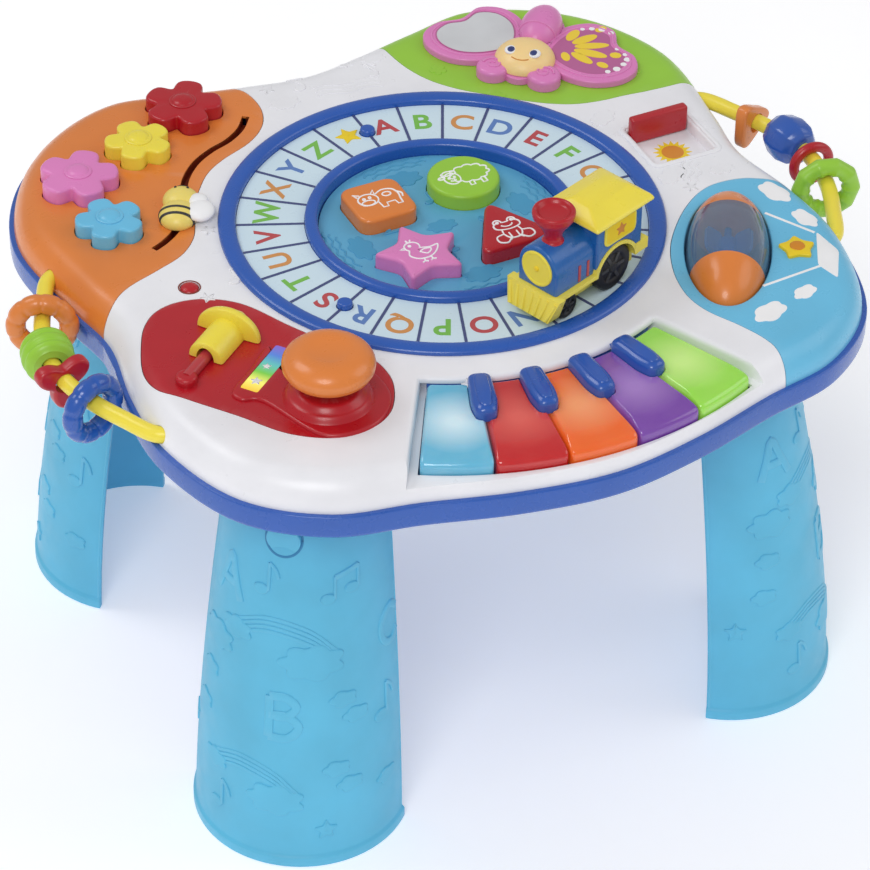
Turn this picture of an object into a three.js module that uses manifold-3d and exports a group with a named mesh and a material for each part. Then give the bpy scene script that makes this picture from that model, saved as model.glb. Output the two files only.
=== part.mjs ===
// Musical activity table for small children.
// Millimetres, +Z up, the piano faces -Y. Each piece is drawn with the middle of its round
// track at the origin and the table's top plane at z = 0, and the finished group then
// stands on z = 0 with the middle of its outline at the origin.
import * as THREE from "three";
import { mergeVertices } from "three/addons/utils/BufferGeometryUtils.js";
import Module from "manifold-3d";

const wasm = await Module();
wasm.setup();

// Driving dimensions
const tableHeight = 314;
const topWidth = 486;
const topDepth = 482;
const trackRadius = 146;
const legFootRadius = 69.5;
const legTopRadius = 50.5;

// Fits shared by all pieces
const gap = 0.3;
const runningGap = 0.6;
const overrun = 6;
const weldDistance = 0.0001;

// Top shell and base shell
const topMiddleX = -7;
const topMiddleY = -13;
const rimDrop = 22;
const shoulderRun = 19;
const shellWall = 4.5;
const inlayDepth = 2;
const bandHeight = 17;
const bandProud = 3;
const bandWall = 5;
const bandRound = 4;
const baseFloor = 2.5;
const baseBottom = -rimDrop - gap - bandHeight;
const baseInside = baseBottom + baseFloor;

// Track: two raised rails with the letter ring between them
const railWidth = 11.7;
const channelWidth = 44.7;
const innerRailWidth = 8.6;
const railRise = 4;
const letterRingTop = -1;
const letterRingThickness = 2;
const trayFloorThickness = 3;
const trackHoleInset = 5.5;
const plateTop = -5;
const plateThickness = 2;
const plateShelf = 4.5;
const channelOuter = trackRadius - railWidth;
const innerRailOuter = channelOuter - channelWidth;
const channelMiddle = (channelOuter + innerRailOuter) / 2;
const trayTop = letterRingTop - letterRingThickness - gap;
const trayBottom = trayTop - trayFloorThickness;
const shelfTop = plateTop - plateThickness - gap;
const shelfBottom = shelfTop - trayFloorThickness;
const plateRadius = innerRailOuter - innerRailWidth - runningGap;

// Track switches: three round knobs on one ring under the tray
const switchRadius = 5;
const switchTop = 3;
const switchRingWidth = 12;
const switchRingThickness = 3;
const switchTravel = 3;
const switchTurns = [90, 210, 330];
const trackSides = 40;

// Piano
const keyBack = 171;
const keyFront = 247.5;
const keyTop = -1;
const keyDepth = 15;
const keySlope = 6.5;
const keyRound = 2;
const keySpacing = 1.2;
const keyPitch = 10.85;
const fanTurn = -92.8;
const fanKeys = 5;
const pianoDrop = 12;
const trayBack = 162;
const trayMarginTurn = 1.4;
const trayWallTurn = 2;
const keyMarginTurn = 0.1;
const trayFront = 320;
const sharpBack = 171;
const sharpLength = 38;
const sharpWidth = 15;
const sharpTop = 8;
const stripWidth = 5;
const stripHeight = 7;

// Flower buttons
const bigFlower = 26.5;
const smallFlower = 22.5;
const flowerRise = 10;
const flowerRound = 2.5;
const flowerBump = 7;
const flowerBumpRise = 3;
const buttonSkirt = 9;

// Animal buttons on the centre plate
const animalMargin = 12.5;
const animalGap = 14;
const animalRadius = (plateRadius - animalMargin - animalGap / Math.SQRT2) / (1 + Math.SQRT2);
const animalSpread = animalRadius + animalGap / 2;
const animalRise = 6;
const animalRound = 2;
const animalSkirt = 6;

// Bee and its slot
const slotWidth = 4.4;
const beeLength = 44;
const beeWidth = 27;
const beeHeight = 17;
const beeWing = 11;
const beePin = 1.7;
const beeButton = 6;
const beeTurn = 60;

// Power lamp
const lampRadius = 6;
const lampRise = 1.5;

// Red panel: arrow slider on its rod, light window, lever on a stepped dome
const panelTurn = 37.5;
const rodRadius = 4;
const rodRise = 2.5;
const rodStart = 4;
const rodEnd = 53;
const pipeRadius = 12;
const pipeLength = 29;
const arrowRadius = 22;
const arrowLength = 21;
const arrowHeight = 18;
const boreEnd = 12;
const windowLength = 48;
const windowWidth = 12;
const domeRadius = 30;
const domeStep = 23;
const domeRise = 6;
const domeTop = 11;
const plugRadius = 15.5;
const plugDepth = 11;
const leverPivot = 1;
const leverBall = 9;
const leverTilt = 12;
const leverTail = 4;
const knobRadius = 29;
const knobHeight = 28;
const knobThickness = 24;
const stemRadius = 7;

// Peek door
const peekMiddleX = 179;
const peekMiddleY = 16.5;
const peekWidth = 44;
const peekDepth = 43;
const peekDrop = 8;
const peekWall = 2.5;
const doorThickness = 2;
const doorTravel = 30;
const handleThickness = 7;
const handleRise = 12;

// Egg roller
const eggLength = 122;
const eggRadius = 27.5;
const eggAxisDrop = 6;
const eggTurn = 59.5;
const eggWindowHalf = 28;
const eggShellWall = 2;
const eggAxle = 2.5;
const eggAxleReach = 3;
const eggSpindle = 9;
const eggClearance = 1.5;
const wellWall = 2;
const wellDepth = 13;

// Butterfly
const butterflyTurn = -43;
const wingSpan = 76;
const wingThickness = 5;
const mirrorThickness = 1;
const mirrorShare = 0.74;
const headRadius = 21;
const headY = -20;
const headHeight = 13;
const abdomenRadius = 14.5;
const abdomenLength = 46;
const abdomenY = 22;
const feelerRadius = 11.5;
const feelerX = 18;
const feelerY = -36;
const feelerRise = 9;

// Bead loops
const barRadius = 5.4;
const barDrop = 16;
const barHalf = 87;
const barMiddleY = -19;
const barBulge = 31;
const barTail = 12;
const barTurnIn = 1.2;
const ringRadius = 17;
const ringTube = 6.5;
const beadRadius = 17;
const beadLength = 24;
const beadBore = 7;
const lobeRadius = 8;
const lobeReach = 12;
const plateBeadThickness = 9;
const triangleReach = 22;
const triangleHole = 7;
const barrelLength = 31;
const thinRingRadius = 13;
const thinRingTube = 3.5;

// Legs
const legWall = 3;
const legHalfAngle = 88;
const legSpreadX = 160;
const legSpreadY = 138;
const legMiddleX = -12;
const legMiddleY = -9;
const legLean = 26;
const legTaperPower = 1.5;
const legTurn = 3;
const legInsert = 2.5;
const lipHeight = 7;
const lipProud = 1.8;
const socketWall = 2.5;
const snapRadius = 11;
const snapProud = 1.2;
const snapDrop = 32;

// Train, in its own frame: +X ahead, z = 0 on the letter ring
const trainAngle = -69.5;
const frontWheel = 9;
const rearWheel = 16.5;
const frontAxleX = 22;
const rearAxleX = -21;
const wheelWidth = 6;
const wheelOuter = 17;
const axleRadius = 2;
const frameHalfWidth = wheelOuter - wheelWidth - runningGap;
const frameLow = 6.5;
const frameTop = 21.6;
const frameRear = -46;
const frameFront = 36;
const boardHalfWidth = 19;
const boardThickness = 3;
const archRadius = 20.5;
const archThickness = 2.5;
const bumperRear = -51;
const bumperHeight = 8;
const cowFront = 42;
const cowLowHalf = 17;
const cowTopHalf = 22;
const cowLow = 6;
const cowSlope = 5;
const boilerRadius = 16;
const boilerHeight = 36;
const boilerFront = 34;
const cabFront = -2;
const cabRear = -45;
const cabHalfWidth = 18.5;
const cabTop = 57;
const roofFront = 4;
const roofRear = -51;
const roofHalfWidth = 23;
const eaveThickness = 3;
const roofRise = 11;
const ridgeHalf = 13;
const chimneyX = 20;
const chimneyNeck = 5.7;
const chimneyTop = 75;
const chimneyFlare = 14;
const chimneyNeckRise = 10;
const chimneyLip = 6;

// Inside the base
const batteryBoxLength = 112;
const batteryBoxWidth = 70;
const batteryBoxWall = 2;
const batteryBoxTop = -28;
const doorInset = 1.5;
const boardLength = 150;
const boardWidth = 100;
const circuitThickness = 1.6;
const speakerX = -52;
const speakerY = 118;
const speakerRadius = 28;
const speakerHeight = 11;
const grilleSlot = 3;
const grillePitch = 7;
const grilleLength = 30;
const grilleSlots = 5;
const powerX = 84;
const powerY = 0;
const powerLength = 10;
const powerWidth = 6;
const powerTravel = 4;
const powerProud = 2;

// Places round the track, as shares of the track's radius
const flowers = [
  { name: "flower_button_red", radius: bigFlower, turn: 36, atShares: [-0.705, 1.262], color: 0xb01828 },
  { name: "flower_button_yellow", radius: smallFlower, turn: 0, atShares: [-1.007, 1.075], color: 0xf2df4a },
  { name: "flower_button_pink", radius: bigFlower, turn: 36, atShares: [-1.356, 0.945], color: 0xd26bb4 },
  { name: "flower_button_blue", radius: smallFlower, turn: 0, atShares: [-1.362, 0.568], color: 0x4fa6d2 },
];
const orangePanelShares = [
  [-0.42, 1.4], [-0.37, 1.28], [-0.365, 1.15], [-0.4, 1.045], [-0.46, 0.97], [-0.54, 0.912],
  [-0.7, 0.842], [-0.8, 0.775], [-0.886, 0.673], [-0.95, 0.575], [-1, 0.46], [-1.06, 0.345],
  [-1.155, 0.255], [-1.3, 0.195], [-1.463, 0.135], [-1.636, 0.022], [-2, -0.1], [-2.1, 0.6],
  [-2, 1.5], [-1.3, 2], [-0.5, 1.75],
];
const greenPanelShares = [
  [0.36, 1.6], [0.372, 1.35], [0.395, 1.17], [0.448, 1.023], [0.54, 0.895], [0.65, 0.79],
  [0.748, 0.7], [0.864, 0.611], [0.967, 0.558], [1.086, 0.531], [1.213, 0.522], [1.338, 0.508],
  [1.55, 0.505], [2, 0.6], [2.1, 1.2], [1.7, 1.9], [0.9, 2],
];
const bluePanelShares = [
  [1.9, -0.45], [1.6, -0.4], [1.472, -0.353], [1.37, -0.3], [1.235, -0.284], [1.143, -0.31],
  [1.037, -0.379], [0.929, -0.481], [0.827, -0.608], [0.762, -0.734], [0.724, -0.855],
  [0.711, -0.986], [0.735, -1.1], [0.81, -1.249], [0.86, -1.38], [0.878, -1.532], [0.85, -1.7],
  [1.1, -2.05], [1.8, -1.8], [2.15, -1.1],
];
const redPanelShares = [
  [-1.43, -0.085], [-1.33, -0.057], [-1.2, -0.083], [-1.07, -0.18], [-0.942, -0.42],
  [-0.839, -0.602], [-0.73, -0.765], [-0.708, -0.881], [-0.725, -0.988], [-0.81, -1.135],
  [-0.923, -1.2], [-1.08, -1.2], [-1.249, -1.095], [-1.4, -0.885], [-1.54, -0.7], [-1.62, -0.58],
  [-1.63, -0.433], [-1.57, -0.266], [-1.51, -0.16],
];
const slotShares = [
  [-1.246, 0.347], [-1.175, 0.382], [-1.0975, 0.4419], [-1.04, 0.5415], [-0.97, 0.6627],
  [-0.9, 0.784], [-0.81, 0.878], [-0.71, 0.937], [-0.61, 0.975], [-0.52, 1.035], [-0.451, 1.12],
];
const beeShares = [-1.04, 0.5415];
const lampShares = [-1.22, 0.02];
const arrowShares = [-1.212, -0.363];
const windowShares = [-1.164, -0.664];
const leverShares = [-1.01, -0.952];
const eggShares = [1.0445, -0.736];
const butterflyShares = [0.993, 1.034];

// The table's outline from the middle of the back round its right side to the middle of
// the front, as shares of half the width and half the depth
const outlineShares = [
  [0, 0.892], [0.17, 0.92], [0.36, 0.965], [0.55, 1], [0.74, 0.93], [0.9, 0.78], [1, 0.54],
  [0.975, 0.22], [0.948, 0.03], [0.985, -0.2], [0.99, -0.42], [0.9, -0.69], [0.72, -0.84],
  [0.5, -0.895], [0.25, -0.965], [0, -1],
];
const outlineSteps = 52;
const shoulderSteps = 3;

// The left wing's outline as shares of the wing's span
const wingShares = [
  [-0.08, 0.11], [-0.2, 0.38], [-0.42, 0.52], [-0.64, 0.47], [-0.745, 0.24], [-0.93, 0.11],
  [-1, -0.1], [-0.9, -0.3], [-0.65, -0.42], [-0.35, -0.36], [-0.08, -0.13],
];

// Profiles of the turned beads, as shares of their half length and radius
const ribbedShares = [[-1, 0.8], [-0.5, 1], [0, 0.85], [0.5, 1], [1, 0.8]];
const barrelShares = [[-1, 0.6], [-0.33, 1], [0.33, 1], [1, 0.6]];

// Corners of the animal buttons, as shares of their radius
const squareShares = [[0.86, 0.86], [-0.86, 0.86], [-0.86, -0.86], [0.86, -0.86]];
const triangleShares = [[0, 1.3], [-1.2, -0.86], [1.2, -0.86]];

// Colours
const white = plastic(0xf2f0f5, 0.35);
const railBlue = plastic(0x3c60a8, 0.3);
const legBlue = plastic(0x5fb2dc, 0.45);
const orange = plastic(0xdd8446, 0.35);
const green = plastic(0x96c745, 0.4);
const skyBlue = plastic(0x66b2d8, 0.35);
const red = plastic(0xaf2030, 0.3);
const yellow = plastic(0xf0e05c, 0.35);
const paleBlue = plastic(0xcde4f0, 0.4);
const plateBlue = plastic(0x5f9dc6, 0.4);
const pink = plastic(0xd272b4, 0.35);
const black = plastic(0x1c1c20, 0.6);
const bright = plastic(0x2f56a8, 0.3);
const mirror = plastic(0xe4e8ea, 0.05);
const peach = plastic(0xf2b478, 0.4);
const clear = plastic(0x9fb8cc, 0.1);
const boardGreen = plastic(0x2e7d4a, 0.6);
const windowGreen = plastic(0x9ad4c0, 0.2);

const table = new THREE.Group();

// Solids

function plastic(color, roughness) {
  return new THREE.MeshStandardMaterial({ color, roughness, metalness: 0 });
}

function radians(degrees) {
  return THREE.MathUtils.degToRad(degrees);
}

// A closed geometry as a solid that faces outwards
function solidOf(geometry) {
  const bare = geometry.clone();
  bare.deleteAttribute("normal");
  bare.deleteAttribute("uv");
  const merged = mergeVertices(bare, weldDistance);
  const corners = merged.index.array;
  const triangles = [];
  for (let i = 0; i < corners.length; i += 3) {
    const [a, b, c] = corners.slice(i, i + 3);
    if (a !== b && b !== c && c !== a) triangles.push(a, b, c);
  }
  const vertProperties = merged.attributes.position.array;
  const made = solidFrom(vertProperties, triangles);
  return made.volume() < 0 ? solidFrom(vertProperties, triangles.reverse()) : made;
}

function solidFrom(vertProperties, triangles) {
  const triVerts = new Uint32Array(triangles);
  return new wasm.Manifold(new wasm.Mesh({ numProp: 3, vertProperties, triVerts }));
}

function geometryOf(solid) {
  const mesh = solid.getMesh();
  const geometry = new THREE.BufferGeometry();
  geometry.setAttribute("position", new THREE.BufferAttribute(mesh.vertProperties, 3));
  geometry.setIndex(new THREE.BufferAttribute(mesh.triVerts, 1));
  geometry.computeVertexNormals();
  return geometry;
}

function addPart(parent, name, solid, material) {
  const mesh = new THREE.Mesh(geometryOf(solid), material);
  mesh.name = name;
  parent.add(mesh);
}

function box(lowX, highX, lowY, highY, lowZ, highZ) {
  const geometry = new THREE.BoxGeometry(highX - lowX, highY - lowY, highZ - lowZ);
  geometry.translate((lowX + highX) / 2, (lowY + highY) / 2, (lowZ + highZ) / 2);
  return solidOf(geometry);
}

// An upright cylinder
function drum(x, y, radius, low, high, sides = 24) {
  const geometry = new THREE.CylinderGeometry(radius, radius, high - low, sides);
  geometry.rotateX(Math.PI / 2).translate(x, y, (low + high) / 2);
  return solidOf(geometry);
}

// A cylinder along Y
function crossDrum(x, z, radius, lowY, highY, sides = 24) {
  const geometry = new THREE.CylinderGeometry(radius, radius, highY - lowY, sides);
  geometry.translate(x, (lowY + highY) / 2, z);
  return solidOf(geometry);
}

function ball(x, y, z, radiusX, radiusY, radiusZ, sides = 14) {
  const geometry = new THREE.SphereGeometry(1, sides, sides / 2);
  geometry.rotateX(Math.PI / 2).scale(radiusX, radiusY, radiusZ).translate(x, y, z);
  return solidOf(geometry);
}

// A profile of [radius, height] turned about the upright axis
function turned(profile, sides = 32) {
  const points = profile.map(([radius, height]) => new THREE.Vector2(radius, height));
  return solidOf(new THREE.LatheGeometry(points, sides).rotateX(Math.PI / 2));
}

// Outlines at several heights joined into one solid
function stack(levels) {
  const count = levels[0].points.length;
  const positions = levels.flatMap(({ points, z }) => points.flatMap((p) => [p.x, p.y, z]));
  const index = [];
  for (let level = 0; level < levels.length - 1; level++) {
    for (let i = 0; i < count; i++) {
      const a = level * count + i;
      const b = level * count + ((i + 1) % count);
      index.push(a, b, b + count, a, b + count, a + count);
    }
  }
  const top = (levels.length - 1) * count;
  const lowCap = THREE.ShapeUtils.triangulateShape(levels[0].points, []);
  const topCap = THREE.ShapeUtils.triangulateShape(levels.at(-1).points, []);
  for (const [a, b, c] of lowCap) index.push(a, c, b);
  for (const [a, b, c] of topCap) index.push(top + a, top + b, top + c);
  const geometry = new THREE.BufferGeometry();
  geometry.setAttribute("position", new THREE.Float32BufferAttribute(positions, 3));
  geometry.setIndex(index);
  return solidOf(geometry);
}

function prism(points, low, high) {
  return stack([{ points, z: low }, { points, z: high }]);
}

// A prism whose top edge is chamfered
function softPrism(points, low, high, round) {
  return stack([
    { points, z: low },
    { points, z: high - round },
    { points: drawnIn(points, round), z: high },
  ]);
}

function tube(curve, radius, steps, sides = 10) {
  const section = new THREE.Shape(circlePoints(0, 0, radius, sides));
  const settings = { extrudePath: curve, steps, bevelEnabled: false };
  return solidOf(new THREE.ExtrudeGeometry(section, settings));
}

function ringBead(radius, thickness, sides = 16) {
  const section = circlePoints(radius, 0, thickness, 8);
  return turned([...section, section[0]].map((p) => [p.x, p.y]), sides);
}

function moved(solid, x, y, z, turn = 0) {
  return solid.rotate([0, 0, turn]).translate([x, y, z]);
}

// Outlines

function circlePoints(x, y, radius, sides = 24) {
  return loopPoints(sides, (angle) => [x + radius * Math.cos(angle), y + radius * Math.sin(angle)]);
}

function ovalPoints(radiusX, radiusY, sides = 32) {
  return loopPoints(sides, (angle) => [radiusX * Math.cos(angle), radiusY * Math.sin(angle)]);
}

function loopPoints(sides, place) {
  return Array.from({ length: sides }, (_, i) => {
    return new THREE.Vector2(...place((i * 2 * Math.PI) / sides));
  });
}

// Round petals with a narrow notch between each two
function flowerPoints(radius, petals = 5, notchShare = 0.27, dipShare = 0.05, sides = 30) {
  return loopPoints(sides, (angle) => {
    const notch = Math.abs(Math.sin((petals / 2) * angle));
    const reach = radius * (1 - dipShare * notch ** 2 - notchShare * notch ** 7);
    return [reach * Math.sin(angle), reach * Math.cos(angle)];
  }).reverse();
}

// Corners cut back to smooth curves
function roundedPoints(corners, roundShare, steps = 3) {
  return corners.flatMap((corner, i) => {
    const before = corners.at(i - 1);
    const after = corners[(i + 1) % corners.length];
    const start = corner.clone().lerp(before, roundShare);
    const end = corner.clone().lerp(after, roundShare);
    return new THREE.QuadraticBezierCurve(start, corner, end).getPoints(steps);
  });
}

function sharePoints(shares, unitX, unitY = unitX) {
  return shares.map(([x, y]) => new THREE.Vector2(x * unitX, y * unitY));
}

function counterClockwise(points) {
  return THREE.ShapeUtils.isClockWise(points) ? [...points].reverse() : points;
}

function smoothLoop(points, count) {
  const places = points.map((p) => new THREE.Vector3(p.x, p.y, 0));
  const curve = new THREE.CatmullRomCurve3(places, true, "centripetal");
  const loop = curve.getSpacedPoints(count).slice(0, -1);
  return counterClockwise(loop.map((p) => new THREE.Vector2(p.x, p.y)));
}

// A loop moved outwards by a distance, or inwards by a negative one
function outset(points, distance) {
  return points.map((point, i) => {
    const before = points.at(i - 1);
    const after = points[(i + 1) % points.length];
    const along = after.clone().sub(before).normalize();
    return new THREE.Vector2(point.x + along.y * distance, point.y - along.x * distance);
  });
}

// A loop scaled about its middle so that each side comes in by a distance
function drawnIn(points, distance) {
  const bounds = new THREE.Box2().setFromPoints(points);
  const centre = bounds.getCenter(new THREE.Vector2());
  const size = bounds.getSize(new THREE.Vector2());
  const scale = size.clone().subScalar(2 * distance).divide(size);
  return points.map((p) => p.clone().sub(centre).multiply(scale).add(centre));
}

// A band of one width along an open curve
function ribbonPoints(shares, unit, halfWidth, steps) {
  const places = shares.map(([x, y]) => new THREE.Vector3(x * unit, y * unit, 0));
  const curve = new THREE.CatmullRomCurve3(places, false, "centripetal");
  const side = (sign) =>
    Array.from({ length: steps + 1 }, (_, i) => {
      const p = curve.getPointAt(i / steps);
      const t = curve.getTangentAt(i / steps);
      return new THREE.Vector2(p.x - sign * t.y * halfWidth, p.y + sign * t.x * halfWidth);
    });
  return counterClockwise([...side(1), ...side(-1).reverse()]);
}

function sectorPoints(inner, outer, start, end, steps = 3) {
  const arc = (radius, from, to) =>
    Array.from({ length: steps + 1 }, (_, i) => {
      const angle = radians(from + ((to - from) * i) / steps);
      return new THREE.Vector2(radius * Math.cos(angle), radius * Math.sin(angle));
    });
  return [...arc(outer, start, end), ...arc(inner, end, start)];
}

function tableOutline(distance) {
  const half = outlineShares.map(([x, y]) => [(x * topWidth) / 2, (y * topDepth) / 2]);
  const mirrored = half.slice(1, -1).reverse().map(([x, y]) => [-x, y]);
  const whole = [...half, ...mirrored].map(([x, y]) => {
    return new THREE.Vector2(x + topMiddleX, y + topMiddleY);
  });
  return outset(smoothLoop(whole, outlineSteps), distance);
}

function place(shares) {
  return { x: shares[0] * trackRadius, y: shares[1] * trackRadius };
}

// Top shell

// The top's domed form, shrunk by a depth on every side
function topForm(depth, bottom) {
  const levels = [{ points: tableOutline(-depth), z: bottom }];
  for (let i = 0; i <= shoulderSteps; i++) {
    const angle = ((Math.PI / 2) * i) / shoulderSteps;
    const inward = depth + shoulderRun * (1 - Math.cos(angle));
    levels.push({ points: tableOutline(-inward), z: (rimDrop - depth) * Math.sin(angle) - rimDrop });
  }
  return stack(levels);
}

function panelLoop(shares) {
  return smoothLoop(sharePoints(shares, trackRadius), shares.length * 2);
}

function region(points, distance) {
  return prism(outset(points, distance), -rimDrop - overrun, overrun);
}

const fullForm = topForm(0, -rimDrop);
const inlaySkin = fullForm.subtract(topForm(inlayDepth, -rimDrop - overrun));
const pocketSkin = topForm(-overrun / 2, -rimDrop - overrun / 2).subtract(
  topForm(inlayDepth + gap, -rimDrop - overrun),
);
const orangeLoop = panelLoop(orangePanelShares);
const greenLoop = panelLoop(greenPanelShares);
const blueLoop = panelLoop(bluePanelShares);
const redLoop = panelLoop(redPanelShares);

function flowerCut(flower, clearance) {
  const { x, y } = place(flower.atShares);
  const loop = outset(flowerPoints(flower.radius), clearance);
  return moved(prism(loop, -rimDrop, overrun), x, y, 0, flower.turn);
}

function slotCut() {
  return prism(ribbonPoints(slotShares, trackRadius, slotWidth / 2, 28), -rimDrop, overrun);
}

function lampCut() {
  const { x, y } = place(lampShares);
  return drum(x, y, lampRadius + gap, -rimDrop, overrun);
}

function leverCut(radius) {
  const { x, y } = place(leverShares);
  return drum(x, y, radius, -rimDrop, domeTop + overrun);
}

// The egg's opening, grown or shrunk by a distance
function eggCut(distance, low, high) {
  const { x, y } = place(eggShares);
  const oval = ovalPoints(eggLength / 2 + eggClearance + distance, eggRadius + eggClearance + distance);
  return moved(prism(oval, low, high), x, y, 0, eggTurn);
}

// The pan under the peek door: a recess in front and a tunnel for the open door behind
function peekPan() {
  const lowX = peekMiddleX - peekWidth / 2;
  const highX = peekMiddleX + peekWidth / 2;
  const lowY = peekMiddleY - peekDepth / 2;
  const highY = peekMiddleY + peekDepth / 2;
  const tunnelEnd = highY + doorTravel + runningGap;
  const floor = -peekDrop;
  const outside = box(
    lowX - peekWall, highX + peekWall, lowY - peekWall, tunnelEnd + peekWall, floor - peekWall,
    -shellWall / 2,
  );
  const recess = box(lowX, highX, lowY, highY, floor, overrun);
  const tunnel = box(lowX, highX, lowY, tunnelEnd, floor, floor + doorThickness + 2 * runningGap);
  return { outside, inside: recess.add(tunnel) };
}

function pianoSector(inner, outer, margin, low, high) {
  const half = (fanKeys * keyPitch) / 2 + margin;
  return prism(sectorPoints(inner, outer, fanTurn - half, fanTurn + half, 12), low, high);
}

// The tray the keys stand in: a floor all round them and an opening under them
function pianoTray() {
  const wall = shellWall / 2;
  const low = -pianoDrop - wall;
  const outside = pianoSector(trayBack - wall, trayFront, trayMarginTurn + trayWallTurn, low, -wall);
  const recess = pianoSector(trayBack, trayFront, trayMarginTurn, -pianoDrop, overrun);
  const spare = 3 * gap;
  const opening = pianoSector(keyBack - spare, keyFront + spare, keyMarginTurn, -rimDrop, overrun);
  return { outside: outside.intersect(fullForm), inside: recess.add(opening) };
}

function barCurve(side, beyond = 0) {
  const wallX = (side * topWidth) / 2 + topMiddleX - side;
  const steps = 8;
  const places = [];
  for (let i = 0; i <= steps; i++) {
    const share = (2 * i) / steps - 1;
    const x = wallX + side * barBulge * Math.cos((share * Math.PI) / 2);
    places.push(new THREE.Vector3(x, barMiddleY - share * barHalf, -barDrop));
  }
  const inward = new THREE.Vector3(-side * barTurnIn, 0, 0);
  const tail = (end, next) => {
    const way = end.clone().sub(next).normalize().add(inward);
    return end.clone().add(way.setLength(barTail + beyond));
  };
  places.unshift(tail(places[0], places[1]));
  places.push(tail(places.at(-1), places.at(-2)));
  return new THREE.CatmullRomCurve3(places, false, "centripetal");
}

const barHole = (side) => tube(barCurve(side, 2 * gap), barRadius + runningGap, 16);
const barHoles = barHole(-1).add(barHole(1));

function addTopShell() {
  const pan = peekPan();
  const tray = pianoTray();
  let shell = fullForm.subtract(topForm(shellWall, -rimDrop - overrun));
  shell = shell.add(pan.outside).add(tray.outside).subtract(pan.inside).subtract(tray.inside);
  for (const loop of [orangeLoop, greenLoop, blueLoop, redLoop]) {
    shell = shell.subtract(pocketSkin.intersect(region(loop, gap)));
  }
  for (const flower of flowers) shell = shell.subtract(flowerCut(flower, runningGap));
  shell = shell.subtract(drum(0, 0, trackRadius - trackHoleInset, -rimDrop, overrun, trackSides));
  shell = shell.subtract(slotCut()).subtract(lampCut()).subtract(leverCut(plugRadius + gap));
  shell = shell.subtract(eggCut(wellWall + gap, -rimDrop, overrun)).subtract(barHoles);
  addPart(table, "top_shell", shell, white);
}

function addPanels() {
  const inlay = (loop) => inlaySkin.intersect(region(loop, 0));
  let orangePanel = inlay(orangeLoop).subtract(slotCut()).subtract(barHoles);
  for (const flower of flowers) orangePanel = orangePanel.subtract(flowerCut(flower, runningGap));
  addPart(table, "orange_panel", orangePanel, orange);
  addPart(table, "green_panel", inlay(greenLoop).subtract(barHoles), green);
  addPart(table, "blue_panel", eggWell(inlay(blueLoop).subtract(barHoles)), skyBlue);
  addPart(table, "red_panel", redPanel(inlay(redLoop)), red);
}

// The well round the egg, with a bearing hole at each end for its axle
function eggWell(panel) {
  const { x, y } = place(eggShares);
  const wall = eggCut(wellWall, -wellDepth, 0);
  const reach = eggLength / 2 + eggClearance + wellWall;
  const bearing = crossDrum(0, -eggAxisDrop, eggAxle + gap, -reach - overrun, reach + overrun, 16);
  return panel.add(wall).subtract(eggCut(0, -rimDrop, overrun))
    .subtract(moved(bearing, x, y, 0, eggTurn - 90));
}

// The lever's stepped dome and the slider's rod stand on the panel
function redPanel(panel) {
  const lever = place(leverShares);
  const arrow = place(arrowShares);
  const mouth = stemRadius + (domeTop - leverPivot) * Math.tan(radians(leverTilt)) + runningGap;
  const room = leverBall + gap;
  const dome = turned([
    [0, -plugDepth], [plugRadius, -plugDepth], [plugRadius, -inlayDepth], [domeRadius, -inlayDepth],
    [domeRadius, 0], [domeRadius - domeRise / 2, domeRise], [domeStep, domeRise],
    [domeStep - domeRise / 2, domeTop], [0, domeTop],
  ]).subtract(ball(0, 0, leverPivot, room, room, room))
    .subtract(drum(0, 0, mouth, leverPivot, domeTop + overrun))
    .subtract(drum(0, 0, leverTail + runningGap, -plugDepth - overrun, leverPivot, 12));
  const rod = crossDrum(0, rodRise, rodRadius, -rodEnd, -rodStart, 12);
  const window = windowSolid(gap, -rimDrop, overrun);
  return panel.subtract(leverCut(plugRadius)).add(moved(dome, lever.x, lever.y, 0))
    .add(moved(rod.intersect(halfSpace(-inlayDepth)), arrow.x, arrow.y, 0, panelTurn - 90))
    .subtract(window);
}

// Everything above a height
function halfSpace(low) {
  return box(-topWidth, topWidth, -topDepth, topDepth, low, tableHeight);
}

function windowSolid(clearance, low, high) {
  const { x, y } = place(windowShares);
  const halfLength = windowLength / 2 + clearance;
  const halfWidth = windowWidth / 2 + clearance;
  const corners = [[1, 1], [-1, 1], [-1, -1], [1, -1]].map(([signX, signY]) => {
    return new THREE.Vector2(signX * halfLength, signY * halfWidth);
  });
  return moved(prism(corners, low, high), x, y, 0, panelTurn);
}

// Base shell

function legLoop(radius, wall, halfAngle, shift) {
  const steps = 10;
  const arc = (arcRadius, from, to) =>
    Array.from({ length: steps + 1 }, (_, i) => {
      const angle = radians(from + ((to - from) * i) / steps);
      return new THREE.Vector2(arcRadius * Math.cos(angle) - shift, arcRadius * Math.sin(angle));
    });
  return [...arc(radius, -halfAngle, halfAngle), ...arc(radius - wall, halfAngle, -halfAngle)];
}

// A leg's radius and its shift towards the table's middle at a height
function legSize(z) {
  const rise = ((z + tableHeight) / (tableHeight + baseBottom)) ** legTaperPower;
  return { radius: THREE.MathUtils.lerp(legFootRadius, legTopRadius, rise), shift: legLean * rise };
}

// A leg's section at a height, grown by a distance on every side
function legLevel(z, proud, grow) {
  const size = legSize(z);
  const radius = size.radius + proud + grow;
  const halfAngle = legHalfAngle + THREE.MathUtils.radToDeg(grow / radius);
  return { points: legLoop(radius, legWall + proud + 2 * grow, halfAngle, size.shift), z };
}

function legPlace(signX, signY) {
  return {
    x: legMiddleX + signX * legSpreadX,
    y: legMiddleY + signY * legSpreadY,
    turn: THREE.MathUtils.radToDeg(Math.atan2(signY, signX)) + legTurn,
  };
}

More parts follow.
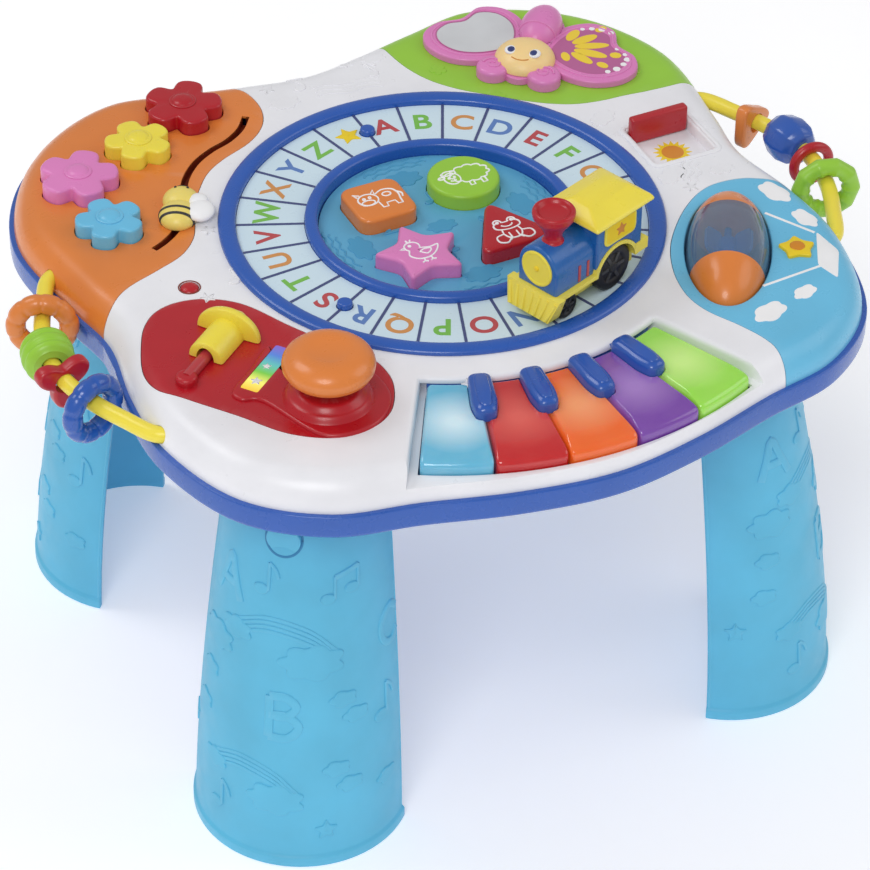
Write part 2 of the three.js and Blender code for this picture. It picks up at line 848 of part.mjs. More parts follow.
function legBody() {
  const foot = -tableHeight;
  const low = foot + lipHeight + lipProud;
  const high = baseBottom + baseFloor + legInsert;
  const steps = 5;
  const rises = Array.from({ length: steps + 1 }, (_, i) => {
    return legLevel(THREE.MathUtils.lerp(low, high, i / steps), 0, 0);
  });
  const snapZ = baseBottom - snapDrop;
  const { radius, shift } = legSize(snapZ);
  const snapX = radius - shift;
  const snap = new THREE.CylinderGeometry(snapRadius, snapRadius, legWall + snapProud, 20);
  snap.rotateZ(Math.PI / 2).translate(snapX + snapProud / 2 - legWall / 2, 0, snapZ);
  return stack([
    legLevel(foot, lipProud, 0),
    legLevel(foot + lipHeight, lipProud, 0),
    ...rises,
  ]).add(solidOf(snap));
}

const corners = [
  ["leg_front_left", -1, -1],
  ["leg_front_right", 1, -1],
  ["leg_back_right", 1, 1],
  ["leg_back_left", -1, 1],
];

function addLegs() {
  for (const [name, signX, signY] of corners) {
    const { x, y, turn } = legPlace(signX, signY);
    addPart(table, name, moved(legBody(), x, y, 0, turn), legBlue);
  }
}

function baseSockets(grow, low, high) {
  return corners.map(([, signX, signY]) => {
    const { x, y, turn } = legPlace(signX, signY);
    return moved(stack([legLevel(low, 0, grow), legLevel(high, 0, grow)]), x, y, 0, turn);
  });
}

function centredBox(x, y, length, width, low, high) {
  return box(x - length / 2, x + length / 2, y - width / 2, y + width / 2, low, high);
}

function addBase() {
  const joint = -rimDrop - gap;
  const inside = prism(tableOutline(bandProud - bandWall), baseInside, joint + overrun);
  let base = stack([
    { points: tableOutline(bandProud - bandRound), z: baseBottom },
    { points: tableOutline(bandProud), z: baseBottom + bandRound },
    { points: tableOutline(bandProud), z: joint },
  ]).subtract(inside);
  const socketTop = baseInside + legInsert;
  for (const socket of baseSockets(socketWall, baseInside - baseFloor / 2, socketTop)) {
    base = base.add(socket);
  }
  const batteryBox = centredBox(0, 0, batteryBoxLength, batteryBoxWidth, baseInside - gap, batteryBoxTop);
  base = base.add(batteryBox);
  for (const socket of baseSockets(gap, baseBottom - overrun, socketTop + overrun)) {
    base = base.subtract(socket);
  }
  const innerLength = batteryBoxLength - 2 * batteryBoxWall;
  const innerWidth = batteryBoxWidth - 2 * batteryBoxWall;
  base = base.subtract(
    centredBox(0, 0, innerLength, innerWidth, baseBottom - overrun, batteryBoxTop - batteryBoxWall),
  );
  base = base.subtract(powerSlot()).subtract(grille());
  addPart(table, "base_shell", base, railBlue);
  addPart(table, "battery_door", centredBox(
    0, 0, innerLength - 2 * gap, innerWidth - 2 * gap, baseBottom + doorInset, baseInside + doorInset,
  ), railBlue);
}

function grille() {
  const slots = Array.from({ length: grilleSlots }, (_, i) => {
    const y = speakerY + (i - (grilleSlots - 1) / 2) * grillePitch;
    return centredBox(speakerX, y, grilleLength, grilleSlot, baseBottom - overrun, baseInside + gap);
  });
  return slots.reduce((all, slot) => all.add(slot));
}

function powerSlot() {
  const length = powerLength + 2 * powerTravel + 2 * runningGap;
  const low = baseBottom - overrun;
  return centredBox(powerX, powerY, length, powerWidth + 2 * runningGap, low, baseInside + gap);
}

function addInnerParts() {
  const boardLow = batteryBoxTop + gap;
  const board = centredBox(0, 0, boardLength, boardWidth, boardLow, boardLow + circuitThickness);
  addPart(table, "circuit_board", board, boardGreen);
  const low = baseInside + 2 * gap;
  const speaker = drum(speakerX, speakerY, speakerRadius, low, low + speakerHeight)
    .subtract(drum(speakerX, speakerY, speakerRadius / 2, low + speakerHeight / 2, overrun));
  addPart(table, "speaker", speaker, black);
  const stem = centredBox(
    powerX, powerY, powerLength, powerWidth, baseBottom - powerProud, baseInside + 2 * gap,
  );
  const tab = centredBox(
    powerX, powerY, powerLength + 2 * powerTravel + 2 * powerWidth, 2 * powerWidth, baseInside + gap,
    baseInside + gap + doorThickness,
  );
  addPart(table, "power_switch", stem.add(tab), black);
}

// Track, centre plate and switches

function switchPlaces() {
  return switchTurns.map((turn) => ({
    x: channelMiddle * Math.cos(radians(turn)),
    y: channelMiddle * Math.sin(radians(turn)),
  }));
}

function addTrack() {
  const innerEdge = innerRailOuter - innerRailWidth;
  const hole = trackRadius - trackHoleInset - gap;
  const bevel = railRise / 2;
  let tray = turned([
    [innerEdge - plateShelf, shelfBottom], [innerRailOuter, shelfBottom], [innerRailOuter, trayBottom],
    [hole, trayBottom], [hole, gap], [trackRadius, gap],
    [trackRadius, railRise - bevel], [trackRadius - bevel, railRise], [channelOuter + bevel, railRise],
    [channelOuter, railRise - bevel], [channelOuter, trayTop], [innerRailOuter, trayTop],
    [innerRailOuter, railRise - bevel], [innerRailOuter - bevel, railRise],
    [innerEdge + bevel, railRise], [innerEdge, railRise - bevel],
    [innerEdge, shelfTop], [innerEdge - plateShelf, shelfTop], [innerEdge - plateShelf, shelfBottom],
  ], trackSides);
  let ring = turned([
    [innerRailOuter + gap, letterRingTop - letterRingThickness],
    [channelOuter - gap, letterRingTop - letterRingThickness],
    [channelOuter - gap, letterRingTop], [innerRailOuter + gap, letterRingTop],
    [innerRailOuter + gap, letterRingTop - letterRingThickness],
  ], trackSides);
  for (const { x, y } of switchPlaces()) {
    const hole = drum(x, y, switchRadius + runningGap, trayBottom - overrun, overrun, 16);
    tray = tray.subtract(hole);
    ring = ring.subtract(hole);
  }
  addPart(table, "track_tray", tray, railBlue);
  addPart(table, "letter_ring", ring, paleBlue);
}

function addSwitches() {
  const top = trayBottom - switchTravel / 2 - gap;
  const low = top - switchRingThickness;
  const inner = channelMiddle - switchRingWidth / 2;
  const outer = channelMiddle + switchRingWidth / 2;
  let switches = turned([[inner, low], [outer, low], [outer, top], [inner, top], [inner, low]], 28);
  for (const { x, y } of switchPlaces()) {
    switches = switches.add(drum(x, y, switchRadius, low + gap, switchTop, 16));
  }
  addPart(table, "track_switches", switches, railBlue);
}

const animals = [
  { name: "animal_button_cow", signX: -1, signY: 1, points: roundedSquare(), color: 0xdd8446 },
  { name: "animal_button_sheep", signX: 1, signY: 1, points: roundOutline(), color: 0x8cc63c },
  { name: "animal_button_chick", signX: -1, signY: -1, points: roundedStar(), color: 0xd26bb4 },
  { name: "animal_button_frog", signX: 1, signY: -1, points: roundedTriangle(), color: 0xb01828 },
];

function roundOutline() {
  return circlePoints(0, 0, animalRadius);
}

function roundedSquare() {
  return roundedPoints(sharePoints(squareShares, animalRadius), 0.24);
}

function roundedTriangle() {
  return roundedPoints(sharePoints(triangleShares, animalRadius), 0.2);
}

function roundedStar() {
  const tips = 5;
  const tip = animalRadius * 1.3;
  const valley = animalRadius * 0.72;
  const corners = Array.from({ length: 2 * tips }, (_, i) => {
    const angle = Math.PI / 2 + (i * Math.PI) / tips;
    const reach = i % 2 ? valley : tip;
    return new THREE.Vector2(reach * Math.cos(angle), reach * Math.sin(angle));
  });
  return roundedPoints(corners, 0.22, 2);
}

function addCentre() {
  let plate = drum(0, 0, plateRadius, plateTop - plateThickness, plateTop, trackSides);
  for (const { name, signX, signY, points, color } of animals) {
    const x = signX * animalSpread;
    const y = signY * animalSpread;
    const hole = prism(outset(points, runningGap), plateTop - overrun, overrun);
    plate = plate.subtract(hole.translate([x, y, 0]));
    const low = plateTop - plateThickness - animalSkirt;
    const button = softPrism(points, low, animalRise, animalRound).translate([x, y, 0]);
    addPart(table, name, button, plastic(color, 0.35));
  }
  addPart(table, "center_plate", plate, plateBlue);
}

// Buttons, sliders and lamp

function addFlowers() {
  for (const { name, radius, turn, atShares, color } of flowers) {
    const { x, y } = place(atShares);
    const petals = softPrism(flowerPoints(radius), -buttonSkirt, flowerRise, flowerRound);
    const bump = drum(0, 0, flowerBump, flowerRise - gap, flowerRise + flowerBumpRise, 16);
    addPart(table, name, moved(petals.add(bump), x, y, 0, turn), plastic(color, 0.35));
  }
}

function addBee() {
  const { x, y } = place(beeShares);
  const low = gap;
  const middle = low + beeHeight / 3;
  const body = ball(0, 0, middle, beeLength / 2, beeWidth / 2, (beeHeight * 2) / 3);
  const wing = ball(-beeWing / 2, -beeWidth / 2, middle, beeWing, beeWing, beeWing / 2, 12);
  const under = -shellWall - runningGap;
  const pin = drum(0, 0, beePin, under - gap, middle, 10);
  const button = drum(0, 0, beeButton, under - doorThickness, under, 12);
  const bee = body.add(wing).intersect(halfSpace(low)).add(pin).add(button);
  addPart(table, "bee_slider", moved(bee, x, y, 0, beeTurn), yellow);
}

function addLamp() {
  const { x, y } = place(lampShares);
  const lamp = turned([[0, -shellWall - gap], [lampRadius, -shellWall - gap], [lampRadius, 0],
    [lampRadius / 2, lampRise], [0, lampRise]], 20);
  addPart(table, "power_lamp", moved(lamp, x, y, 0), red);
  addPart(table, "light_window", windowSolid(0, -inlayDepth, gap), windowGreen);
}

// A half pipe with a half cone on its front, riding over the rod
function addArrowSlider() {
  const { x, y } = place(arrowShares);
  const pipe = crossDrum(0, 0, pipeRadius, -pipeLength, gap, 20);
  const cone = new THREE.CylinderGeometry(0, arrowRadius, arrowLength, 20);
  const head = solidOf(cone.scale(1, 1, arrowHeight / arrowRadius).translate(0, arrowLength / 2, 0));
  const boreRadius = rodRadius + runningGap;
  const boreLow = -pipeLength - overrun;
  const bore = crossDrum(0, rodRise, boreRadius, boreLow, boreEnd, 12)
    .add(box(-boreRadius, boreRadius, boreLow, boreEnd, -overrun, rodRise));
  const slider = pipe.add(head).intersect(halfSpace(gap)).subtract(bore);
  addPart(table, "arrow_slider", moved(slider, x, y, 0, panelTurn - 90), yellow);
}

function addLever() {
  const { x, y } = place(leverShares);
  const knob = ball(0, 0, knobHeight, knobRadius, knobRadius, knobThickness / 2, 20);
  const stem = drum(0, 0, stemRadius, leverPivot, knobHeight, 14);
  const pivot = ball(0, 0, leverPivot, leverBall, leverBall, leverBall, 14);
  addPart(table, "lever_knob", moved(knob.add(stem).add(pivot), x, y, 0), orange);
}

function addPeekDoor() {
  const halfWidth = peekWidth / 2 - runningGap;
  const back = peekMiddleY + peekDepth / 2 - gap;
  const low = -peekDrop + gap;
  const handle = box(
    peekMiddleX - halfWidth, peekMiddleX + halfWidth, back - handleThickness, back, low, handleRise,
  );
  const slab = box(
    peekMiddleX - halfWidth, peekMiddleX + halfWidth, back - handleThickness, back + doorTravel, low,
    low + doorThickness,
  );
  addPart(table, "peek_door", handle.add(slab), red);
}

// Piano

function keyMiddle(index) {
  return fanTurn + (index - (fanKeys - 1) / 2) * keyPitch;
}

function addKeys() {
  const names = ["light_blue", "red", "orange", "purple", "green"];
  const colors = [0x6bb5cd, 0xc22830, 0xe07032, 0x7e52a6, 0xa0dc60];
  const halfAngle = keyPitch / 2 - THREE.MathUtils.radToDeg(keySpacing / 2 / keyFront);
  for (let i = 0; i < fanKeys; i++) {
    const middle = keyMiddle(i);
    const bottomLoop = sectorPoints(keyBack, keyFront, middle - halfAngle, middle + halfAngle);
    const topLoop = sectorPoints(keyBack, keyFront - keySlope, middle - halfAngle, middle + halfAngle);
    let key = stack([
      { points: bottomLoop, z: keyTop - keyDepth },
      { points: bottomLoop, z: -pianoDrop },
      { points: topLoop, z: keyTop - keyRound },
      { points: outset(topLoop, -keyRound), z: keyTop },
    ]);
    for (const side of [-1, 1]) {
      if (i + side < 0 || i + side >= fanKeys) continue;
      const cutter = prism(sharpLoop(runningGap), keyTop - keyRound - gap, overrun);
      key = key.subtract(moved(cutter, 0, 0, 0, middle + (side * keyPitch) / 2));
    }
    addPart(table, "piano_key_" + names[i], key, plastic(colors[i], 0.25));
  }
}

// A sharp's outline on the +X axis, grown by a distance
function sharpLoop(grow) {
  const half = sharpWidth / 2 + grow;
  const low = sharpBack - grow;
  const high = sharpBack + sharpLength + grow;
  const corners = [[low, -half], [high, -half], [high, half], [low, half]];
  return roundedPoints(corners.map(([x, y]) => new THREE.Vector2(x, y)), 0.16, 2);
}

// The four raised keys hang over the white ones from a strip behind them
function addSharps() {
  const inner = trayBack + gap;
  const outer = inner + stripWidth;
  const low = -pianoDrop + gap;
  const under = keyTop - keyRound + gap;
  const half = sharpWidth / 3;
  const neckTop = keyTop + 3 * keyRound;
  let sharps = pianoSector(inner, outer, 0, low, low + stripHeight);
  for (let i = 0; i < fanKeys - 1; i++) {
    const neck = box(inner + gap, sharpBack + half, -half, half, under, neckTop)
      .add(box(inner + gap, outer - gap, -half, half, low + gap, neckTop - gap));
    const sharp = softPrism(sharpLoop(0), under, sharpTop, 2 * keyRound);
    sharps = sharps.add(moved(neck.add(sharp), 0, 0, 0, keyMiddle(i) + keyPitch / 2));
  }
  addPart(table, "sharp_keys", sharps, bright);
}

// Egg roller

function eggProfile(along) {
  const share = along / (eggLength / 2);
  return eggRadius * Math.sqrt(1 - share * share);
}

function addEgg() {
  const half = eggLength / 2;
  const { x, y } = place(eggShares);
  const laid = (solid) =>
    moved(solid.rotate([-90, 0, 0]), x, y, -eggAxisDrop, eggTurn - 90);
  const capStart = eggWindowHalf + gap;
  const capShares = [0, 0.3, 0.6, 0.85, 1];
  const cap = capShares.map((share) => {
    const along = capStart + (half - capStart) * share;
    return [Math.max(eggProfile(along), eggAxle), along];
  });
  const axleEnd = half + eggAxleReach;
  const ends = turned([
    [0, -axleEnd], [eggAxle, -axleEnd], ...cap.map(([r, a]) => [r, -a]).reverse(),
    [eggAxle, -capStart], [eggAxle, -eggSpindle], [eggSpindle, 0], [eggAxle, eggSpindle],
    [eggAxle, capStart], ...cap, [eggAxle, axleEnd], [0, axleEnd],
  ], 18);
  addPart(table, "egg_ends", laid(ends), orange);
  const spots = [-1, -0.5, 0, 0.5, 1].map((share) => share * eggWindowHalf);
  const outer = spots.map((along) => [eggProfile(along), along]);
  const inner = spots.map((along) => [eggProfile(along) - eggShellWall, along]).reverse();
  addPart(table, "egg_window", laid(turned([...outer, ...inner, outer[0]], 18)), clear);
}

// Butterfly

function addButterfly() {
  const { x, y } = place(butterflyShares);
  const group = new THREE.Group();
  group.position.set(x, y, 0);
  group.rotation.z = radians(butterflyTurn);
  table.add(group);
  const level = gap + wingThickness;
  const leftWing = smoothLoop(sharePoints(wingShares, wingSpan), 26);
  const rightWing = counterClockwise(leftWing.map((p) => new THREE.Vector2(-p.x, p.y)));
  const centre = new THREE.Box2().setFromPoints(leftWing).getCenter(new THREE.Vector2());
  const mirrorLoop = leftWing.map((p) => p.clone().sub(centre).multiplyScalar(mirrorShare).add(centre));
  const backbone = ovalPoints(headRadius - 2 * gap, headRadius + abdomenLength / 2, 20);
  let plate = softPrism(backbone, gap, level, gap);
  for (const wing of [leftWing, rightWing]) {
    plate = plate.add(softPrism(wing, gap, level, wingThickness / 4));
  }
  for (const side of [-1, 1]) {
    const feeler = circlePoints(side * feelerX, feelerY, feelerRadius, 14);
    plate = plate.add(softPrism(feeler, gap, feelerRise, 2 * gap));
  }
  const above = halfSpace(level + gap);
  const head = (grow) => {
    return ball(0, headY, level, headRadius + grow, headRadius + grow, headHeight + grow, 16);
  };
  const mirrorLow = level - mirrorThickness;
  plate = plate.subtract(prism(outset(mirrorLoop, gap), mirrorLow - gap, level + overrun))
    .subtract(head(gap).intersect(halfSpace(level)));
  const abdomen = ball(0, abdomenY, level, abdomenRadius, abdomenLength / 2, headHeight, 16)
    .intersect(above).subtract(head(runningGap));
  addPart(group, "butterfly_wings", plate, pink);
  addPart(group, "wing_mirror", prism(mirrorLoop, mirrorLow, level + gap), mirror);
  addPart(group, "butterfly_head", head(0).intersect(above), peach);
  addPart(group, "butterfly_body", abdomen, pink);
}

// Bead loops

function lobedPoints(reach, radius) {
  return loopPoints(36, (angle) => {
    const distance = reach + radius * (0.35 + 0.65 * Math.cos(3 * angle));
    return [distance * Math.cos(angle), distance * Math.sin(angle)];
  });
}

function plateBead(points, hole) {
  const half = plateBeadThickness / 2;
  return prism(points, -half, half).subtract(drum(0, 0, hole, -overrun, overrun, 16));
}

function triangleBead() {
  const reach = triangleReach / triangleShares[0][1];
  return plateBead(roundedPoints(sharePoints(triangleShares, reach), 0.25), triangleHole);
}

// A bead turned round its bore, from profile shares of its half length and its radius
function turnedBead(shares, halfLength, sides) {
  const outside = shares.map(([along, reach]) => [reach * beadRadius, along * halfLength]);
  const ends = [[beadBore, halfLength], [beadBore, -halfLength]];
  return turned([...outside, ...ends, outside[0]], sides);
}

// The beads of each loop from back to front, with their places along the bar as shares
const beads = [
  { name: "bead_left_orange_ring", side: -1, share: 0.25, material: orange, kind: "ring" },
  { name: "bead_left_green_ribbed", side: -1, share: 0.43, material: green, kind: "ribbed" },
  { name: "bead_left_red_lobed", side: -1, share: 0.55, material: red, kind: "lobed" },
  { name: "bead_left_blue_ring", side: -1, share: 0.7, material: bright, kind: "ring" },
  { name: "bead_right_orange_triangle", side: 1, share: 0.24, material: orange, kind: "triangle" },
  { name: "bead_right_blue_barrel", side: 1, share: 0.4, material: bright, kind: "barrel" },
  { name: "bead_right_red_thin", side: 1, share: 0.525, material: red, kind: "thin" },
  { name: "bead_right_green_ring", side: 1, share: 0.66, material: green, kind: "ring" },
];
const beadKinds = {
  ring: { solid: ringBead(ringRadius, ringTube), hole: ringRadius - ringTube },
  thin: { solid: ringBead(thinRingRadius, thinRingTube), hole: thinRingRadius - thinRingTube },
  lobed: { solid: plateBead(lobedPoints(lobeReach, lobeRadius), beadBore), hole: beadBore },
  triangle: { solid: triangleBead(), hole: triangleHole },
  ribbed: { solid: turnedBead(ribbedShares, beadLength / 2, 16) },
  barrel: { solid: turnedBead(barrelShares, barrelLength / 2, 10) },
};

function addBeads() {
  addPart(table, "bead_bar_left", tube(barCurve(-1), barRadius, 18, 8), yellow);
  addPart(table, "bead_bar_right", tube(barCurve(1), barRadius, 18, 8), yellow);
  for (const { name, side, share, material, kind } of beads) {
    const { solid, hole = barRadius + gap } = beadKinds[kind];
    const at = barCurve(side).getPointAt(share);
    const along = barCurve(side).getTangentAt(share);
    const turn = THREE.MathUtils.radToDeg(Math.atan2(along.y, along.x));
    const hang = hole - barRadius - gap;
    addPart(table, name, solid.rotate([0, 90, turn]).translate([at.x, at.y, at.z - hang]), material);
  }
}

// Train

function wheelPair(x, radius) {
  const axle = crossDrum(x, radius, axleRadius, -wheelOuter + gap, wheelOuter - gap, 12);
  const wheels = [-1, 1].map((side) => {
    const outer = side * wheelOuter;
    const inner = side * (wheelOuter - wheelWidth);
    return crossDrum(x, radius, radius, Math.min(outer, inner), Math.max(outer, inner), 20);
  });
  return axle.add(wheels[0]).add(wheels[1]);
}

function rectangle(lowX, highX, halfY) {
  const corners = [[lowX, -halfY], [highX, -halfY], [highX, halfY], [lowX, halfY]];
  return corners.map(([x, y]) => new THREE.Vector2(x, y));
}

function cowcatcher() {
  const back = frameFront - cowSlope;
  return stack([
    { points: rectangle(back, cowFront, cowLowHalf), z: cowLow },
    { points: rectangle(back, cowFront - cowSlope, cowTopHalf), z: frameTop },
  ]);
}

function rearArch(grow) {
  return crossDrum(rearAxleX, rearWheel, archRadius + grow, -roofHalfWidth, roofHalfWidth, 28);
}

function chassis() {
  const board = frameTop - boardThickness;
  const full = boardHalfWidth + gap;
  const slab = box(rearAxleX - archRadius, rearAxleX + archRadius, -full, full, board, tableHeight);
  const arch = rearArch(0).intersect(slab);
  let body = box(frameRear, frameFront, -frameHalfWidth, frameHalfWidth, frameLow, frameTop)
    .add(box(cabFront, frameFront, -boardHalfWidth, boardHalfWidth, board, frameTop))
    .add(box(bumperRear, rearAxleX, -boardHalfWidth, boardHalfWidth, board, board + bumperHeight))
    .add(arch)
    .add(cowcatcher());
  for (const side of [-1, 1]) {
    const inner = side * frameHalfWidth;
    const outer = side * roofHalfWidth;
    const wheelRoom = crossDrum(
      rearAxleX, rearWheel, archRadius - archThickness, Math.min(inner, outer), Math.max(inner, outer), 28,
    );
    body = body.subtract(wheelRoom);
  }
  for (const [x, radius] of [[frontAxleX, frontWheel], [rearAxleX, rearWheel]]) {
    body = body.subtract(crossDrum(x, radius, axleRadius + gap, -roofHalfWidth, roofHalfWidth, 12));
  }
  return body;
}

function boiler(grow) {
  const low = frameTop + gap;
  const length = boilerFront - cabRear;
  const barrel = new THREE.CylinderGeometry(boilerRadius + grow, boilerRadius + grow, length, 24);
  barrel.rotateZ(Math.PI / 2).translate((boilerFront + cabRear) / 2, 0, boilerHeight);
  const skirt = box(cabRear, boilerFront - gap, -boilerRadius, boilerRadius, low, boilerHeight);
  return solidOf(barrel).add(skirt).intersect(halfSpace(low));
}

function trainBody() {
  const cab = box(cabRear, cabFront, -cabHalfWidth, cabHalfWidth, frameTop + gap, cabTop);
  const bumperTop = frameTop - boardThickness + bumperHeight + gap;
  const bumperRoom = box(bumperRear, rearAxleX, -roofHalfWidth, roofHalfWidth, frameLow, bumperTop);
  return cab.add(boiler(0)).subtract(rearArch(gap)).subtract(bumperRoom);
}

function roof() {
  const eave = cabTop + gap;
  const middle = (roofFront + roofRear) / 2;
  return stack([
    { points: rectangle(roofRear, roofFront, roofHalfWidth), z: eave },
    { points: rectangle(roofRear, roofFront, roofHalfWidth), z: eave + eaveThickness },
    { points: rectangle(middle - ridgeHalf, middle + ridgeHalf, eaveThickness / 2), z: eave + roofRise },
  ]);
}

function chimney() {
  const foot = boilerHeight + boilerRadius - eaveThickness;
  const lip = chimneyTop - chimneyLip;
  return turned([
    [0, foot], [chimneyNeck, foot], [chimneyNeck, foot + chimneyNeckRise], [chimneyFlare, lip],
    [chimneyFlare, chimneyTop - chimneyLip / 3], [chimneyFlare - chimneyLip / 3, chimneyTop],
    [0, chimneyTop - chimneyLip / 2],
  ], 18).translate([chimneyX, 0, 0]).subtract(boiler(gap));
}

function addTrain() {
  const train = new THREE.Group();
  const angle = radians(trainAngle);
  const level = letterRingTop + gap;
  train.position.set(channelMiddle * Math.cos(angle), channelMiddle * Math.sin(angle), level);
  train.rotation.z = angle - Math.PI / 2;
  table.add(train);
  addPart(train, "train_chassis", chassis(), yellow);
  addPart(train, "train_front_axle", wheelPair(frontAxleX, frontWheel), black);
  addPart(train, "train_rear_axle", wheelPair(rearAxleX, rearWheel), black);
  addPart(train, "train_body", trainBody(), bright);
  addPart(train, "train_roof", roof(), yellow);
  addPart(train, "train_chimney", chimney(), red);
}

// Assembly

addTopShell();
addPanels();
addBase();
addInnerParts();
addLegs();
addTrack();
addSwitches();
addCentre();
addFlowers();
addBee();
addLamp();
addArrowSlider();
addLever();
addPeekDoor();
addKeys();
addSharps();
addEgg();
addButterfly();
addBeads();
addTrain();

table.position.z = tableHeight;
table.updateMatrixWorld(true);
const middle = new THREE.Box3().setFromObject(table, true).getCenter(new THREE.Vector3());
table.position.x = -middle.x;
table.position.y = -middle.y;

export default table;
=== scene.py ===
"""The look of a musical activity table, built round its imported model.

Lengths are millimetres in the table's own frame, with the middle of the round track at the
origin and the flat of the top at z = 0. Each piece is turned into metres in the frame's
place when it becomes an object.
"""
import math

import bmesh
import bpy
from mathutils import Matrix, Vector, kdtree


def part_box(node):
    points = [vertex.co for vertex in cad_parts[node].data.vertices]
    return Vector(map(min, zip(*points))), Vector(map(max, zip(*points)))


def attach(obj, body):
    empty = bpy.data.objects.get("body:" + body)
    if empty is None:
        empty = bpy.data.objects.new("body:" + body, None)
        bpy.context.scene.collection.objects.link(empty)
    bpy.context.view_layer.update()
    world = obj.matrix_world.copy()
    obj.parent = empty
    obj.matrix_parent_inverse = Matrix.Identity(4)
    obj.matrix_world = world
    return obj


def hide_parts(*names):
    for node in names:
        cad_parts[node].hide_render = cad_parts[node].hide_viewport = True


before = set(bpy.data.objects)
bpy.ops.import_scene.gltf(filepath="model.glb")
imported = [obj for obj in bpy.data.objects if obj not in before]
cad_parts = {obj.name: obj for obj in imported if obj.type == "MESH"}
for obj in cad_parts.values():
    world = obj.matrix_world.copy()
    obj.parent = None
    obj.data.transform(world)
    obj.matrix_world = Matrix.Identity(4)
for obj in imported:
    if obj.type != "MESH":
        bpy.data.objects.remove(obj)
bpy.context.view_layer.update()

# The frame's own values
METRE = 1000
ring_low, ring_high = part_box("letter_ring")
tray_low, tray_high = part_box("track_tray")
TOP_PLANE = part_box("top_shell")[1].z
ORIGIN = Vector(((ring_low.x + ring_high.x) / 2, (ring_low.y + ring_high.y) / 2, TOP_PLANE))
TABLE_HEIGHT = TOP_PLANE * METRE
TRACK_RADIUS = (tray_high.x - tray_low.x) / 2 * METRE

# Top and rim
TOP_WIDTH = 486
TOP_DEPTH = 482
TOP_MIDDLE = (-7, -13)
RIM_DROP = 22
SHOULDER_RUN = 19
SHELL_WALL = 4.5
INLAY_DEPTH = 2
SEAM = 0.45
GAP = 0.3
RUNNING_GAP = 0.6
OVERRUN = 6
BAND_HEIGHT = 17
BAND_PROUD = 3
BAND_ROUND = 4
BAND_LIP = 1.2
BAND_SKIN = 0.35
BAND_DEPTH = 1.5
BASE_BOTTOM = -RIM_DROP - GAP - BAND_HEIGHT

# Track
RAIL_WIDTH = 11.7
CHANNEL_WIDTH = 44.7
INNER_RAIL_WIDTH = 8.6
RAIL_RISE = 4
RING_TOP = -1
RING_THICKNESS = 2
PLATE_TOP = -5
PLATE_THICKNESS = 2
HOLE_INSET = 5.5
TRAY_FLOOR = 3
PLATE_SHELF = 4.5
CHANNEL_OUTER = TRACK_RADIUS - RAIL_WIDTH
INNER_RAIL_OUTER = CHANNEL_OUTER - CHANNEL_WIDTH
CHANNEL_MIDDLE = (CHANNEL_OUTER + INNER_RAIL_OUTER) / 2
PLATE_RADIUS = INNER_RAIL_OUTER - INNER_RAIL_WIDTH - RUNNING_GAP
SWITCH_RADIUS = 5
SWITCH_TOP = 3
SWITCH_TURNS = (90, 210, 330)
CELLS = 27
LETTER_HEIGHT = 17.5
LETTER_RADIUS = 114.5
LETTER_RISE = 0.35
LETTER_SIZE_SHARE = 1.32
LETTER_BOLD = 0.5

# Piano
KEY_BACK = 171
KEY_FRONT = 247.5
KEY_TOP = -1
KEY_DEPTH = 15
KEY_ROUND = 2.6
KEY_CORNER = 7

# A key's levels from its foot up, as (height, cut from the front, inset of the sides)
KEY_LEVELS = (
    (KEY_TOP - KEY_DEPTH, 0, 0), (-12, 0, 0), (-8, 0, 0), (-6, 0.4, 0), (-5, 1.2, 0.1),
    (-4.1, 2.6, 0.3), (-3.3, 4.8, 0.65), (-2.5, 8, 1.1), (-1.8, 11, 1.6), (-1.3, 13.4, 2.1),
    (-1.05, 15, 2.7), (KEY_TOP, 16.4, 3.3),
)
KEY_SPACING = 1.2
KEY_PITCH = 10.85
FAN_TURN = -92.8
FAN_KEYS = 5
PIANO_DROP = 12
TRAY_BACK = 162
TRAY_FRONT = 320
TRAY_MARGIN_TURN = 1.4
TRAY_RIM_ROUND = 3.5
SHARP_BACK = 171
SHARP_LENGTH = 38
SHARP_HALF = 8.4
SHARP_TOP = 8
NECK_HALF = 4
SHARP_LEDGE = 168.4
SHARP_LEDGE_DEPTH = 4

# Places round the track, as shares of its radius
FLOWERS = (
    ("flower_button_red", 26.5, 36, (-0.705, 1.262), "red"),
    ("flower_button_yellow", 22.5, 0, (-1.007, 1.075), "yellow"),
    ("flower_button_pink", 26.5, 36, (-1.356, 0.945), "pink"),
    ("flower_button_blue", 22.5, 0, (-1.362, 0.568), "sky_blue"),
)
ORANGE_SHARES = (
    (-0.42, 1.4), (-0.37, 1.28), (-0.365, 1.15), (-0.4, 1.045), (-0.46, 0.97), (-0.54, 0.912),
    (-0.7, 0.842), (-0.8, 0.775), (-0.886, 0.673), (-0.95, 0.575), (-1, 0.46), (-1.06, 0.345),
    (-1.155, 0.255), (-1.3, 0.195), (-1.463, 0.135), (-1.636, 0.022), (-2, -0.1), (-2.1, 0.6),
    (-2, 1.5), (-1.3, 2), (-0.5, 1.75),
)
GREEN_SHARES = (
    (0.36, 1.6), (0.372, 1.35), (0.395, 1.17), (0.448, 1.023), (0.54, 0.895), (0.65, 0.79),
    (0.748, 0.7), (0.864, 0.611), (0.967, 0.558), (1.086, 0.531), (1.213, 0.522), (1.338, 0.508),
    (1.55, 0.505), (2, 0.6), (2.1, 1.2), (1.7, 1.9), (0.9, 2),
)
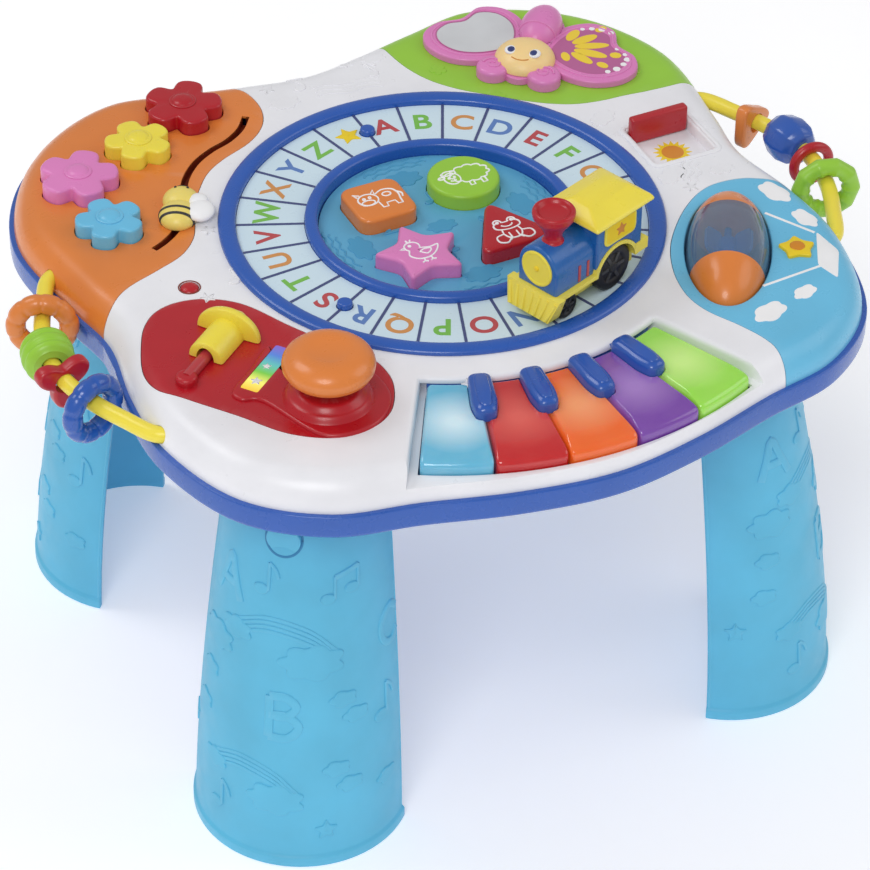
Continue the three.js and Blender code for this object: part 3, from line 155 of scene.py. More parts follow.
BLUE_SHARES = (
    (1.9, -0.45), (1.6, -0.4), (1.472, -0.353), (1.37, -0.3), (1.235, -0.284), (1.143, -0.31),
    (1.037, -0.379), (0.929, -0.481), (0.827, -0.608), (0.762, -0.734), (0.724, -0.855),
    (0.711, -0.986), (0.735, -1.1), (0.81, -1.249), (0.86, -1.38), (0.878, -1.532), (0.85, -1.7),
    (1.1, -2.05), (1.8, -1.8), (2.15, -1.1),
)
RED_SHARES = (
    (-1.43, -0.085), (-1.33, -0.057), (-1.2, -0.083), (-1.07, -0.18), (-0.942, -0.42),
    (-0.839, -0.602), (-0.73, -0.765), (-0.708, -0.881), (-0.725, -0.988), (-0.81, -1.135),
    (-0.923, -1.2), (-1.08, -1.2), (-1.249, -1.095), (-1.4, -0.885), (-1.54, -0.7), (-1.62, -0.58),
    (-1.63, -0.433), (-1.57, -0.266), (-1.51, -0.16),
)
PANEL_SHARES = (ORANGE_SHARES, GREEN_SHARES, BLUE_SHARES, RED_SHARES)
SLOT_SHARES = (
    (-1.246, 0.347), (-1.175, 0.382), (-1.0975, 0.4419), (-1.04, 0.5415), (-0.97, 0.6627),
    (-0.9, 0.784), (-0.81, 0.878), (-0.71, 0.937), (-0.61, 0.975), (-0.52, 1.035), (-0.451, 1.12),
)
BEE_SHARES = (-1.04, 0.5415)
LAMP_SHARES = (-1.22, 0.02)
ARROW_SHARES = (-1.212, -0.363)
WINDOW_SHARES = (-1.164, -0.664)
LEVER_SHARES = (-1.01, -0.952)
EGG_SHARES = (1.0445, -0.736)
BUTTERFLY_SHARES = (0.993, 1.034)

# The table's outline down its right side, as shares of half its width and half its depth
OUTLINE_SHARES = (
    (0, 0.892), (0.17, 0.92), (0.36, 0.965), (0.55, 1), (0.74, 0.93), (0.9, 0.78), (1, 0.54),
    (0.975, 0.22), (0.948, 0.03), (0.985, -0.2), (0.99, -0.42), (0.9, -0.69), (0.72, -0.84),
    (0.5, -0.895), (0.25, -0.965), (0, -1),
)
WING_SHARES = (
    (-0.08, 0.11), (-0.2, 0.38), (-0.42, 0.52), (-0.64, 0.47), (-0.745, 0.24), (-0.93, 0.11),
    (-1, -0.1), (-0.9, -0.3), (-0.65, -0.42), (-0.35, -0.36), (-0.08, -0.13),
)


# Solids

class Form:
    """Points in millimetres and the faces between them."""

    def __init__(self, points, faces):
        self.points = [Vector(p) for p in points]
        self.faces = faces

    def __add__(self, other):
        shift = len(self.points)
        faces = [tuple(i + shift for i in face) for face in other.faces]
        return Form(self.points + other.points, self.faces + faces)

    def laid(self, place):
        return Form([place @ p for p in self.points], self.faces)

    def moved(self, x=0, y=0, z=0, turn=0):
        return self.laid(placed(x, y, z, turn))


def placed(x, y, z, turn):
    return Matrix.Translation((x, y, z)) @ Matrix.Rotation(math.radians(turn), 4, "Z")


def merged(forms):
    """Several forms as one."""
    return sum(forms, Form([], []))


def stack(levels):
    """Outlines at several heights joined into one closed form."""
    count = len(levels[0][0])
    points = [(x, y, z) for loop, z in levels for x, y in loop]
    faces = [tuple(reversed(range(count)))]
    for level in range(len(levels) - 1):
        low = level * count
        for i in range(count):
            j = (i + 1) % count
            faces.append((low + i, low + j, low + count + j, low + count + i))
    faces.append(tuple(range(len(points) - count, len(points))))
    return Form(points, faces)


def prism(loop, low, high):
    return stack([(loop, low), (loop, high)])


def scaled(loop, share):
    middle_x = sum(x for x, _ in loop) / len(loop)
    middle_y = sum(y for _, y in loop) / len(loop)
    return [(middle_x + (x - middle_x) * share, middle_y + (y - middle_y) * share) for x, y in loop]


def quarter(steps):
    """A rounded edge's levels, each as the shares of its radius cut in and risen."""
    turns = [math.pi / 2 * step / steps for step in range(steps + 1)]
    return [(1 - math.cos(a), math.sin(a)) for a in turns]


def cushion(loop, low, high, edge, crown=0):
    """A prism with a rounded top edge and a top that swells by its crown."""
    levels = [(loop, low)]
    levels += [(outset(loop, -edge * inward), high - edge + edge * rise) for inward, rise in quarter(6)]
    inner = levels[-1][0]
    for share in (0.85, 0.65, 0.45, 0.25, 0.08):
        levels.append((scaled(inner, share), high + crown * (1 - share * share)))
    return stack(levels)


def flared(loop, low, high, edge):
    """A cutter that leaves a rounded rim where it meets the flat of the top."""
    levels = [(outset(loop, edge * outward), edge * (rise - 1)) for outward, rise in quarter(5)]
    return stack([(loop, low), *levels, (outset(loop, edge), high)])


def lathe(profile, sides):
    """A profile of (radius, height) turned about the upright axis."""
    points = []
    rings = []
    for radius, height in profile:
        if radius < GAP / METRE:
            rings.append([len(points)] * sides)
            points.append((0, 0, height))
            continue
        rings.append(range(len(points), len(points) + sides))
        for i in range(sides):
            angle = 2 * math.pi * i / sides
            points.append((radius * math.cos(angle), radius * math.sin(angle), height))
    faces = []
    for low, high in zip(rings, rings[1:]):
        for i in range(sides):
            j = (i + 1) % sides
            corners = (low[i], low[j], high[j], high[i])
            faces.append(tuple(dict.fromkeys(corners)))
    return Form(points, [face for face in faces if len(face) > 2])


def turned(corners, edge, sides=72):
    """A lathe form whose profile's corners are rounded by an edge."""
    return lathe(rounded(corners, edge), sides)


def ellipsoid(x, y, z, size, sides=40):
    """A ball of three half sizes."""
    profile = [
        (math.cos(angle), math.sin(angle))
        for angle in (math.pi * (i / (sides / 2) - 0.5) for i in range(sides // 2 + 1))
    ]
    return lathe(profile, sides).laid(Matrix.Translation((x, y, z)) @ Matrix.Diagonal((*size, 1)))


def box(low, high):
    loop = [(low[0], low[1]), (high[0], low[1]), (high[0], high[1]), (low[0], high[1])]
    return prism(loop, low[2], high[2])


def cross(form):
    """A form made about the upright axis, laid along Y."""
    return form.laid(Matrix.Rotation(-math.pi / 2, 4, "X"))


def lengthwise(form):
    """A form made about the upright axis, laid along X."""
    return form.laid(Matrix.Rotation(math.pi / 2, 4, "Y"))


def drum(x, y, radius, low, high, sides=48):
    return prism(circle(x, y, radius, sides), low, high)


def tube(path, radius, sides=14):
    """A round tube along a path of points."""
    points = []
    side = Vector((0, 0, 1))
    for i, point in enumerate(path):
        ahead = (Vector(path[min(i + 1, len(path) - 1)]) - Vector(path[max(i - 1, 0)])).normalized()
        across = ahead.cross(side).normalized()
        up = across.cross(ahead)
        for k in range(sides):
            angle = 2 * math.pi * k / sides
            spoke = across * math.cos(angle) + up * math.sin(angle)
            points.append(Vector(point) + spoke * radius)
    return Form(points, pipe_faces(len(path), sides))


# Outlines

def circle(x, y, radius, sides=64):
    return oval(x, y, radius, radius, sides)


def oval(x, y, radius_x, radius_y, sides):
    turns = [2 * math.pi * i / sides for i in range(sides)]
    return [(x + radius_x * math.cos(a), y + radius_y * math.sin(a)) for a in turns]


def polar(reach, sides):
    """A loop whose distance from its middle is a function of the angle."""
    turns = [2 * math.pi * i / sides for i in range(sides)]
    return [(reach(a) * math.cos(a), reach(a) * math.sin(a)) for a in turns]


def star(tip, valley, tips, edge, x=0, y=0):
    """A star with rounded corners, one tip towards +Y."""
    corners = []
    for i in range(2 * tips):
        angle = math.pi / 2 + math.pi * i / tips
        reach = valley if i % 2 else tip
        corners.append((x + reach * math.cos(angle), y + reach * math.sin(angle)))
    return rounded(corners, edge, 5, closed=True)


def rounded(corners, edge, steps=4, closed=False):
    """Corners cut back by a distance to smooth curves."""
    most_share = 0.48
    made = []
    for i, corner in enumerate(corners):
        if not closed and i in (0, len(corners) - 1):
            made.append(tuple(corner))
            continue
        here = Vector(corner)
        before = Vector(corners[i - 1]) - here
        after = Vector(corners[(i + 1) % len(corners)]) - here
        start = here + before.normalized() * min(edge, before.length * most_share)
        end = here + after.normalized() * min(edge, after.length * most_share)
        for step in range(steps + 1):
            t = step / steps
            made.append(tuple(start * (1 - t) ** 2 + here * 2 * t * (1 - t) + end * t * t))
    return made


def outset(loop, distance):
    """A counter-clockwise loop moved outwards by a distance, or inwards by a negative one."""
    made = []
    for i, (x, y) in enumerate(loop):
        before = loop[i - 1]
        after = loop[(i + 1) % len(loop)]
        along = Vector((after[0] - before[0], after[1] - before[1])).normalized()
        made.append((x + along.y * distance, y - along.x * distance))
    return made


def closed_loop(loop):
    """A loop's points with its first two again, as a path that closes."""
    return [*loop, *loop[:2]]


def counter_clockwise(loop):
    area = sum(a[0] * b[1] - b[0] * a[1] for a, b in zip(loop, loop[1:] + loop[:1]))
    return loop if area > 0 else loop[::-1]


def curve_span(points, t):
    """A point on the centripetal curve between the second and third of four points."""
    knots = [0]
    for a, b in zip(points, points[1:]):
        knots.append(knots[-1] + max((b - a).length, GAP / METRE) ** 0.5)
    at = knots[1] + (knots[2] - knots[1]) * t
    row = list(points)
    for size in (1, 2, 3):
        row = [
            row[i].lerp(row[i + 1], (at - knots[low]) / (knots[high] - knots[low]))
            for i, (low, high) in enumerate(span_knots(size))
        ]
    return row[0]


def span_knots(size):
    """The knots that each lerp of the curve runs between."""
    return {1: ((0, 1), (1, 2), (2, 3)), 2: ((0, 2), (1, 3)), 3: ((1, 2),)}[size]


def smooth_path(points, steps=8):
    """A smooth open path through points of any dimension."""
    spots = [Vector(p) for p in points]
    ends = [spots[0] * 2 - spots[1], *spots, spots[-1] * 2 - spots[-2]]
    made = []
    for i in range(len(spots) - 1):
        made += [curve_span(ends[i:i + 4], step / steps) for step in range(steps)]
    return made + [spots[-1]]


def smooth_loop(points, steps):
    """A smooth closed outline through points."""
    spots = [Vector(p) for p in points]
    count = len(spots)
    made = []
    for i in range(count):
        span = [spots[(i + k - 1) % count] for k in range(4)]
        made += [curve_span(span, step / steps) for step in range(steps)]
    return counter_clockwise([(p.x, p.y) for p in made])


def ribbon(path, half_width):
    """A band of one width along a flat path, with round ends."""
    sides = ([], [])
    for i, point in enumerate(path):
        ahead = (path[min(i + 1, len(path) - 1)] - path[max(i - 1, 0)]).normalized()
        for side, sign in zip(sides, (1, -1)):
            side.append((point.x - sign * ahead.y * half_width, point.y + sign * ahead.x * half_width))
    return counter_clockwise(sides[0] + sides[1][::-1])


def sector(inner, outer, start, end, edge, steps):
    """A piece of a ring between two angles, its corners rounded by an edge."""
    def arc(radius, first, last):
        turns = [math.radians(first + (last - first) * i / steps) for i in range(steps + 1)]
        return [(radius * math.cos(a), radius * math.sin(a)) for a in turns]
    corners = [arc(outer, start, end), arc(inner, end, start)]
    if not edge:
        return corners[0] + corners[1]
    trim = steps // 6
    front, back = corners
    made = []
    for near, far in ((front, back), (back, front)):
        made += near[trim:-trim]
        made += rounded([near[-trim - 1], near[-1], *step_towards(near[-1], far[0], edge)], edge)[1:-1]
        made += rounded([*step_towards(far[0], near[-1], edge), far[0], far[trim]], edge)[1:-1]
    return made


def step_towards(start, end, distance):
    way = Vector(end) - Vector(start)
    return [tuple(Vector(start) + way.normalized() * distance)]


def place(shares):
    return shares[0] * TRACK_RADIUS, shares[1] * TRACK_RADIUS


def share_loop(shares, unit=TRACK_RADIUS, steps=8):
    return smooth_loop([(x * unit, y * unit) for x, y in shares], steps)


# Materials, their depths in metres

GRAIN_DEPTH = 0.0004
SOFT_DEPTH = 0.004
GEL_DEPTH = 0.01
GLOW_CORE = 0.004
GLOW_REACH = 0.03


def rgb(code):
    """A colour code as linear light."""
    parts = [int(code[i:i + 2], 16) / 255 for i in (0, 2, 4)]
    return [p / 12.92 if p <= 0.04045 else ((p + 0.055) / 1.055) ** 2.4 for p in parts]


def tint(code, share):
    """A colour code's linear light, made lighter or darker by a share."""
    return (*[min(1, part * share) for part in rgb(code)], 1)


def set_inputs(node, values):
    for key, value in values.items():
        node.inputs[key].default_value = value


def add_node(tree, kind, settings=None, inputs=None):
    made = tree.nodes.new("ShaderNode" + kind)
    for key, value in (settings or {}).items():
        setattr(made, key, value)
    set_inputs(made, inputs or {})
    return made


def noise(tree, coordinates, scale, detail):
    made = add_node(tree, "TexNoise", inputs={"Scale": scale, "Detail": detail})
    tree.links.new(coordinates, made.inputs["Vector"])
    return made.outputs["Fac"]


def spread(tree, value, low, high, from_low=0.3, from_high=0.7):
    """A value's middle range spread between two limits."""
    limits = {"From Min": from_low, "From Max": from_high, "To Min": low, "To Max": high}
    made = add_node(tree, "MapRange", inputs=limits)
    tree.links.new(value, made.inputs["Value"])
    return made.outputs["Result"]


def mixed(tree, share, first, second):
    """Two colours mixed by a share. Each is a colour or a socket."""
    made = add_node(tree, "Mix", {"data_type": "RGBA"})
    tree.links.new(share, made.inputs["Factor"])
    for socket, color in ((made.inputs[6], first), (made.inputs[7], second)):
        if isinstance(color, tuple):
            socket.default_value = color
        else:
            tree.links.new(color, socket)
    return made.outputs[2]


def new_material(name):
    made = bpy.data.materials.new(name)
    made.use_nodes = True
    tree = made.node_tree
    coordinates = add_node(tree, "TexCoord").outputs["Object"]
    return made, tree, tree.nodes["Principled BSDF"], coordinates


def finish_surface(tree, shader, coordinates, roughness, grain):
    """Roughness that varies a little, and the fine grain of a mould."""
    rough = spread(tree, noise(tree, coordinates, 90, 3), roughness * 0.85, roughness * 1.2)
    bump = add_node(tree, "Bump", inputs={"Strength": grain, "Distance": GRAIN_DEPTH})
    tree.links.new(noise(tree, coordinates, 1500, 2), bump.inputs["Height"])
    tree.links.new(rough, shader.inputs["Roughness"])
    tree.links.new(bump.outputs["Normal"], shader.inputs["Normal"])


def plastic(name, code, roughness, grain=0.06, mottle=0.04, soft=0.0, coat=0.0):
    """Moulded plastic: a slight cloudiness of colour, rubbed edges and a fine grain."""
    made, tree, shader, coordinates = new_material(name)
    haze = spread(tree, noise(tree, coordinates, 22, 4), 0, 1)
    color = mixed(tree, haze, tint(code, 1 - mottle), tint(code, 1 + mottle))
    edge = add_node(tree, "NewGeometry").outputs["Pointiness"]
    rubbed = spread(tree, edge, 0, 0.16, 0.52, 0.6)
    pale = tuple(0.75 * part + 0.25 for part in tint(code, 1)[:3]) + (1,)
    tree.links.new(mixed(tree, rubbed, color, pale), shader.inputs["Base Color"])
    set_inputs(shader, {
        "Coat Weight": coat, "Coat Roughness": 0.08, "Subsurface Weight": soft,
        "Subsurface Radius": tuple(rgb(code)), "Subsurface Scale": SOFT_DEPTH,
    })
    finish_surface(tree, shader, coordinates, roughness, grain)
    return made


def gel(name, code, glow_code, middle):
    """A key's clear coloured plastic, with a painted glow round its middle: a lighter colour and a faint
    emission that stand in for light through the plastic.
    """
    made, tree, shader, coordinates = new_material(name)
    reach = add_node(tree, "VectorMath", {"operation": "DISTANCE"}, {1: middle})
    tree.links.new(coordinates, reach.inputs[0])
    glow = spread(tree, reach.outputs["Value"], 1, 0, GLOW_CORE, GLOW_REACH)
    painted_glow = mixed(tree, glow, tint(code, 1), tint(glow_code, 1))
    streaks = spread(tree, noise(tree, coordinates, 45, 2), 0, 0.12)
    tree.links.new(mixed(tree, streaks, painted_glow, tint(glow_code, 1)), shader.inputs["Base Color"])
    # The emission is painted glow, standing in for light through the plastic; the key holds no lamp of its
    # own here.
    tree.links.new(painted_glow, shader.inputs["Emission Color"])
    set_inputs(shader, {
        "Coat Weight": 0.6, "Coat Roughness": 0.05, "Subsurface Weight": 0.35,
        "Subsurface Radius": tuple(rgb(code)), "Subsurface Scale": GEL_DEPTH,
        "Emission Strength": 0.12,
    })
    finish_surface(tree, shader, coordinates, 0.16, 0.02)
    return made


def clear_plastic(name, code):
    """Thin clear plastic, more solid where it is seen edge on."""
    made, tree, shader, coordinates = new_material(name)
    haze = spread(tree, noise(tree, coordinates, 30, 2), 0, 1)
    tree.links.new(mixed(tree, haze, tint(code, 0.9), tint(code, 1.1)), shader.inputs["Base Color"])
    facing = add_node(tree, "LayerWeight", inputs={"Blend": 0.35}).outputs["Facing"]
    tree.links.new(spread(tree, facing, 0.22, 0.7, 0, 1), shader.inputs["Alpha"])
    set_inputs(shader, {"Coat Weight": 1, "Coat Roughness": 0.02})
    finish_surface(tree, shader, coordinates, 0.06, 0.01)
    return made


def mirror_film(name, code):
    made, tree, shader, coordinates = new_material(name)
    ripples = spread(tree, noise(tree, coordinates, 35, 2), 0, 1)
    tree.links.new(mixed(tree, ripples, tint(code, 0.9), tint(code, 1)), shader.inputs["Base Color"])
    set_inputs(shader, {"Metallic": 0.35})
    finish_surface(tree, shader, coordinates, 0.2, 0.03)
    return made


def light_strip(name, start, end, codes):
    """A lit strip whose colour changes from one end to the other."""
    made, tree, shader, coordinates = new_material(name)
    way = Vector(end) - Vector(start)
    offset = add_node(tree, "VectorMath", {"operation": "SUBTRACT"}, {1: start})
    tree.links.new(coordinates, offset.inputs[0])
    along = add_node(tree, "VectorMath", {"operation": "DOT_PRODUCT"}, {1: way / way.length_squared})
    tree.links.new(offset.outputs["Vector"], along.inputs[0])
    ramp = add_node(tree, "ValToRGB")
    bands = ramp.color_ramp.elements
    for i, code in enumerate(codes):
        spot = i / (len(codes) - 1)
        band = bands[i] if i < 2 else bands.new(spot)
        band.position = spot
        band.color = tint(code, 1)
    tree.links.new(along.outputs["Value"], ramp.inputs["Fac"])
    tree.links.new(ramp.outputs["Color"], shader.inputs["Base Color"])
    tree.links.new(ramp.outputs["Color"], shader.inputs["Emission Color"])
    set_inputs(shader, {"Emission Strength": 0.35, "Coat Weight": 0.8})
    finish_surface(tree, shader, coordinates, 0.12, 0.02)
    return made


def floor_material():
    made, tree, shader, coordinates = new_material("pale_floor")
    haze = spread(tree, noise(tree, coordinates, 2, 2), 0, 1)
    pale = mixed(tree, haze, tint("f4f4f5", 1), tint("f7f7f8", 1))
    tree.links.new(pale, shader.inputs["Base Color"])
    tree.links.new(pale, shader.inputs["Emission Color"])
    set_inputs(shader, {"Emission Strength": 0.32})
    finish_surface(tree, shader, coordinates, 0.85, 0.02)
    return made


PAINTS = {
    "white": plastic("white_plastic", "efeff4", 0.32, soft=0.05),
    "rail_blue": plastic("rail_blue_plastic", "2459b4", 0.26, coat=0.2),
    "leg_blue": plastic("leg_blue_plastic", "5cbbdf", 0.42, grain=0.12, mottle=0.06),
    # The groove's darker blue is painted shade.
    "leg_groove": plastic("leg_groove_shade", "2f83b4", 0.5),
    "orange": plastic("orange_plastic", "e28238", 0.3, coat=0.2),
    "green": plastic("green_plastic", "98cd3c", 0.34),
    "sky_blue": plastic("sky_blue_plastic", "6cc0e6", 0.3),
    "red": plastic("red_plastic", "b51322", 0.3, coat=0.1),
    "yellow": plastic("yellow_plastic", "f3e04a", 0.3, soft=0.08),
    "pale_blue": plastic("pale_blue_print", "cfe5f1", 0.3, mottle=0.02),
    "plate_blue": plastic("plate_blue_plastic", "52a6ce", 0.38),
    "plate_line": plastic("plate_line_plastic", "489bc5", 0.4),
    "pink": plastic("pink_plastic", "e184c2", 0.3),
    "bright_blue": plastic("bright_blue_plastic", "1f55b0", 0.24, coat=0.35),
    "train_blue": plastic("train_blue_plastic", "1b62ad", 0.27, coat=0.25),
    "black": plastic("black_rubber", "1b1b1e", 0.5, grain=0.2, mottle=0.2),
    "bee_yellow": plastic("bee_yellow_plastic", "f0da72", 0.34, soft=0.08),
    "peach": plastic("peach_plastic", "fbd896", 0.38, soft=0.1),
    "mirror": mirror_film("mirror_film", "e8eaee"),
    "clear": clear_plastic("clear_plastic", "6f8fae"),
    "board": plastic("board_green", "2e7d4a", 0.5, mottle=0.2),
    "spoke": plastic("spoke_print", "2c3a75", 0.4),
    "letter_red": plastic("letter_red_print", "b9333a", 0.4),
    "letter_green": plastic("letter_green_print", "6fb93a", 0.4),
    "letter_orange": plastic("letter_orange_print", "d08a3e", 0.4),
    "letter_blue": plastic("letter_blue_print", "4d78bd", 0.4),
    "print_white": plastic("white_print", "f6f6f8", 0.4),
    "print_yellow": plastic("yellow_print", "f2d21f", 0.4),
    "print_orange": plastic("orange_print", "d98a1e", 0.4),
    "print_wine": plastic("wine_print", "b85a94", 0.4),
    # A dark brown that stands in for shade: painted shade in the bee's slot and round the power lamp.
    "dark_painted_shade": plastic("dark_painted_shade", "7a2408", 0.5),
}


# Objects

BEVEL_ANGLE = 40


def solid(form):
    """A form as an object in metres, in the frame's place."""
    mesh = bpy.data.meshes.new("form")
    mesh.from_pydata([p / METRE + ORIGIN for p in form.points], [], form.faces)
    work = bmesh.new()
    work.from_mesh(mesh)
    bmesh.ops.remove_doubles(work, verts=work.verts, dist=GAP / METRE / METRE)
    bmesh.ops.recalc_face_normals(work, faces=work.faces)
    work.to_mesh(mesh)
    work.free()
    made = bpy.data.objects.new("form", mesh)
    bpy.context.scene.collection.objects.link(made)
    return made


def settle(obj):
    """The object's modifiers become part of its mesh."""
    view = bpy.context.evaluated_depsgraph_get()
    mesh = bpy.data.meshes.new_from_object(obj.evaluated_get(view))
    obj.modifiers.clear()
    obj.data = mesh
    return obj


def as_object(shape):
    return solid(shape) if isinstance(shape, Form) else shape


def combine(shape, others, operation):
    """A form or an object cut or joined by others, as one object."""
    base = as_object(shape)
    tools = [as_object(other) for other in others]
    for tool in tools:
        step = base.modifiers.new(operation, "BOOLEAN")
        step.operation = operation
        step.solver = "MANIFOLD"
        step.object = tool
    settle(base)
    for tool in tools:
        bpy.data.objects.remove(tool)
    return base


def cut(shape, *others):
    return combine(shape, others, "DIFFERENCE")


def fuse(shape, *others):
    return combine(shape, others, "UNION")


def meet(shape, *others):
    return combine(shape, others, "INTERSECT")


def soften(shape, width, segments=3):
    """Rounds a shape's hard edges."""
    obj = as_object(shape)
    step = obj.modifiers.new("round", "BEVEL")
    step.width = width / METRE
    step.segments = segments
    step.limit_method = "ANGLE"
    step.angle_limit = math.radians(BEVEL_ANGLE)
    step.use_clamp_overlap = True
    return settle(obj)


def piece(name, shape, paint, body="table", nodes=(), edge=0, sharp=38):
    """A finished piece of the object, from a form or an object."""
    obj = as_object(shape)
    obj.name = name
    if edge:
        soften(obj, edge)
    obj.data.name = name
    obj.data.shade_smooth()
    obj.data.set_sharp_from_angle(angle=math.radians(sharp))
    obj.data.materials.clear()
    obj.data.materials.append(PAINTS[paint])
    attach(obj, body)
    if nodes:
        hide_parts(*nodes)


def lines(name, strokes, radius, paint, body="table"):
    """Round lines along strokes, each a list of points in the table's frame."""
    piece(name, merged(tube(stroke, radius, 8) for stroke in strokes), paint, body)


# Top shell and panels

FINE_SIDES = 160
FLAT_RINGS = (0.94, 0.87, 0.79, 0.71, 0.63, 0.55, 0.46, 0.37, 0.28, 0.18, 0.08)
SLOT_HALF = 2.4
LINER_WALL = 1.2
LINER_DEPTH = 9
EGG_LENGTH = 122
EGG_RADIUS = 27.5
EGG_DROP = 6
EGG_TURN = 59.5
EGG_CLEARANCE = 0.7
EGG_AXLE = 2.5
WELL_WALL = 2
WELL_DEPTH = 13
WELL_ROUND = 1.2
TRAY_WALL_TURN = 3.4
KEY_OPENING_TURN = 0.1
PEEK_MIDDLE = (179, 16.5)
PEEK_WIDTH = 44
PEEK_DEPTH = 43
PEEK_DROP = 8
PEEK_WALL = 2.5
PEEK_CORNER = 2.5
PEEK_ROUND = 1.5
PEEK_RIM = 5
DOOR_TRAVEL = 30
DOOR_THICKNESS = 2
LAMP_RADIUS = 6
LAMP_RIM = 7.4
PLUG_RADIUS = 15.5
BAR_RADIUS = 5.4
BAR_DROP = 16
BAR_HALF = 87
BAR_MIDDLE_Y = -19
BAR_BULGE = 31
BAR_TAIL = 12
BAR_TURN_IN = 1.2
BAR_STEPS = 8


def table_outline(distance, steps=8):
    half = [(x * TOP_WIDTH / 2, y * TOP_DEPTH / 2) for x, y in OUTLINE_SHARES]
    mirrored = [(-x, y) for x, y in half[-2:0:-1]]
    whole = [(x + TOP_MIDDLE[0], y + TOP_MIDDLE[1]) for x, y in half + mirrored]
    return outset(smooth_loop(whole, steps), distance)


def top_form(depth, bottom):
    """The top's domed form, shrunk by a depth on every side."""
    levels = [(table_outline(-depth), bottom)]
    for inward, rise in quarter(9):
        loop = table_outline(-(depth + SHOULDER_RUN * inward))
        levels.append((loop, (RIM_DROP - depth) * rise - RIM_DROP))
    flat, height = levels[-1]
    levels.extend((scaled(flat, share), height) for share in FLAT_RINGS)
    return stack(levels)


def region(loop, distance):
    return prism(outset(loop, distance), -RIM_DROP - OVERRUN, OVERRUN)


def flower_loop(radius, grow=0):
    """Five round petals with a narrow notch between each two."""
    def reach(angle):
        notch = abs(math.cos(2.5 * (angle + math.pi / 2)))
        return radius * (1 - 0.05 * notch ** 2 - 0.27 * notch ** 7)
    return outset(polar(reach, FINE_SIDES), grow)


def flower_cut(flower, low):
    _, radius, turn, shares, _ = flower
    x, y = place(shares)
    return flared(flower_loop(radius, RUNNING_GAP), low, OVERRUN, RUNNING_GAP).moved(x, y, 0, turn)


def slot_path():
    return smooth_path([place(shares) for shares in SLOT_SHARES])


def slot_cut():
    return flared(ribbon(slot_path(), SLOT_HALF), -RIM_DROP, OVERRUN, RUNNING_GAP)


def egg_cut(grow, low, high, edge=0):
    x, y = place(EGG_SHARES)
    length = EGG_LENGTH / 2 + EGG_CLEARANCE + grow
    loop = oval(0, 0, length, EGG_RADIUS + EGG_CLEARANCE + grow, 96)
    form = flared(loop, low, high, edge) if edge else prism(loop, low, high)
    return form.moved(x, y, 0, EGG_TURN)


def piano_sector(inner, outer, margin):
    """A sector behind all the keys, wider than they are by a margin of turn."""
    half = FAN_KEYS * KEY_PITCH / 2 + margin
    return sector(inner, outer, FAN_TURN - half, FAN_TURN + half, 0, 64)


def peek_loop(grow, travel=0):
    """The sun picture's rectangle, longer at its back by the door's travel."""
    x, y = PEEK_MIDDLE
    half_x = PEEK_WIDTH / 2 + grow
    half_y = PEEK_DEPTH / 2 + grow
    corners = [
        (x - half_x, y - half_y), (x + half_x, y - half_y),
        (x + half_x, y + half_y + travel), (x - half_x, y + half_y + travel),
    ]
    return rounded(corners, PEEK_CORNER + grow, 5, closed=True)


def build_top():
    wall = SHELL_WALL / 2
    floor = -PEEK_DROP
    shell = cut(top_form(0, -RIM_DROP), top_form(SHELL_WALL, -RIM_DROP - OVERRUN))
    tray = prism(piano_sector(TRAY_BACK - wall, TRAY_FRONT, TRAY_WALL_TURN), -PIANO_DROP - wall, -wall)
    fuse(shell, meet(tray, top_form(0, -RIM_DROP)))
    fuse(shell, prism(peek_loop(PEEK_WALL, DOOR_TRAVEL), floor - PEEK_WALL, -wall))
    recess = piano_sector(TRAY_BACK, TRAY_FRONT, TRAY_MARGIN_TURN)
    mouth = piano_sector(SHARP_LEDGE, TRAY_FRONT, TRAY_MARGIN_TURN)
    opening = piano_sector(KEY_BACK - 3 * GAP, KEY_FRONT + 3 * GAP, KEY_OPENING_TURN)
    door_room = peek_loop(0, DOOR_TRAVEL + RUNNING_GAP)
    cut(
        shell,
        prism(recess, -PIANO_DROP, -SHARP_LEDGE_DEPTH),
        flared(mouth, -PIANO_DROP, OVERRUN, TRAY_RIM_ROUND),
        prism(opening, -RIM_DROP, OVERRUN),
        flared(peek_loop(0), floor, OVERRUN, PEEK_ROUND),
        prism(door_room, floor, floor + DOOR_THICKNESS + 2 * RUNNING_GAP),
        drum(0, 0, TRACK_RADIUS - HOLE_INSET, -RIM_DROP, OVERRUN, FINE_SIDES),
        egg_cut(WELL_WALL + GAP, -RIM_DROP, OVERRUN),
        drum(*place(LAMP_SHARES), LAMP_RADIUS + GAP, -RIM_DROP, OVERRUN),
        *[region(share_loop(shares), SEAM) for shares in PANEL_SHARES],
        *bar_holes(),
    )
    piece("top_skin", shell, "white", nodes=["top_shell"], sharp=30)


def inlay(shares):
    """A panel's skin, flush with the top."""
    skin = cut(top_form(0, -RIM_DROP), top_form(INLAY_DEPTH, -RIM_DROP - OVERRUN))
    return meet(skin, region(share_loop(shares), 0))


def build_panels():
    panel = inlay(ORANGE_SHARES)
    for flower in FLOWERS:
        cut(panel, flower_cut(flower, -RIM_DROP))
    cut(panel, slot_cut(), *bar_holes())
    piece("orange_inlay", panel, "orange", nodes=["orange_panel"], sharp=30)
    panel = cut(inlay(GREEN_SHARES), *bar_holes())
    piece("green_inlay", panel, "green", nodes=["green_panel"], sharp=30)
    panel = fuse(cut(inlay(BLUE_SHARES), *bar_holes()), egg_cut(WELL_WALL, -WELL_DEPTH, 0))
    cut(panel, egg_cut(0, -RIM_DROP, OVERRUN, WELL_ROUND), egg_bearing())
    piece("blue_inlay", panel, "sky_blue", nodes=["blue_panel"], sharp=30)
    build_red_panel()


def egg_bearing():
    x, y = place(EGG_SHARES)
    reach = EGG_LENGTH / 2 + EGG_CLEARANCE + WELL_WALL + OVERRUN
    return lengthwise(drum(0, 0, EGG_AXLE + GAP, -reach, reach)).moved(x, y, -EGG_DROP, EGG_TURN)


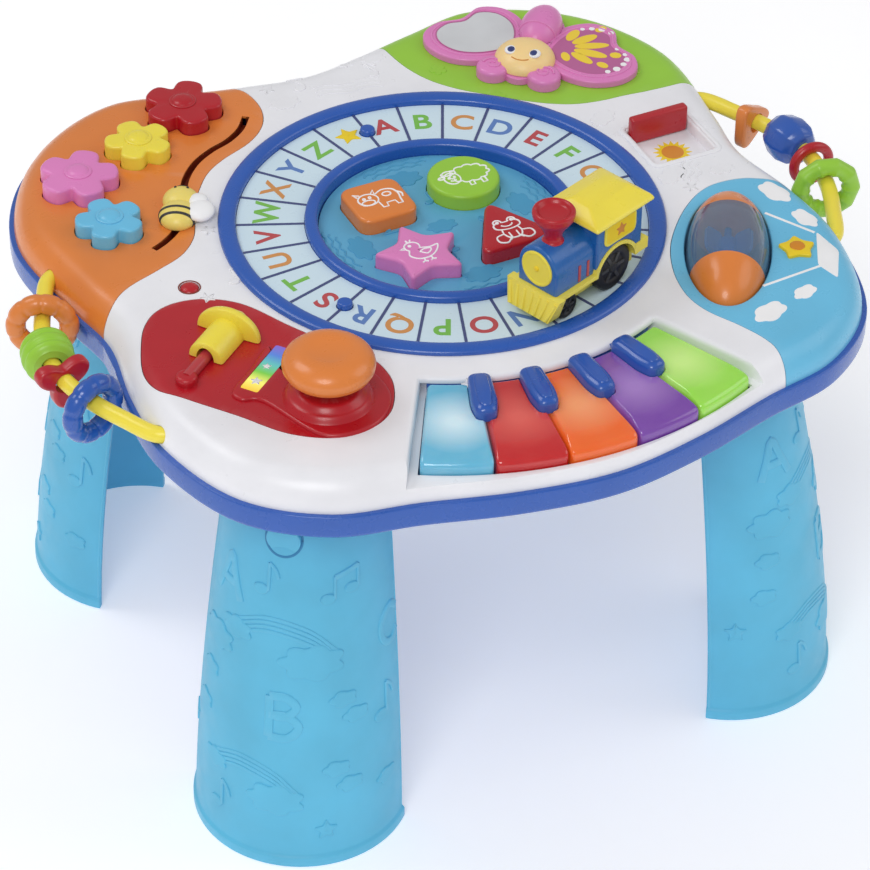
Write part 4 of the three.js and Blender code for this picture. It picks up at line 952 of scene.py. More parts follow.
def bar_path(side, steps=10):
    """A bead bar's middle line from back to front."""
    wall = side * TOP_WIDTH / 2 + TOP_MIDDLE[0] - side
    places = []
    for i in range(BAR_STEPS + 1):
        share = 2 * i / BAR_STEPS - 1
        x = wall + side * BAR_BULGE * math.cos(share * math.pi / 2)
        places.append(Vector((x, BAR_MIDDLE_Y - share * BAR_HALF, -BAR_DROP)))
    inward = Vector((-side * BAR_TURN_IN, 0, 0))
    first = places[0] + ((places[0] - places[1]).normalized() + inward).normalized() * BAR_TAIL
    last = places[-1] + ((places[-1] - places[-2]).normalized() + inward).normalized() * BAR_TAIL
    return smooth_path([first, *places, last], steps)


def bar_holes():
    return [tube(bar_path(side), BAR_RADIUS + GAP, 24) for side in (-1, 1)]


# Rim band and legs

def build_band():
    """A smooth skin over the rim band's faceted side."""
    outer = BAND_PROUD + BAND_SKIN
    inner = BAND_PROUD - BAND_DEPTH - BAND_ROUND
    low = BASE_BOTTOM - BAND_SKIN / 2
    lip_low = -RIM_DROP - BAND_LIP
    levels = []
    for shift, rise in quarter(6):
        z = BASE_BOTTOM + BAND_ROUND * shift - BAND_SKIN / 2
        levels.append((outer - BAND_ROUND * (1 - rise), z))
    levels += [(outer - BAND_LIP * inward, lip_low + BAND_LIP * rise) for inward, rise in quarter(4)]
    levels += [(inner, -RIM_DROP), (inner, low)]
    piece("rim_band", ring_of([(table_outline(distance, 10), z) for distance, z in levels]), "rail_blue")


def ring_of(loops):
    """Loops joined one to the next and the last to the first, as a closed ring."""
    count = len(loops[0][0])
    points = [(x, y, z) for loop, z in loops for x, y in loop]
    faces = []
    for level in range(len(loops)):
        low = level * count
        high = ((level + 1) % len(loops)) * count
        for i in range(count):
            j = (i + 1) % count
            faces.append((low + i, low + j, high + j, high + i))
    return Form(points, faces)


LEG_FOOT = 69.5
LEG_TOP = 50.5
LEG_WALL = 3
LEG_HALF_TURN = 88
LEG_SPREAD = (160, 138)
LEG_MIDDLE = (-12, -9)
LEG_LEAN = 26
LEG_TAPER_POWER = 1.5
LEG_TURN = 3
LEG_INSERT = 2.5
LEG_STEPS = 44
LEG_EDGE = 0.8
RIB_RADIUS = 1.2
RIB_TURN = LEG_HALF_TURN - 1.5
BASE_FLOOR = 2.5
LIP_HEIGHT = 7
LIP_PROUD = 1.8
SNAP_RADIUS = 11
SNAP_PROUD = 1.2
SNAP_DROP = 32
SNAP_ROUND = 0.6
GROOVE_HALF = 0.8
GROOVE_RISE = 0.25
GROOVE_EDGE = 0.3
LEGS = (
    ("leg_front_left", -1, -1),
    ("leg_front_right", 1, -1),
    ("leg_back_right", 1, 1),
    ("leg_back_left", -1, 1),
)


def leg_place(sign_x, sign_y):
    turn = math.degrees(math.atan2(sign_y, sign_x)) + LEG_TURN
    return placed(LEG_MIDDLE[0] + sign_x * LEG_SPREAD[0], LEG_MIDDLE[1] + sign_y * LEG_SPREAD[1], 0, turn)


def leg_size(z):
    """A leg's outer radius and its shift towards the table's middle at a height."""
    rise = max(0, (z + TABLE_HEIGHT) / (TABLE_HEIGHT + BASE_BOTTOM)) ** LEG_TAPER_POWER
    return LEG_FOOT + (LEG_TOP - LEG_FOOT) * rise, LEG_LEAN * rise


def leg_point(turn, z, proud):
    """A point on the leg's outside, by its angle from the leg's middle and its height."""
    radius, shift = leg_size(z)
    angle = math.radians(turn)
    return Vector(((radius + proud) * math.cos(angle) - shift, (radius + proud) * math.sin(angle), z))


def leg_loop(z, proud):
    """A leg's half ring at a height."""
    radius, shift = leg_size(z)
    outer = radius + proud
    inner = radius - LEG_WALL
    spots = [math.radians(LEG_HALF_TURN * (2 * i / LEG_STEPS - 1)) for i in range(LEG_STEPS + 1)]
    front = [(outer * math.cos(a) - shift, outer * math.sin(a)) for a in spots]
    back = [(inner * math.cos(a) - shift, inner * math.sin(a)) for a in reversed(spots)]
    return front + back


def leg_form():
    foot = -TABLE_HEIGHT
    lip_top = foot + LIP_HEIGHT
    start = lip_top + LIP_PROUD
    top = BASE_BOTTOM + BASE_FLOOR + LEG_INSERT
    levels = [(leg_loop(z, LIP_PROUD), z) for z in (foot, lip_top)]
    levels += [(leg_loop(z, 0), z) for z in (start + (top - start) * step / 12 for step in range(13))]
    return stack(levels)


def snap_form():
    """The round button that snaps a leg into the rim."""
    z = BASE_BOTTOM - SNAP_DROP
    radius, shift = leg_size(z)
    profile = [(0, -LEG_WALL), (SNAP_RADIUS, -LEG_WALL), (SNAP_RADIUS, SNAP_PROUD), (0, SNAP_PROUD)]
    return lengthwise(turned(profile, SNAP_ROUND)).moved(radius - shift, 0, z)


def snap_groove():
    """A line round a leg's snap button, in a darker blue that is painted shade of a groove."""
    path = [Vector(spot) for spot in closed_loop(circle(0, 0, SNAP_RADIUS + GROOVE_HALF, 72))]
    return wrapped(raised_band(path, GROOVE_HALF, GROOVE_RISE, GROOVE_EDGE), 0, BASE_BOTTOM - SNAP_DROP)


CLOUD_SOFTNESS = 0.3
CLOUD_FLATNESS = 0.62
LEG_STAR = (8.5, 4, 5, 1.5)


def cloud(width, lobes=7, depth_share=0.16):
    """A cloud's scalloped outline."""
    def reach(angle):
        lobe = math.hypot(math.sin(lobes * angle / 2), CLOUD_SOFTNESS)
        return width / 2 * (1 - depth_share + depth_share * lobe * 2)
    return [(x, y * CLOUD_FLATNESS) for x, y in polar(reach, 90)]


LEG_LETTERS = {
    "A": (((0, 0), (0.2, 0.5), (0.4, 1), (0.6, 0.5), (0.8, 0)), ((0.2, 0.36), (0.6, 0.36))),
    "B": (
        ((0, 0), (0, 0.5), (0, 1)),
        ((0, 1), (0.36, 1), (0.58, 0.78), (0.36, 0.54), (0, 0.54)),
        ((0, 0.54), (0.4, 0.54), (0.64, 0.28), (0.4, 0), (0, 0)),
    ),
    "C": (((0.7, 0.8), (0.4, 1), (0.06, 0.75), (0, 0.45), (0.15, 0.1), (0.45, 0), (0.7, 0.2)),),
}
RELIEF_SINK = 0.5
RELIEF_RISE = 0.9
RELIEF_EDGE = 0.5
RAINBOW_BOWS = 4
RAINBOW_PITCH = 3.2
STAVE_RISE = 0.5
STAVE_ROWS = 3
STAVE_PITCH = 5
STAVE_SWING = 1.6
STAVE_HALF = 0.8

# Raised motifs on a leg, as (kind, size, angle from the leg's middle, height)
LEG_MOTIFS = (
    ("note", 19, -13, -108), ("pair", 20, 30, -112), ("rainbow", (74, 26), 4, -140),
    ("B", 30, -3, -197), ("puff", 17, 40, -186), ("puff", 17, 48, -200), ("puff", 17, 36, -238),
    ("rainbow", (68, 24), -12, -246), ("puff", 17, 44, -252), ("note", 20, -36, -282),
    ("star", LEG_STAR, 30, -285), ("puff", 17, -50, -186), ("puff", 17, -54, -214),
    ("A", 28, -50, -110), ("cloud", 30, -46, -158), ("C", 26, 68, -150), ("note", 22, 66, -212),
    ("puff", 17, 70, -262), ("star", LEG_STAR, -72, -240),
)


def raised_band(path, half_width, rise, edge):
    """A raised strip with rounded edges along a flat path."""
    section = [(-half_width, -RELIEF_SINK)]
    section += [(edge * inward - half_width, rise * share) for inward, share in quarter(3)]
    section += [(-across, height) for across, height in reversed(section)]
    points = []
    for i, point in enumerate(path):
        ahead = (path[min(i + 1, len(path) - 1)] - path[max(i - 1, 0)]).normalized()
        for across, height in section:
            points.append((point.x - ahead.y * across, point.y + ahead.x * across, height))
    return Form(points, pipe_faces(len(path), len(section)))


def pipe_faces(rings, count):
    """The faces of a closed pipe through rings of points, with its two ends."""
    faces = [tuple(range(count)), tuple(reversed(range((rings - 1) * count, rings * count)))]
    for i in range(rings - 1):
        for k in range(count):
            a = i * count + k
            b = i * count + (k + 1) % count
            faces.append((a, a + count, b + count, b))
    return faces


def raised_patch(loop, rise):
    """A raised plateau with a soft edge."""
    return cushion(loop, -RELIEF_SINK, rise, rise)


def raised_letter(letter, size):
    """A letter's strokes, through their points as shares of its height."""
    strokes = [[(x * size, (y - 0.5) * size) for x, y in points] for points in LEG_LETTERS[letter]]
    return merged(
        raised_band(smooth_path(points, 4), size * 0.1, RELIEF_RISE, RELIEF_RISE) for points in strokes
    )


def raised_note(size):
    head = raised_patch(oval(0, 0, size * 0.28, size * 0.2, 24), RELIEF_RISE)
    stem = [Vector((size * 0.26, size * share)) for share in (0, 0.25, 0.5, 0.75, 1)]
    flag = smooth_path([(size * 0.26, size), (size * 0.48, size * 0.8), (size * 0.6, size * 0.5)], 4)
    bands = [raised_band(path, size * 0.06, RELIEF_RISE, RELIEF_EDGE) for path in (stem, flag)]
    return merged([head, *bands])


def joined_notes(size):
    """Two notes joined by a beam."""
    parts = []
    for x, y in ((0, 0), (size * 0.8, size * 0.24)):
        stem = [Vector((x + size * 0.22, y + size * share)) for share in (0, 0.25, 0.5, 0.75)]
        parts.append(raised_patch(oval(x, y, size * 0.25, size * 0.19, 24), RELIEF_RISE))
        parts.append(raised_band(stem, size * 0.05, RELIEF_RISE, RELIEF_EDGE))
    beam = [Vector((size * (0.22 + 0.2 * i), size * (0.72 + 0.06 * i))) for i in range(5)]
    return merged([*parts, raised_band(beam, size * 0.09, RELIEF_RISE, RELIEF_EDGE)])


def rainbow(width, height):
    """Bowed strips that fall from a cloud to another one."""
    bows = []
    for bow in range(RAINBOW_BOWS):
        drop = bow * RAINBOW_PITCH
        spots = [
            (-width / 2, height * 0.1 - drop), (-width * 0.15, height * 0.5 - drop),
            (width * 0.2, height * 0.28 - drop), (width / 2 - drop * 0.6, -height / 2 - drop * 0.3),
        ]
        bows.append(raised_band(smooth_path(spots, 7), RAINBOW_PITCH * 0.36, RELIEF_RISE * 0.6, RELIEF_EDGE))
    end = raised_patch(cloud(width * 0.5), RELIEF_RISE).moved(width * 0.24, -height * 0.62)
    start = raised_patch(cloud(width * 0.3, 6), RELIEF_RISE).moved(-width * 0.46, -height * 0.1)
    return merged([*bows, end, start])


def wrapped(form, turn, height):
    """A flat form laid round a leg's outside, its middle at an angle and a height."""
    radius, _ = leg_size(height)
    points = [leg_point(turn + math.degrees(p.x / radius), height + p.y, p.z) for p in form.points]
    return Form(points, form.faces)


def stave(length):
    """Wavy raised lines."""
    rows = []
    for row in range(STAVE_ROWS):
        y = row * STAVE_PITCH
        path = [Vector((length * i / 20, y + STAVE_SWING * math.sin(i * 0.5))) for i in range(21)]
        rows.append(raised_band(path, STAVE_HALF, STAVE_RISE, STAVE_RISE))
    return merged(rows)


def motif(kind, size, rise):
    """A raised letter, note, pair of notes, stave, rainbow, star or cloud."""
    makers = {
        "note": raised_note,
        "pair": joined_notes,
        "stave": stave,
        "rainbow": lambda spans: rainbow(*spans),
        "star": lambda sizes: raised_patch(star(*sizes), rise),
        "cloud": lambda width: raised_patch(cloud(width), rise),
        "puff": lambda width: raised_patch(cloud(width, 5), rise),
    }
    return raised_letter(kind, size) if kind in LEG_LETTERS else makers[kind](size)


def leg_rib(turn):
    """A thin rib up a leg's outside at an angle."""
    low = -TABLE_HEIGHT + LIP_HEIGHT
    high = BASE_BOTTOM - BAND_SKIN
    heights = [low + (high - low) * i / 16 for i in range(17)]
    return tube([leg_point(turn, z, GAP - RIB_RADIUS) for z in heights], RIB_RADIUS)


def build_legs():
    relief = merged(
        wrapped(motif(kind, size, RELIEF_RISE), turn, height) for kind, size, turn, height in LEG_MOTIFS
    )
    ribs = leg_rib(-RIB_TURN) + leg_rib(RIB_TURN)
    for name, sign_x, sign_y in LEGS:
        where = leg_place(sign_x, sign_y)
        piece(name + "_shell", leg_form().laid(where), "leg_blue", nodes=[name], edge=LEG_EDGE)
        piece(name + "_snap", snap_form().laid(where), "leg_blue")
        piece(name + "_snap_groove", snap_groove().laid(where), "leg_groove")
        piece(name + "_relief", relief.laid(where), "leg_blue")
        piece(name + "_edge_ribs", ribs.laid(where), "leg_blue")


# Track

SWITCH_ROUND = 1.8
SWITCH_RING_HALF = 6
SWITCH_RING_THICKNESS = 3
SWITCH_RING_DROP = 1.8


def build_track():
    inner_edge = INNER_RAIL_OUTER - INNER_RAIL_WIDTH
    tray_top = RING_TOP - RING_THICKNESS - GAP
    low = tray_top - TRAY_FLOOR
    hole = TRACK_RADIUS - HOLE_INSET - GAP
    ledge = inner_edge - PLATE_SHELF
    shelf_top = PLATE_TOP - PLATE_THICKNESS - GAP
    shelf_low = shelf_top - TRAY_FLOOR
    profile = [
        (ledge, shelf_low), (INNER_RAIL_OUTER, shelf_low), (INNER_RAIL_OUTER, low), (hole, low),
        (hole, GAP), (TRACK_RADIUS, GAP), *rail_arc(TRACK_RADIUS, CHANNEL_OUTER),
        (CHANNEL_OUTER, tray_top), (INNER_RAIL_OUTER, tray_top),
        *rail_arc(INNER_RAIL_OUTER, inner_edge), (inner_edge, shelf_top), (ledge, shelf_top),
        (ledge, shelf_low),
    ]
    piece("track_rails", lathe(profile, 180), "rail_blue", nodes=["track_tray"], sharp=50)
    places = [channel_place(turn) for turn in SWITCH_TURNS]
    holes = [drum(x, y, SWITCH_RADIUS + RUNNING_GAP, RING_TOP - OVERRUN, OVERRUN) for x, y in places]
    ring = band_section(INNER_RAIL_OUTER + GAP, CHANNEL_OUTER - GAP, RING_TOP - RING_THICKNESS, RING_TOP)
    piece("letter_ring_print", cut(lathe(ring, 180), *holes), "pale_blue", nodes=["letter_ring"])
    build_switches(places, low - SWITCH_RING_DROP)


def band_section(inner, outer, low, high):
    """A flat ring's closed profile."""
    return [(inner, low), (outer, low), (outer, high), (inner, high), (inner, low)]


def rail_arc(outer, inner):
    """A rail's rounded section from its outer edge to its inner one."""
    middle = (outer + inner) / 2
    half = (outer - inner) / 2
    turns = [math.pi * i / 14 for i in range(15)]
    return [(middle + half * math.cos(a), max(RAIL_RISE * math.sin(a) ** 0.6, GAP)) for a in turns]


def channel_place(turn):
    angle = math.radians(turn)
    return CHANNEL_MIDDLE * math.cos(angle), CHANNEL_MIDDLE * math.sin(angle)


def build_switches(places, ring_top):
    """Three round knobs on the ring that joins them under the track."""
    inner = CHANNEL_MIDDLE - SWITCH_RING_HALF
    outer = CHANNEL_MIDDLE + SWITCH_RING_HALF
    form = lathe(band_section(inner, outer, ring_top - SWITCH_RING_THICKNESS, ring_top), 120)
    foot = ring_top - GAP
    profile = [(0, foot), (SWITCH_RADIUS, foot), (SWITCH_RADIUS, SWITCH_TOP), (0, SWITCH_TOP)]
    knob = turned(profile, SWITCH_ROUND, 40)
    form = merged([form, *[knob.moved(x, y) for x, y in places]])
    piece("track_knobs", form, "rail_blue", "track_switches", ["track_switches"])


LETTERS = "ABCDEFGHIJKLMNOPQRSTUVWXYZ"
LETTER_COLORS = "RGOBRGOBRGOBGBRGOBRGORGOBG"
COLOR_PAINTS = {"R": "letter_red", "G": "letter_green", "O": "letter_orange", "B": "letter_blue"}
SPOKE_HALF = 0.95
STAR_TIP = 9.5
STAR_VALLEY = 4.6
STAR_ROUND = 1
STAR_RISE = 0.6
STAR_EDGE = 0.4
STAR_CROWN = 0.3


def text_form(letter):
    """A letter as a flat form, its middle at the origin."""
    curve = bpy.data.curves.new("letter", "FONT")
    curve.body = letter
    curve.align_x = "CENTER"
    curve.align_y = "CENTER"
    curve.size = LETTER_HEIGHT * LETTER_SIZE_SHARE
    curve.offset = LETTER_BOLD
    curve.extrude = LETTER_RISE / 2
    holder = bpy.data.objects.new("letter", curve)
    bpy.context.scene.collection.objects.link(holder)
    mesh = bpy.data.meshes.new_from_object(holder.evaluated_get(bpy.context.evaluated_depsgraph_get()))
    xs = [v.co.x for v in mesh.vertices]
    ys = [v.co.y for v in mesh.vertices]
    middle = Vector(((min(xs) + max(xs)) / 2, (min(ys) + max(ys)) / 2, 0))
    form = Form([v.co - middle for v in mesh.vertices], [tuple(f.vertices) for f in mesh.polygons])
    bpy.data.objects.remove(holder)
    bpy.data.meshes.remove(mesh)
    return form


def cell_turn(index):
    """The direction of a cell's middle. A's cell is the first clockwise from the back."""
    return 90 - 360 / CELLS * (index + 0.5)


def build_letters():
    groups = {}
    for index, (letter, color) in enumerate(zip(LETTERS, LETTER_COLORS)):
        form = in_cell(text_form(letter).moved(0, 0, RING_TOP), index)
        groups.setdefault(COLOR_PAINTS[color], []).append(form)
    for paint, forms in groups.items():
        piece("letters_" + paint, merged(forms), paint)
    low = (INNER_RAIL_OUTER - GAP, -SPOKE_HALF, RING_TOP - GAP)
    high = (CHANNEL_OUTER + GAP, SPOKE_HALF, RING_TOP + LETTER_RISE)
    spokes = [box(low, high).moved(turn=90 - 360 / CELLS * cell) for cell in range(CELLS)]
    piece("cell_spokes", merged(spokes), "spoke")
    loop = star(STAR_TIP, STAR_VALLEY, 5, STAR_ROUND)
    star_form = cushion(loop, RING_TOP - GAP, RING_TOP + STAR_RISE, STAR_EDGE, STAR_CROWN)
    piece("cell_star", in_cell(star_form, -1), "print_yellow")


def in_cell(form, index):
    """A flat form in the middle of a cell, upright from the track's middle."""
    return form.moved(0, LETTER_RADIUS).moved(turn=cell_turn(index) - 90)


# Centre plate and animal buttons

ANIMAL_MARGIN = 12.5
ANIMAL_GAP = 14
ANIMAL_RADIUS = (PLATE_RADIUS - ANIMAL_MARGIN - ANIMAL_GAP / math.sqrt(2)) / (1 + math.sqrt(2))
ANIMAL_SPREAD = ANIMAL_RADIUS + ANIMAL_GAP / 2
ANIMAL_RISE = 6
ANIMAL_ROUND = 2.8
ANIMAL_SKIRT = 6
ANIMAL_CROWN = 0.5
ICON_RADIUS = 0.62
ICON_LIFT = 0.25
PLATE_RELIEF = 0.5
PLATE_CLOUD_REACH = 58
PLATE_CLOUD_WIDTHS = (19, 24)
PLATE_NOTE = (4, 27)
PLATE_NOTE_SIZE = 11

# The waves round the plate's edge, as (reach, half their turn)
PLATE_WAVES = ((70, 15), (74, 18), (78, 20))
WAVE_HALF = 0.7
WAVE_SWING = 0.8


def square_button():
    reach = ANIMAL_RADIUS * 0.86
    corners = [(reach, reach), (-reach, reach), (-reach, -reach), (reach, -reach)]
    return rounded(corners, reach * 0.48, 8, closed=True)


def triangle_button():
    r = ANIMAL_RADIUS
    corners = [(0, 1.3 * r), (-1.2 * r, -0.86 * r), (1.2 * r, -0.86 * r)]
    return rounded(corners, 0.46 * r, 8, closed=True)


def star_button():
    return star(1.3 * ANIMAL_RADIUS, 0.72 * ANIMAL_RADIUS, 5, 0.18 * ANIMAL_RADIUS)


def round_button():
    return circle(0, 0, ANIMAL_RADIUS, 96)


ANIMALS = (
    ("animal_button_cow", -1, 1, square_button(), "orange"),
    ("animal_button_sheep", 1, 1, round_button(), "green"),
    ("animal_button_chick", -1, -1, star_button(), "pink"),
    ("animal_button_frog", 1, -1, triangle_button(), "red"),
)


def wool(x, y, half_x, half_y, lobes):
    """A closed scalloped line round an oval."""
    path = []
    for i in range(lobes * 6 + 1):
        angle = 2 * math.pi * i / (lobes * 6)
        swell = 1 + 0.16 * abs(math.sin(lobes * angle / 2))
        path.append((x + half_x * swell * math.cos(angle), y + half_y * swell * math.sin(angle)))
    return path


def arc_line(x, y, radius_x, radius_y, start, end, steps):
    turns = [math.radians(start + (end - start) * i / steps) for i in range(steps + 1)]
    return [(x + radius_x * math.cos(a), y + radius_y * math.sin(a)) for a in turns]


def loop_line(x, y, radius_x, radius_y, steps):
    return arc_line(x, y, radius_x, radius_y, 0, 360, steps)


def cow_icon():
    return [
        loop_line(-6, 1, 6, 5.4, 24), loop_line(-7, -1.8, 4, 2.4, 18),
        [(-11, 5), (-12.4, 8.6), (-9, 6.4)], [(-2.6, 5.6), (0.2, 8.8), (-0.6, 4.8)],
        loop_line(-8, 2.4, 0.7, 0.9, 8), loop_line(-4.4, 2.6, 0.7, 0.9, 8),
        smooth_path([(-0.4, 4.4), (5, 7), (10.6, 5.4), (12.4, 1), (11.6, -4.6)], 5),
        [
            (11.6, -4.6), (11.2, -9), (8.4, -9), (7.8, -5.4), (2.6, -5.6), (2.2, -9), (-0.8, -9),
            (-1.4, -3.4),
        ],
        smooth_path([(12.2, 2.4), (14.4, -0.4), (13.6, -3.6)], 4), loop_line(6, 2.2, 2.6, 1.9, 14),
    ]


def sheep_icon():
    return [
        wool(3.4, 0.4, 9.4, 6.4, 11), loop_line(-6.6, -0.6, 4.2, 4.8, 22), wool(-6.6, 4.2, 3.6, 1.6, 5),
        loop_line(-11.6, 1.6, 1.8, 1, 10), loop_line(-8, 0.2, 0.5, 0.7, 8),
        loop_line(-5, 0.2, 0.5, 0.7, 8), arc_line(-6.6, -1.6, 1.6, 1.2, 200, 340, 8),
        [(0, -6.6), (-0.2, -9.6), (2.2, -9.6), (2.4, -7)], [(6.6, -7), (6.6, -9.8), (9, -9.6), (9, -6)],
    ]


def chick_icon():
    return [
        arc_line(-3.6, 4, 4.4, 4.2, -40, 230, 22),
        smooth_path([
            (-6.6, 1), (-8.2, -3.4), (-5, -7.6), (1.4, -8.4), (7, -5.2), (10.6, 0.6), (5.6, 0), (0, 1.4),
        ], 5),
        [(-7.8, 5), (-11, 3.6), (-7.6, 2.6)], loop_line(-4.6, 5, 0.6, 0.8, 8),
        smooth_path([(-1.6, -2), (2, -5), (5.6, -1.6), (1.6, -0.6), (-1.6, -2)], 5),
        [(-2, -8.2), (-2.4, -11), (-4.4, -11.8)], [(-2.4, -11), (-0.8, -11.8)],
        [(2.4, -8.2), (2.4, -10.8), (0.8, -11.6)], [(2.4, -10.8), (4.2, -11.4)],
        [(-4, 8.2), (-4.6, 10.4)], [(-3, 8.2), (-2, 10.2)],
    ]


def frog_icon():
    return [
        smooth_path([(-5, 9), (-8.4, 6.4), (-8, 2.6), (0, 0.2), (8, 2.6), (8.4, 6.4), (5, 9)], 6),
        arc_line(-4.8, 8.6, 2.6, 2.6, -20, 200, 14), arc_line(4.8, 8.6, 2.6, 2.6, -20, 200, 14),
        loop_line(-4.8, 8.6, 0.8, 0.8, 8), loop_line(4.8, 8.6, 0.8, 0.8, 8),
        arc_line(0, 6.2, 4, 3, 200, 340, 12), arc_line(0, 8.6, 2.4, 0.8, 200, 340, 6),
        smooth_path([(-5.4, 1), (-6, -4), (-3.4, -8.4), (3.4, -8.4), (6, -4), (5.4, 1)], 6),
        smooth_path([(-6, -3.4), (-11.6, -5), (-12, -10), (-7.4, -12), (-3.6, -8.6)], 5),
        smooth_path([(6, -3.4), (11.6, -5), (12, -10), (7.4, -12), (3.6, -8.6)], 5),
        [(-2.6, -3), (-2.6, -8.6), (-4.8, -10.4)], [(2.6, -3), (2.6, -8.6), (4.8, -10.4)],
    ]


ICONS = {
    "animal_button_cow": (cow_icon(), 1.15, (0, 0)),
    "animal_button_sheep": (sheep_icon(), 1.3, (0, 0)),
    "animal_button_chick": (chick_icon(), 1.15, (0, 0)),
    "animal_button_frog": (frog_icon(), 1.05, (0, -5)),
}


def build_centre():
    low = PLATE_TOP - PLATE_THICKNESS
    plate = solid(drum(0, 0, PLATE_RADIUS, low, PLATE_TOP, FINE_SIDES))
    cuts = []
    for name, sign_x, sign_y, loop, paint in ANIMALS:
        x = sign_x * ANIMAL_SPREAD
        y = sign_y * ANIMAL_SPREAD
        cuts.append(prism(outset(loop, RUNNING_GAP), low - OVERRUN, OVERRUN).moved(x, y))
        button = cushion(loop, low - ANIMAL_SKIRT, ANIMAL_RISE, ANIMAL_ROUND, ANIMAL_CROWN)
        piece(name + "_cap", button.moved(x, y), paint, name, [name])
        strokes, size, (shift_x, shift_y) = ICONS[name]
        left = x + shift_x
        low_y = y + shift_y
        height = ANIMAL_RISE + ICON_LIFT
        spots = [[(left + px * size, low_y + py * size, height) for px, py in line] for line in strokes]
        lines(name + "_icon", spots, ICON_RADIUS, "print_white", name)
    piece("centre_plate", cut(plate, *cuts), "plate_blue", nodes=["center_plate"])
    piece("plate_reliefs", plate_reliefs(), "plate_line")


def plate_reliefs():
    """Raised clouds, notes and waves between the animal buttons."""
    middle, outer = [raised_patch(cloud(width), PLATE_RELIEF) for width in PLATE_CLOUD_WIDTHS]
    parts = [outer.moved(0, PLATE_CLOUD_REACH)]
    for ring, half in PLATE_WAVES:
        path = []
        for step in range(2 * half + 1):
            angle = math.radians(90 - half + step)
            reach = ring + WAVE_SWING * math.sin(step * 0.8)
            path.append(Vector((reach * math.cos(angle), reach * math.sin(angle))))
        parts.append(raised_band(path, WAVE_HALF, PLATE_RELIEF, RELIEF_EDGE))
    side = merged([*parts, raised_note(PLATE_NOTE_SIZE).moved(*PLATE_NOTE)])
    return merged([middle, *[side.moved(turn=90 * i) for i in range(4)]]).moved(0, 0, PLATE_TOP)


# Flower buttons, bee and lamp

FLOWER_RISE = 10
FLOWER_ROUND = 2.2
FLOWER_SKIRT = 9
FLOWER_CROWN = 0.4
FLOWER_BUMP = 7.4
BUMP_RISE = 3

# The bump's profile from its foot up, as (more radius than the bump's, more height than the petals')
BUMP_FOOT = ((1.6, -1), (1.6, 0.9), (1, 1.3), (-0.2, 1.3), (-0.8, 1.9))

# The bump's dome, as (share of its radius, less height than its top)
BUMP_DOME = ((0.72, 0.5), (0.5, 0.1), (0.25, 0), (0, 0))


def build_flowers():
    foot = [(FLOWER_BUMP + wider, FLOWER_RISE + higher) for wider, higher in BUMP_FOOT]
    dome = [(FLOWER_BUMP * share, FLOWER_RISE + BUMP_RISE - drop) for share, drop in BUMP_DOME]
    bump = lathe([(0, foot[0][1]), *foot, *dome], 56)
    for name, radius, turn, shares, paint in FLOWERS:
        petals = cushion(flower_loop(radius), -FLOWER_SKIRT, FLOWER_RISE, FLOWER_ROUND, FLOWER_CROWN)
        piece(name + "_cap", (petals + bump).moved(*place(shares), 0, turn), paint, name, [name])


BEE_TURN = 60
BEE_TAIL = (14, 12.5, 8.4)
BEE_TAIL_X = -6
BEE_HEAD = (12.5, 12, 8.2)
BEE_HEAD_X = 10.5
BEE_FLOOR = 0.3
BEE_MIDDLE = 3
BEE_STRIPES = ((-7.8, -5.8), (-13.6, -11.8))
STRIPE_PROUD = 1.03
BEE_EYE = (16, 4, 6.8)
BEE_EYE_SIZE = (1.2, 0.9, 1)

# The bee's wings on one side, as (x, y, height, half sizes)
BEE_WINGS = ((-4, -14.5, 6.5, (11, 9.5, 4.4)), (6, -12, 7, (7.5, 6.5, 3.4)))
BEE_SMILE_X = 9.4
BEE_SMILE_RISE = 5.6
SMILE_RADIUS = 0.35
PIN_RADIUS = 1.7
LAMP_RISE = 1.5
LAMP_ROUND = 1.5

# The lamp rim's profile, as (more radius, the radius that it adds to, height)
LAMP_PROFILE = (
    (GAP, LAMP_RADIUS, -1), (0, LAMP_RIM, -1), (0, LAMP_RIM, 0.2), (-0.4, LAMP_RIM, 0.5),
    (0.6, LAMP_RADIUS, 0.4), (GAP, LAMP_RADIUS, -0.4), (GAP, LAMP_RADIUS, -1),
)


def half_above(form, low):
    """The part of a form above a height."""
    return cut(form, box((-TOP_WIDTH, -TOP_DEPTH, -TABLE_HEIGHT), (TOP_WIDTH, TOP_DEPTH, low)))


def build_bee():
    where = placed(*place(BEE_SHARES), 0, BEE_TURN)
    tail = ellipsoid(BEE_TAIL_X, 0, BEE_MIDDLE, BEE_TAIL)
    head = ellipsoid(BEE_HEAD_X, 0, BEE_MIDDLE, BEE_HEAD)
    wing = merged(ellipsoid(*spot) for spot in BEE_WINGS)
    for name, form, paint, nodes in (
        ("bee_tail", tail, "bee_yellow", ["bee_slider"]), ("bee_head", head, "bee_yellow", ()),
        ("bee_stripes", bee_stripes(), "black", ()), ("bee_wing", wing, "print_white", ()),
    ):
        piece(name, half_above(form.laid(where), BEE_FLOOR), paint, "bee_slider", nodes)
    build_bee_face(where)


def bee_stripes():
    """Bands a little proud of the tail, each between two places along it."""
    flat = Matrix.Translation((0, 0, BEE_MIDDLE)) @ Matrix.Diagonal((1, BEE_TAIL[1], BEE_TAIL[2], 1))
    bands = []
    for start, end in BEE_STRIPES:
        profile = []
        for along in (start, (start + end) / 2, end):
            share = (along - BEE_TAIL_X) / BEE_TAIL[0]
            profile.append((STRIPE_PROUD * math.sqrt(1 - min(1, share * share)), along))
        inner = [(radius * 0.9, along) for radius, along in reversed(profile)]
        bands.append(lengthwise(lathe([*profile, *inner, profile[0]], 48)).laid(flat))
    return merged(bands)


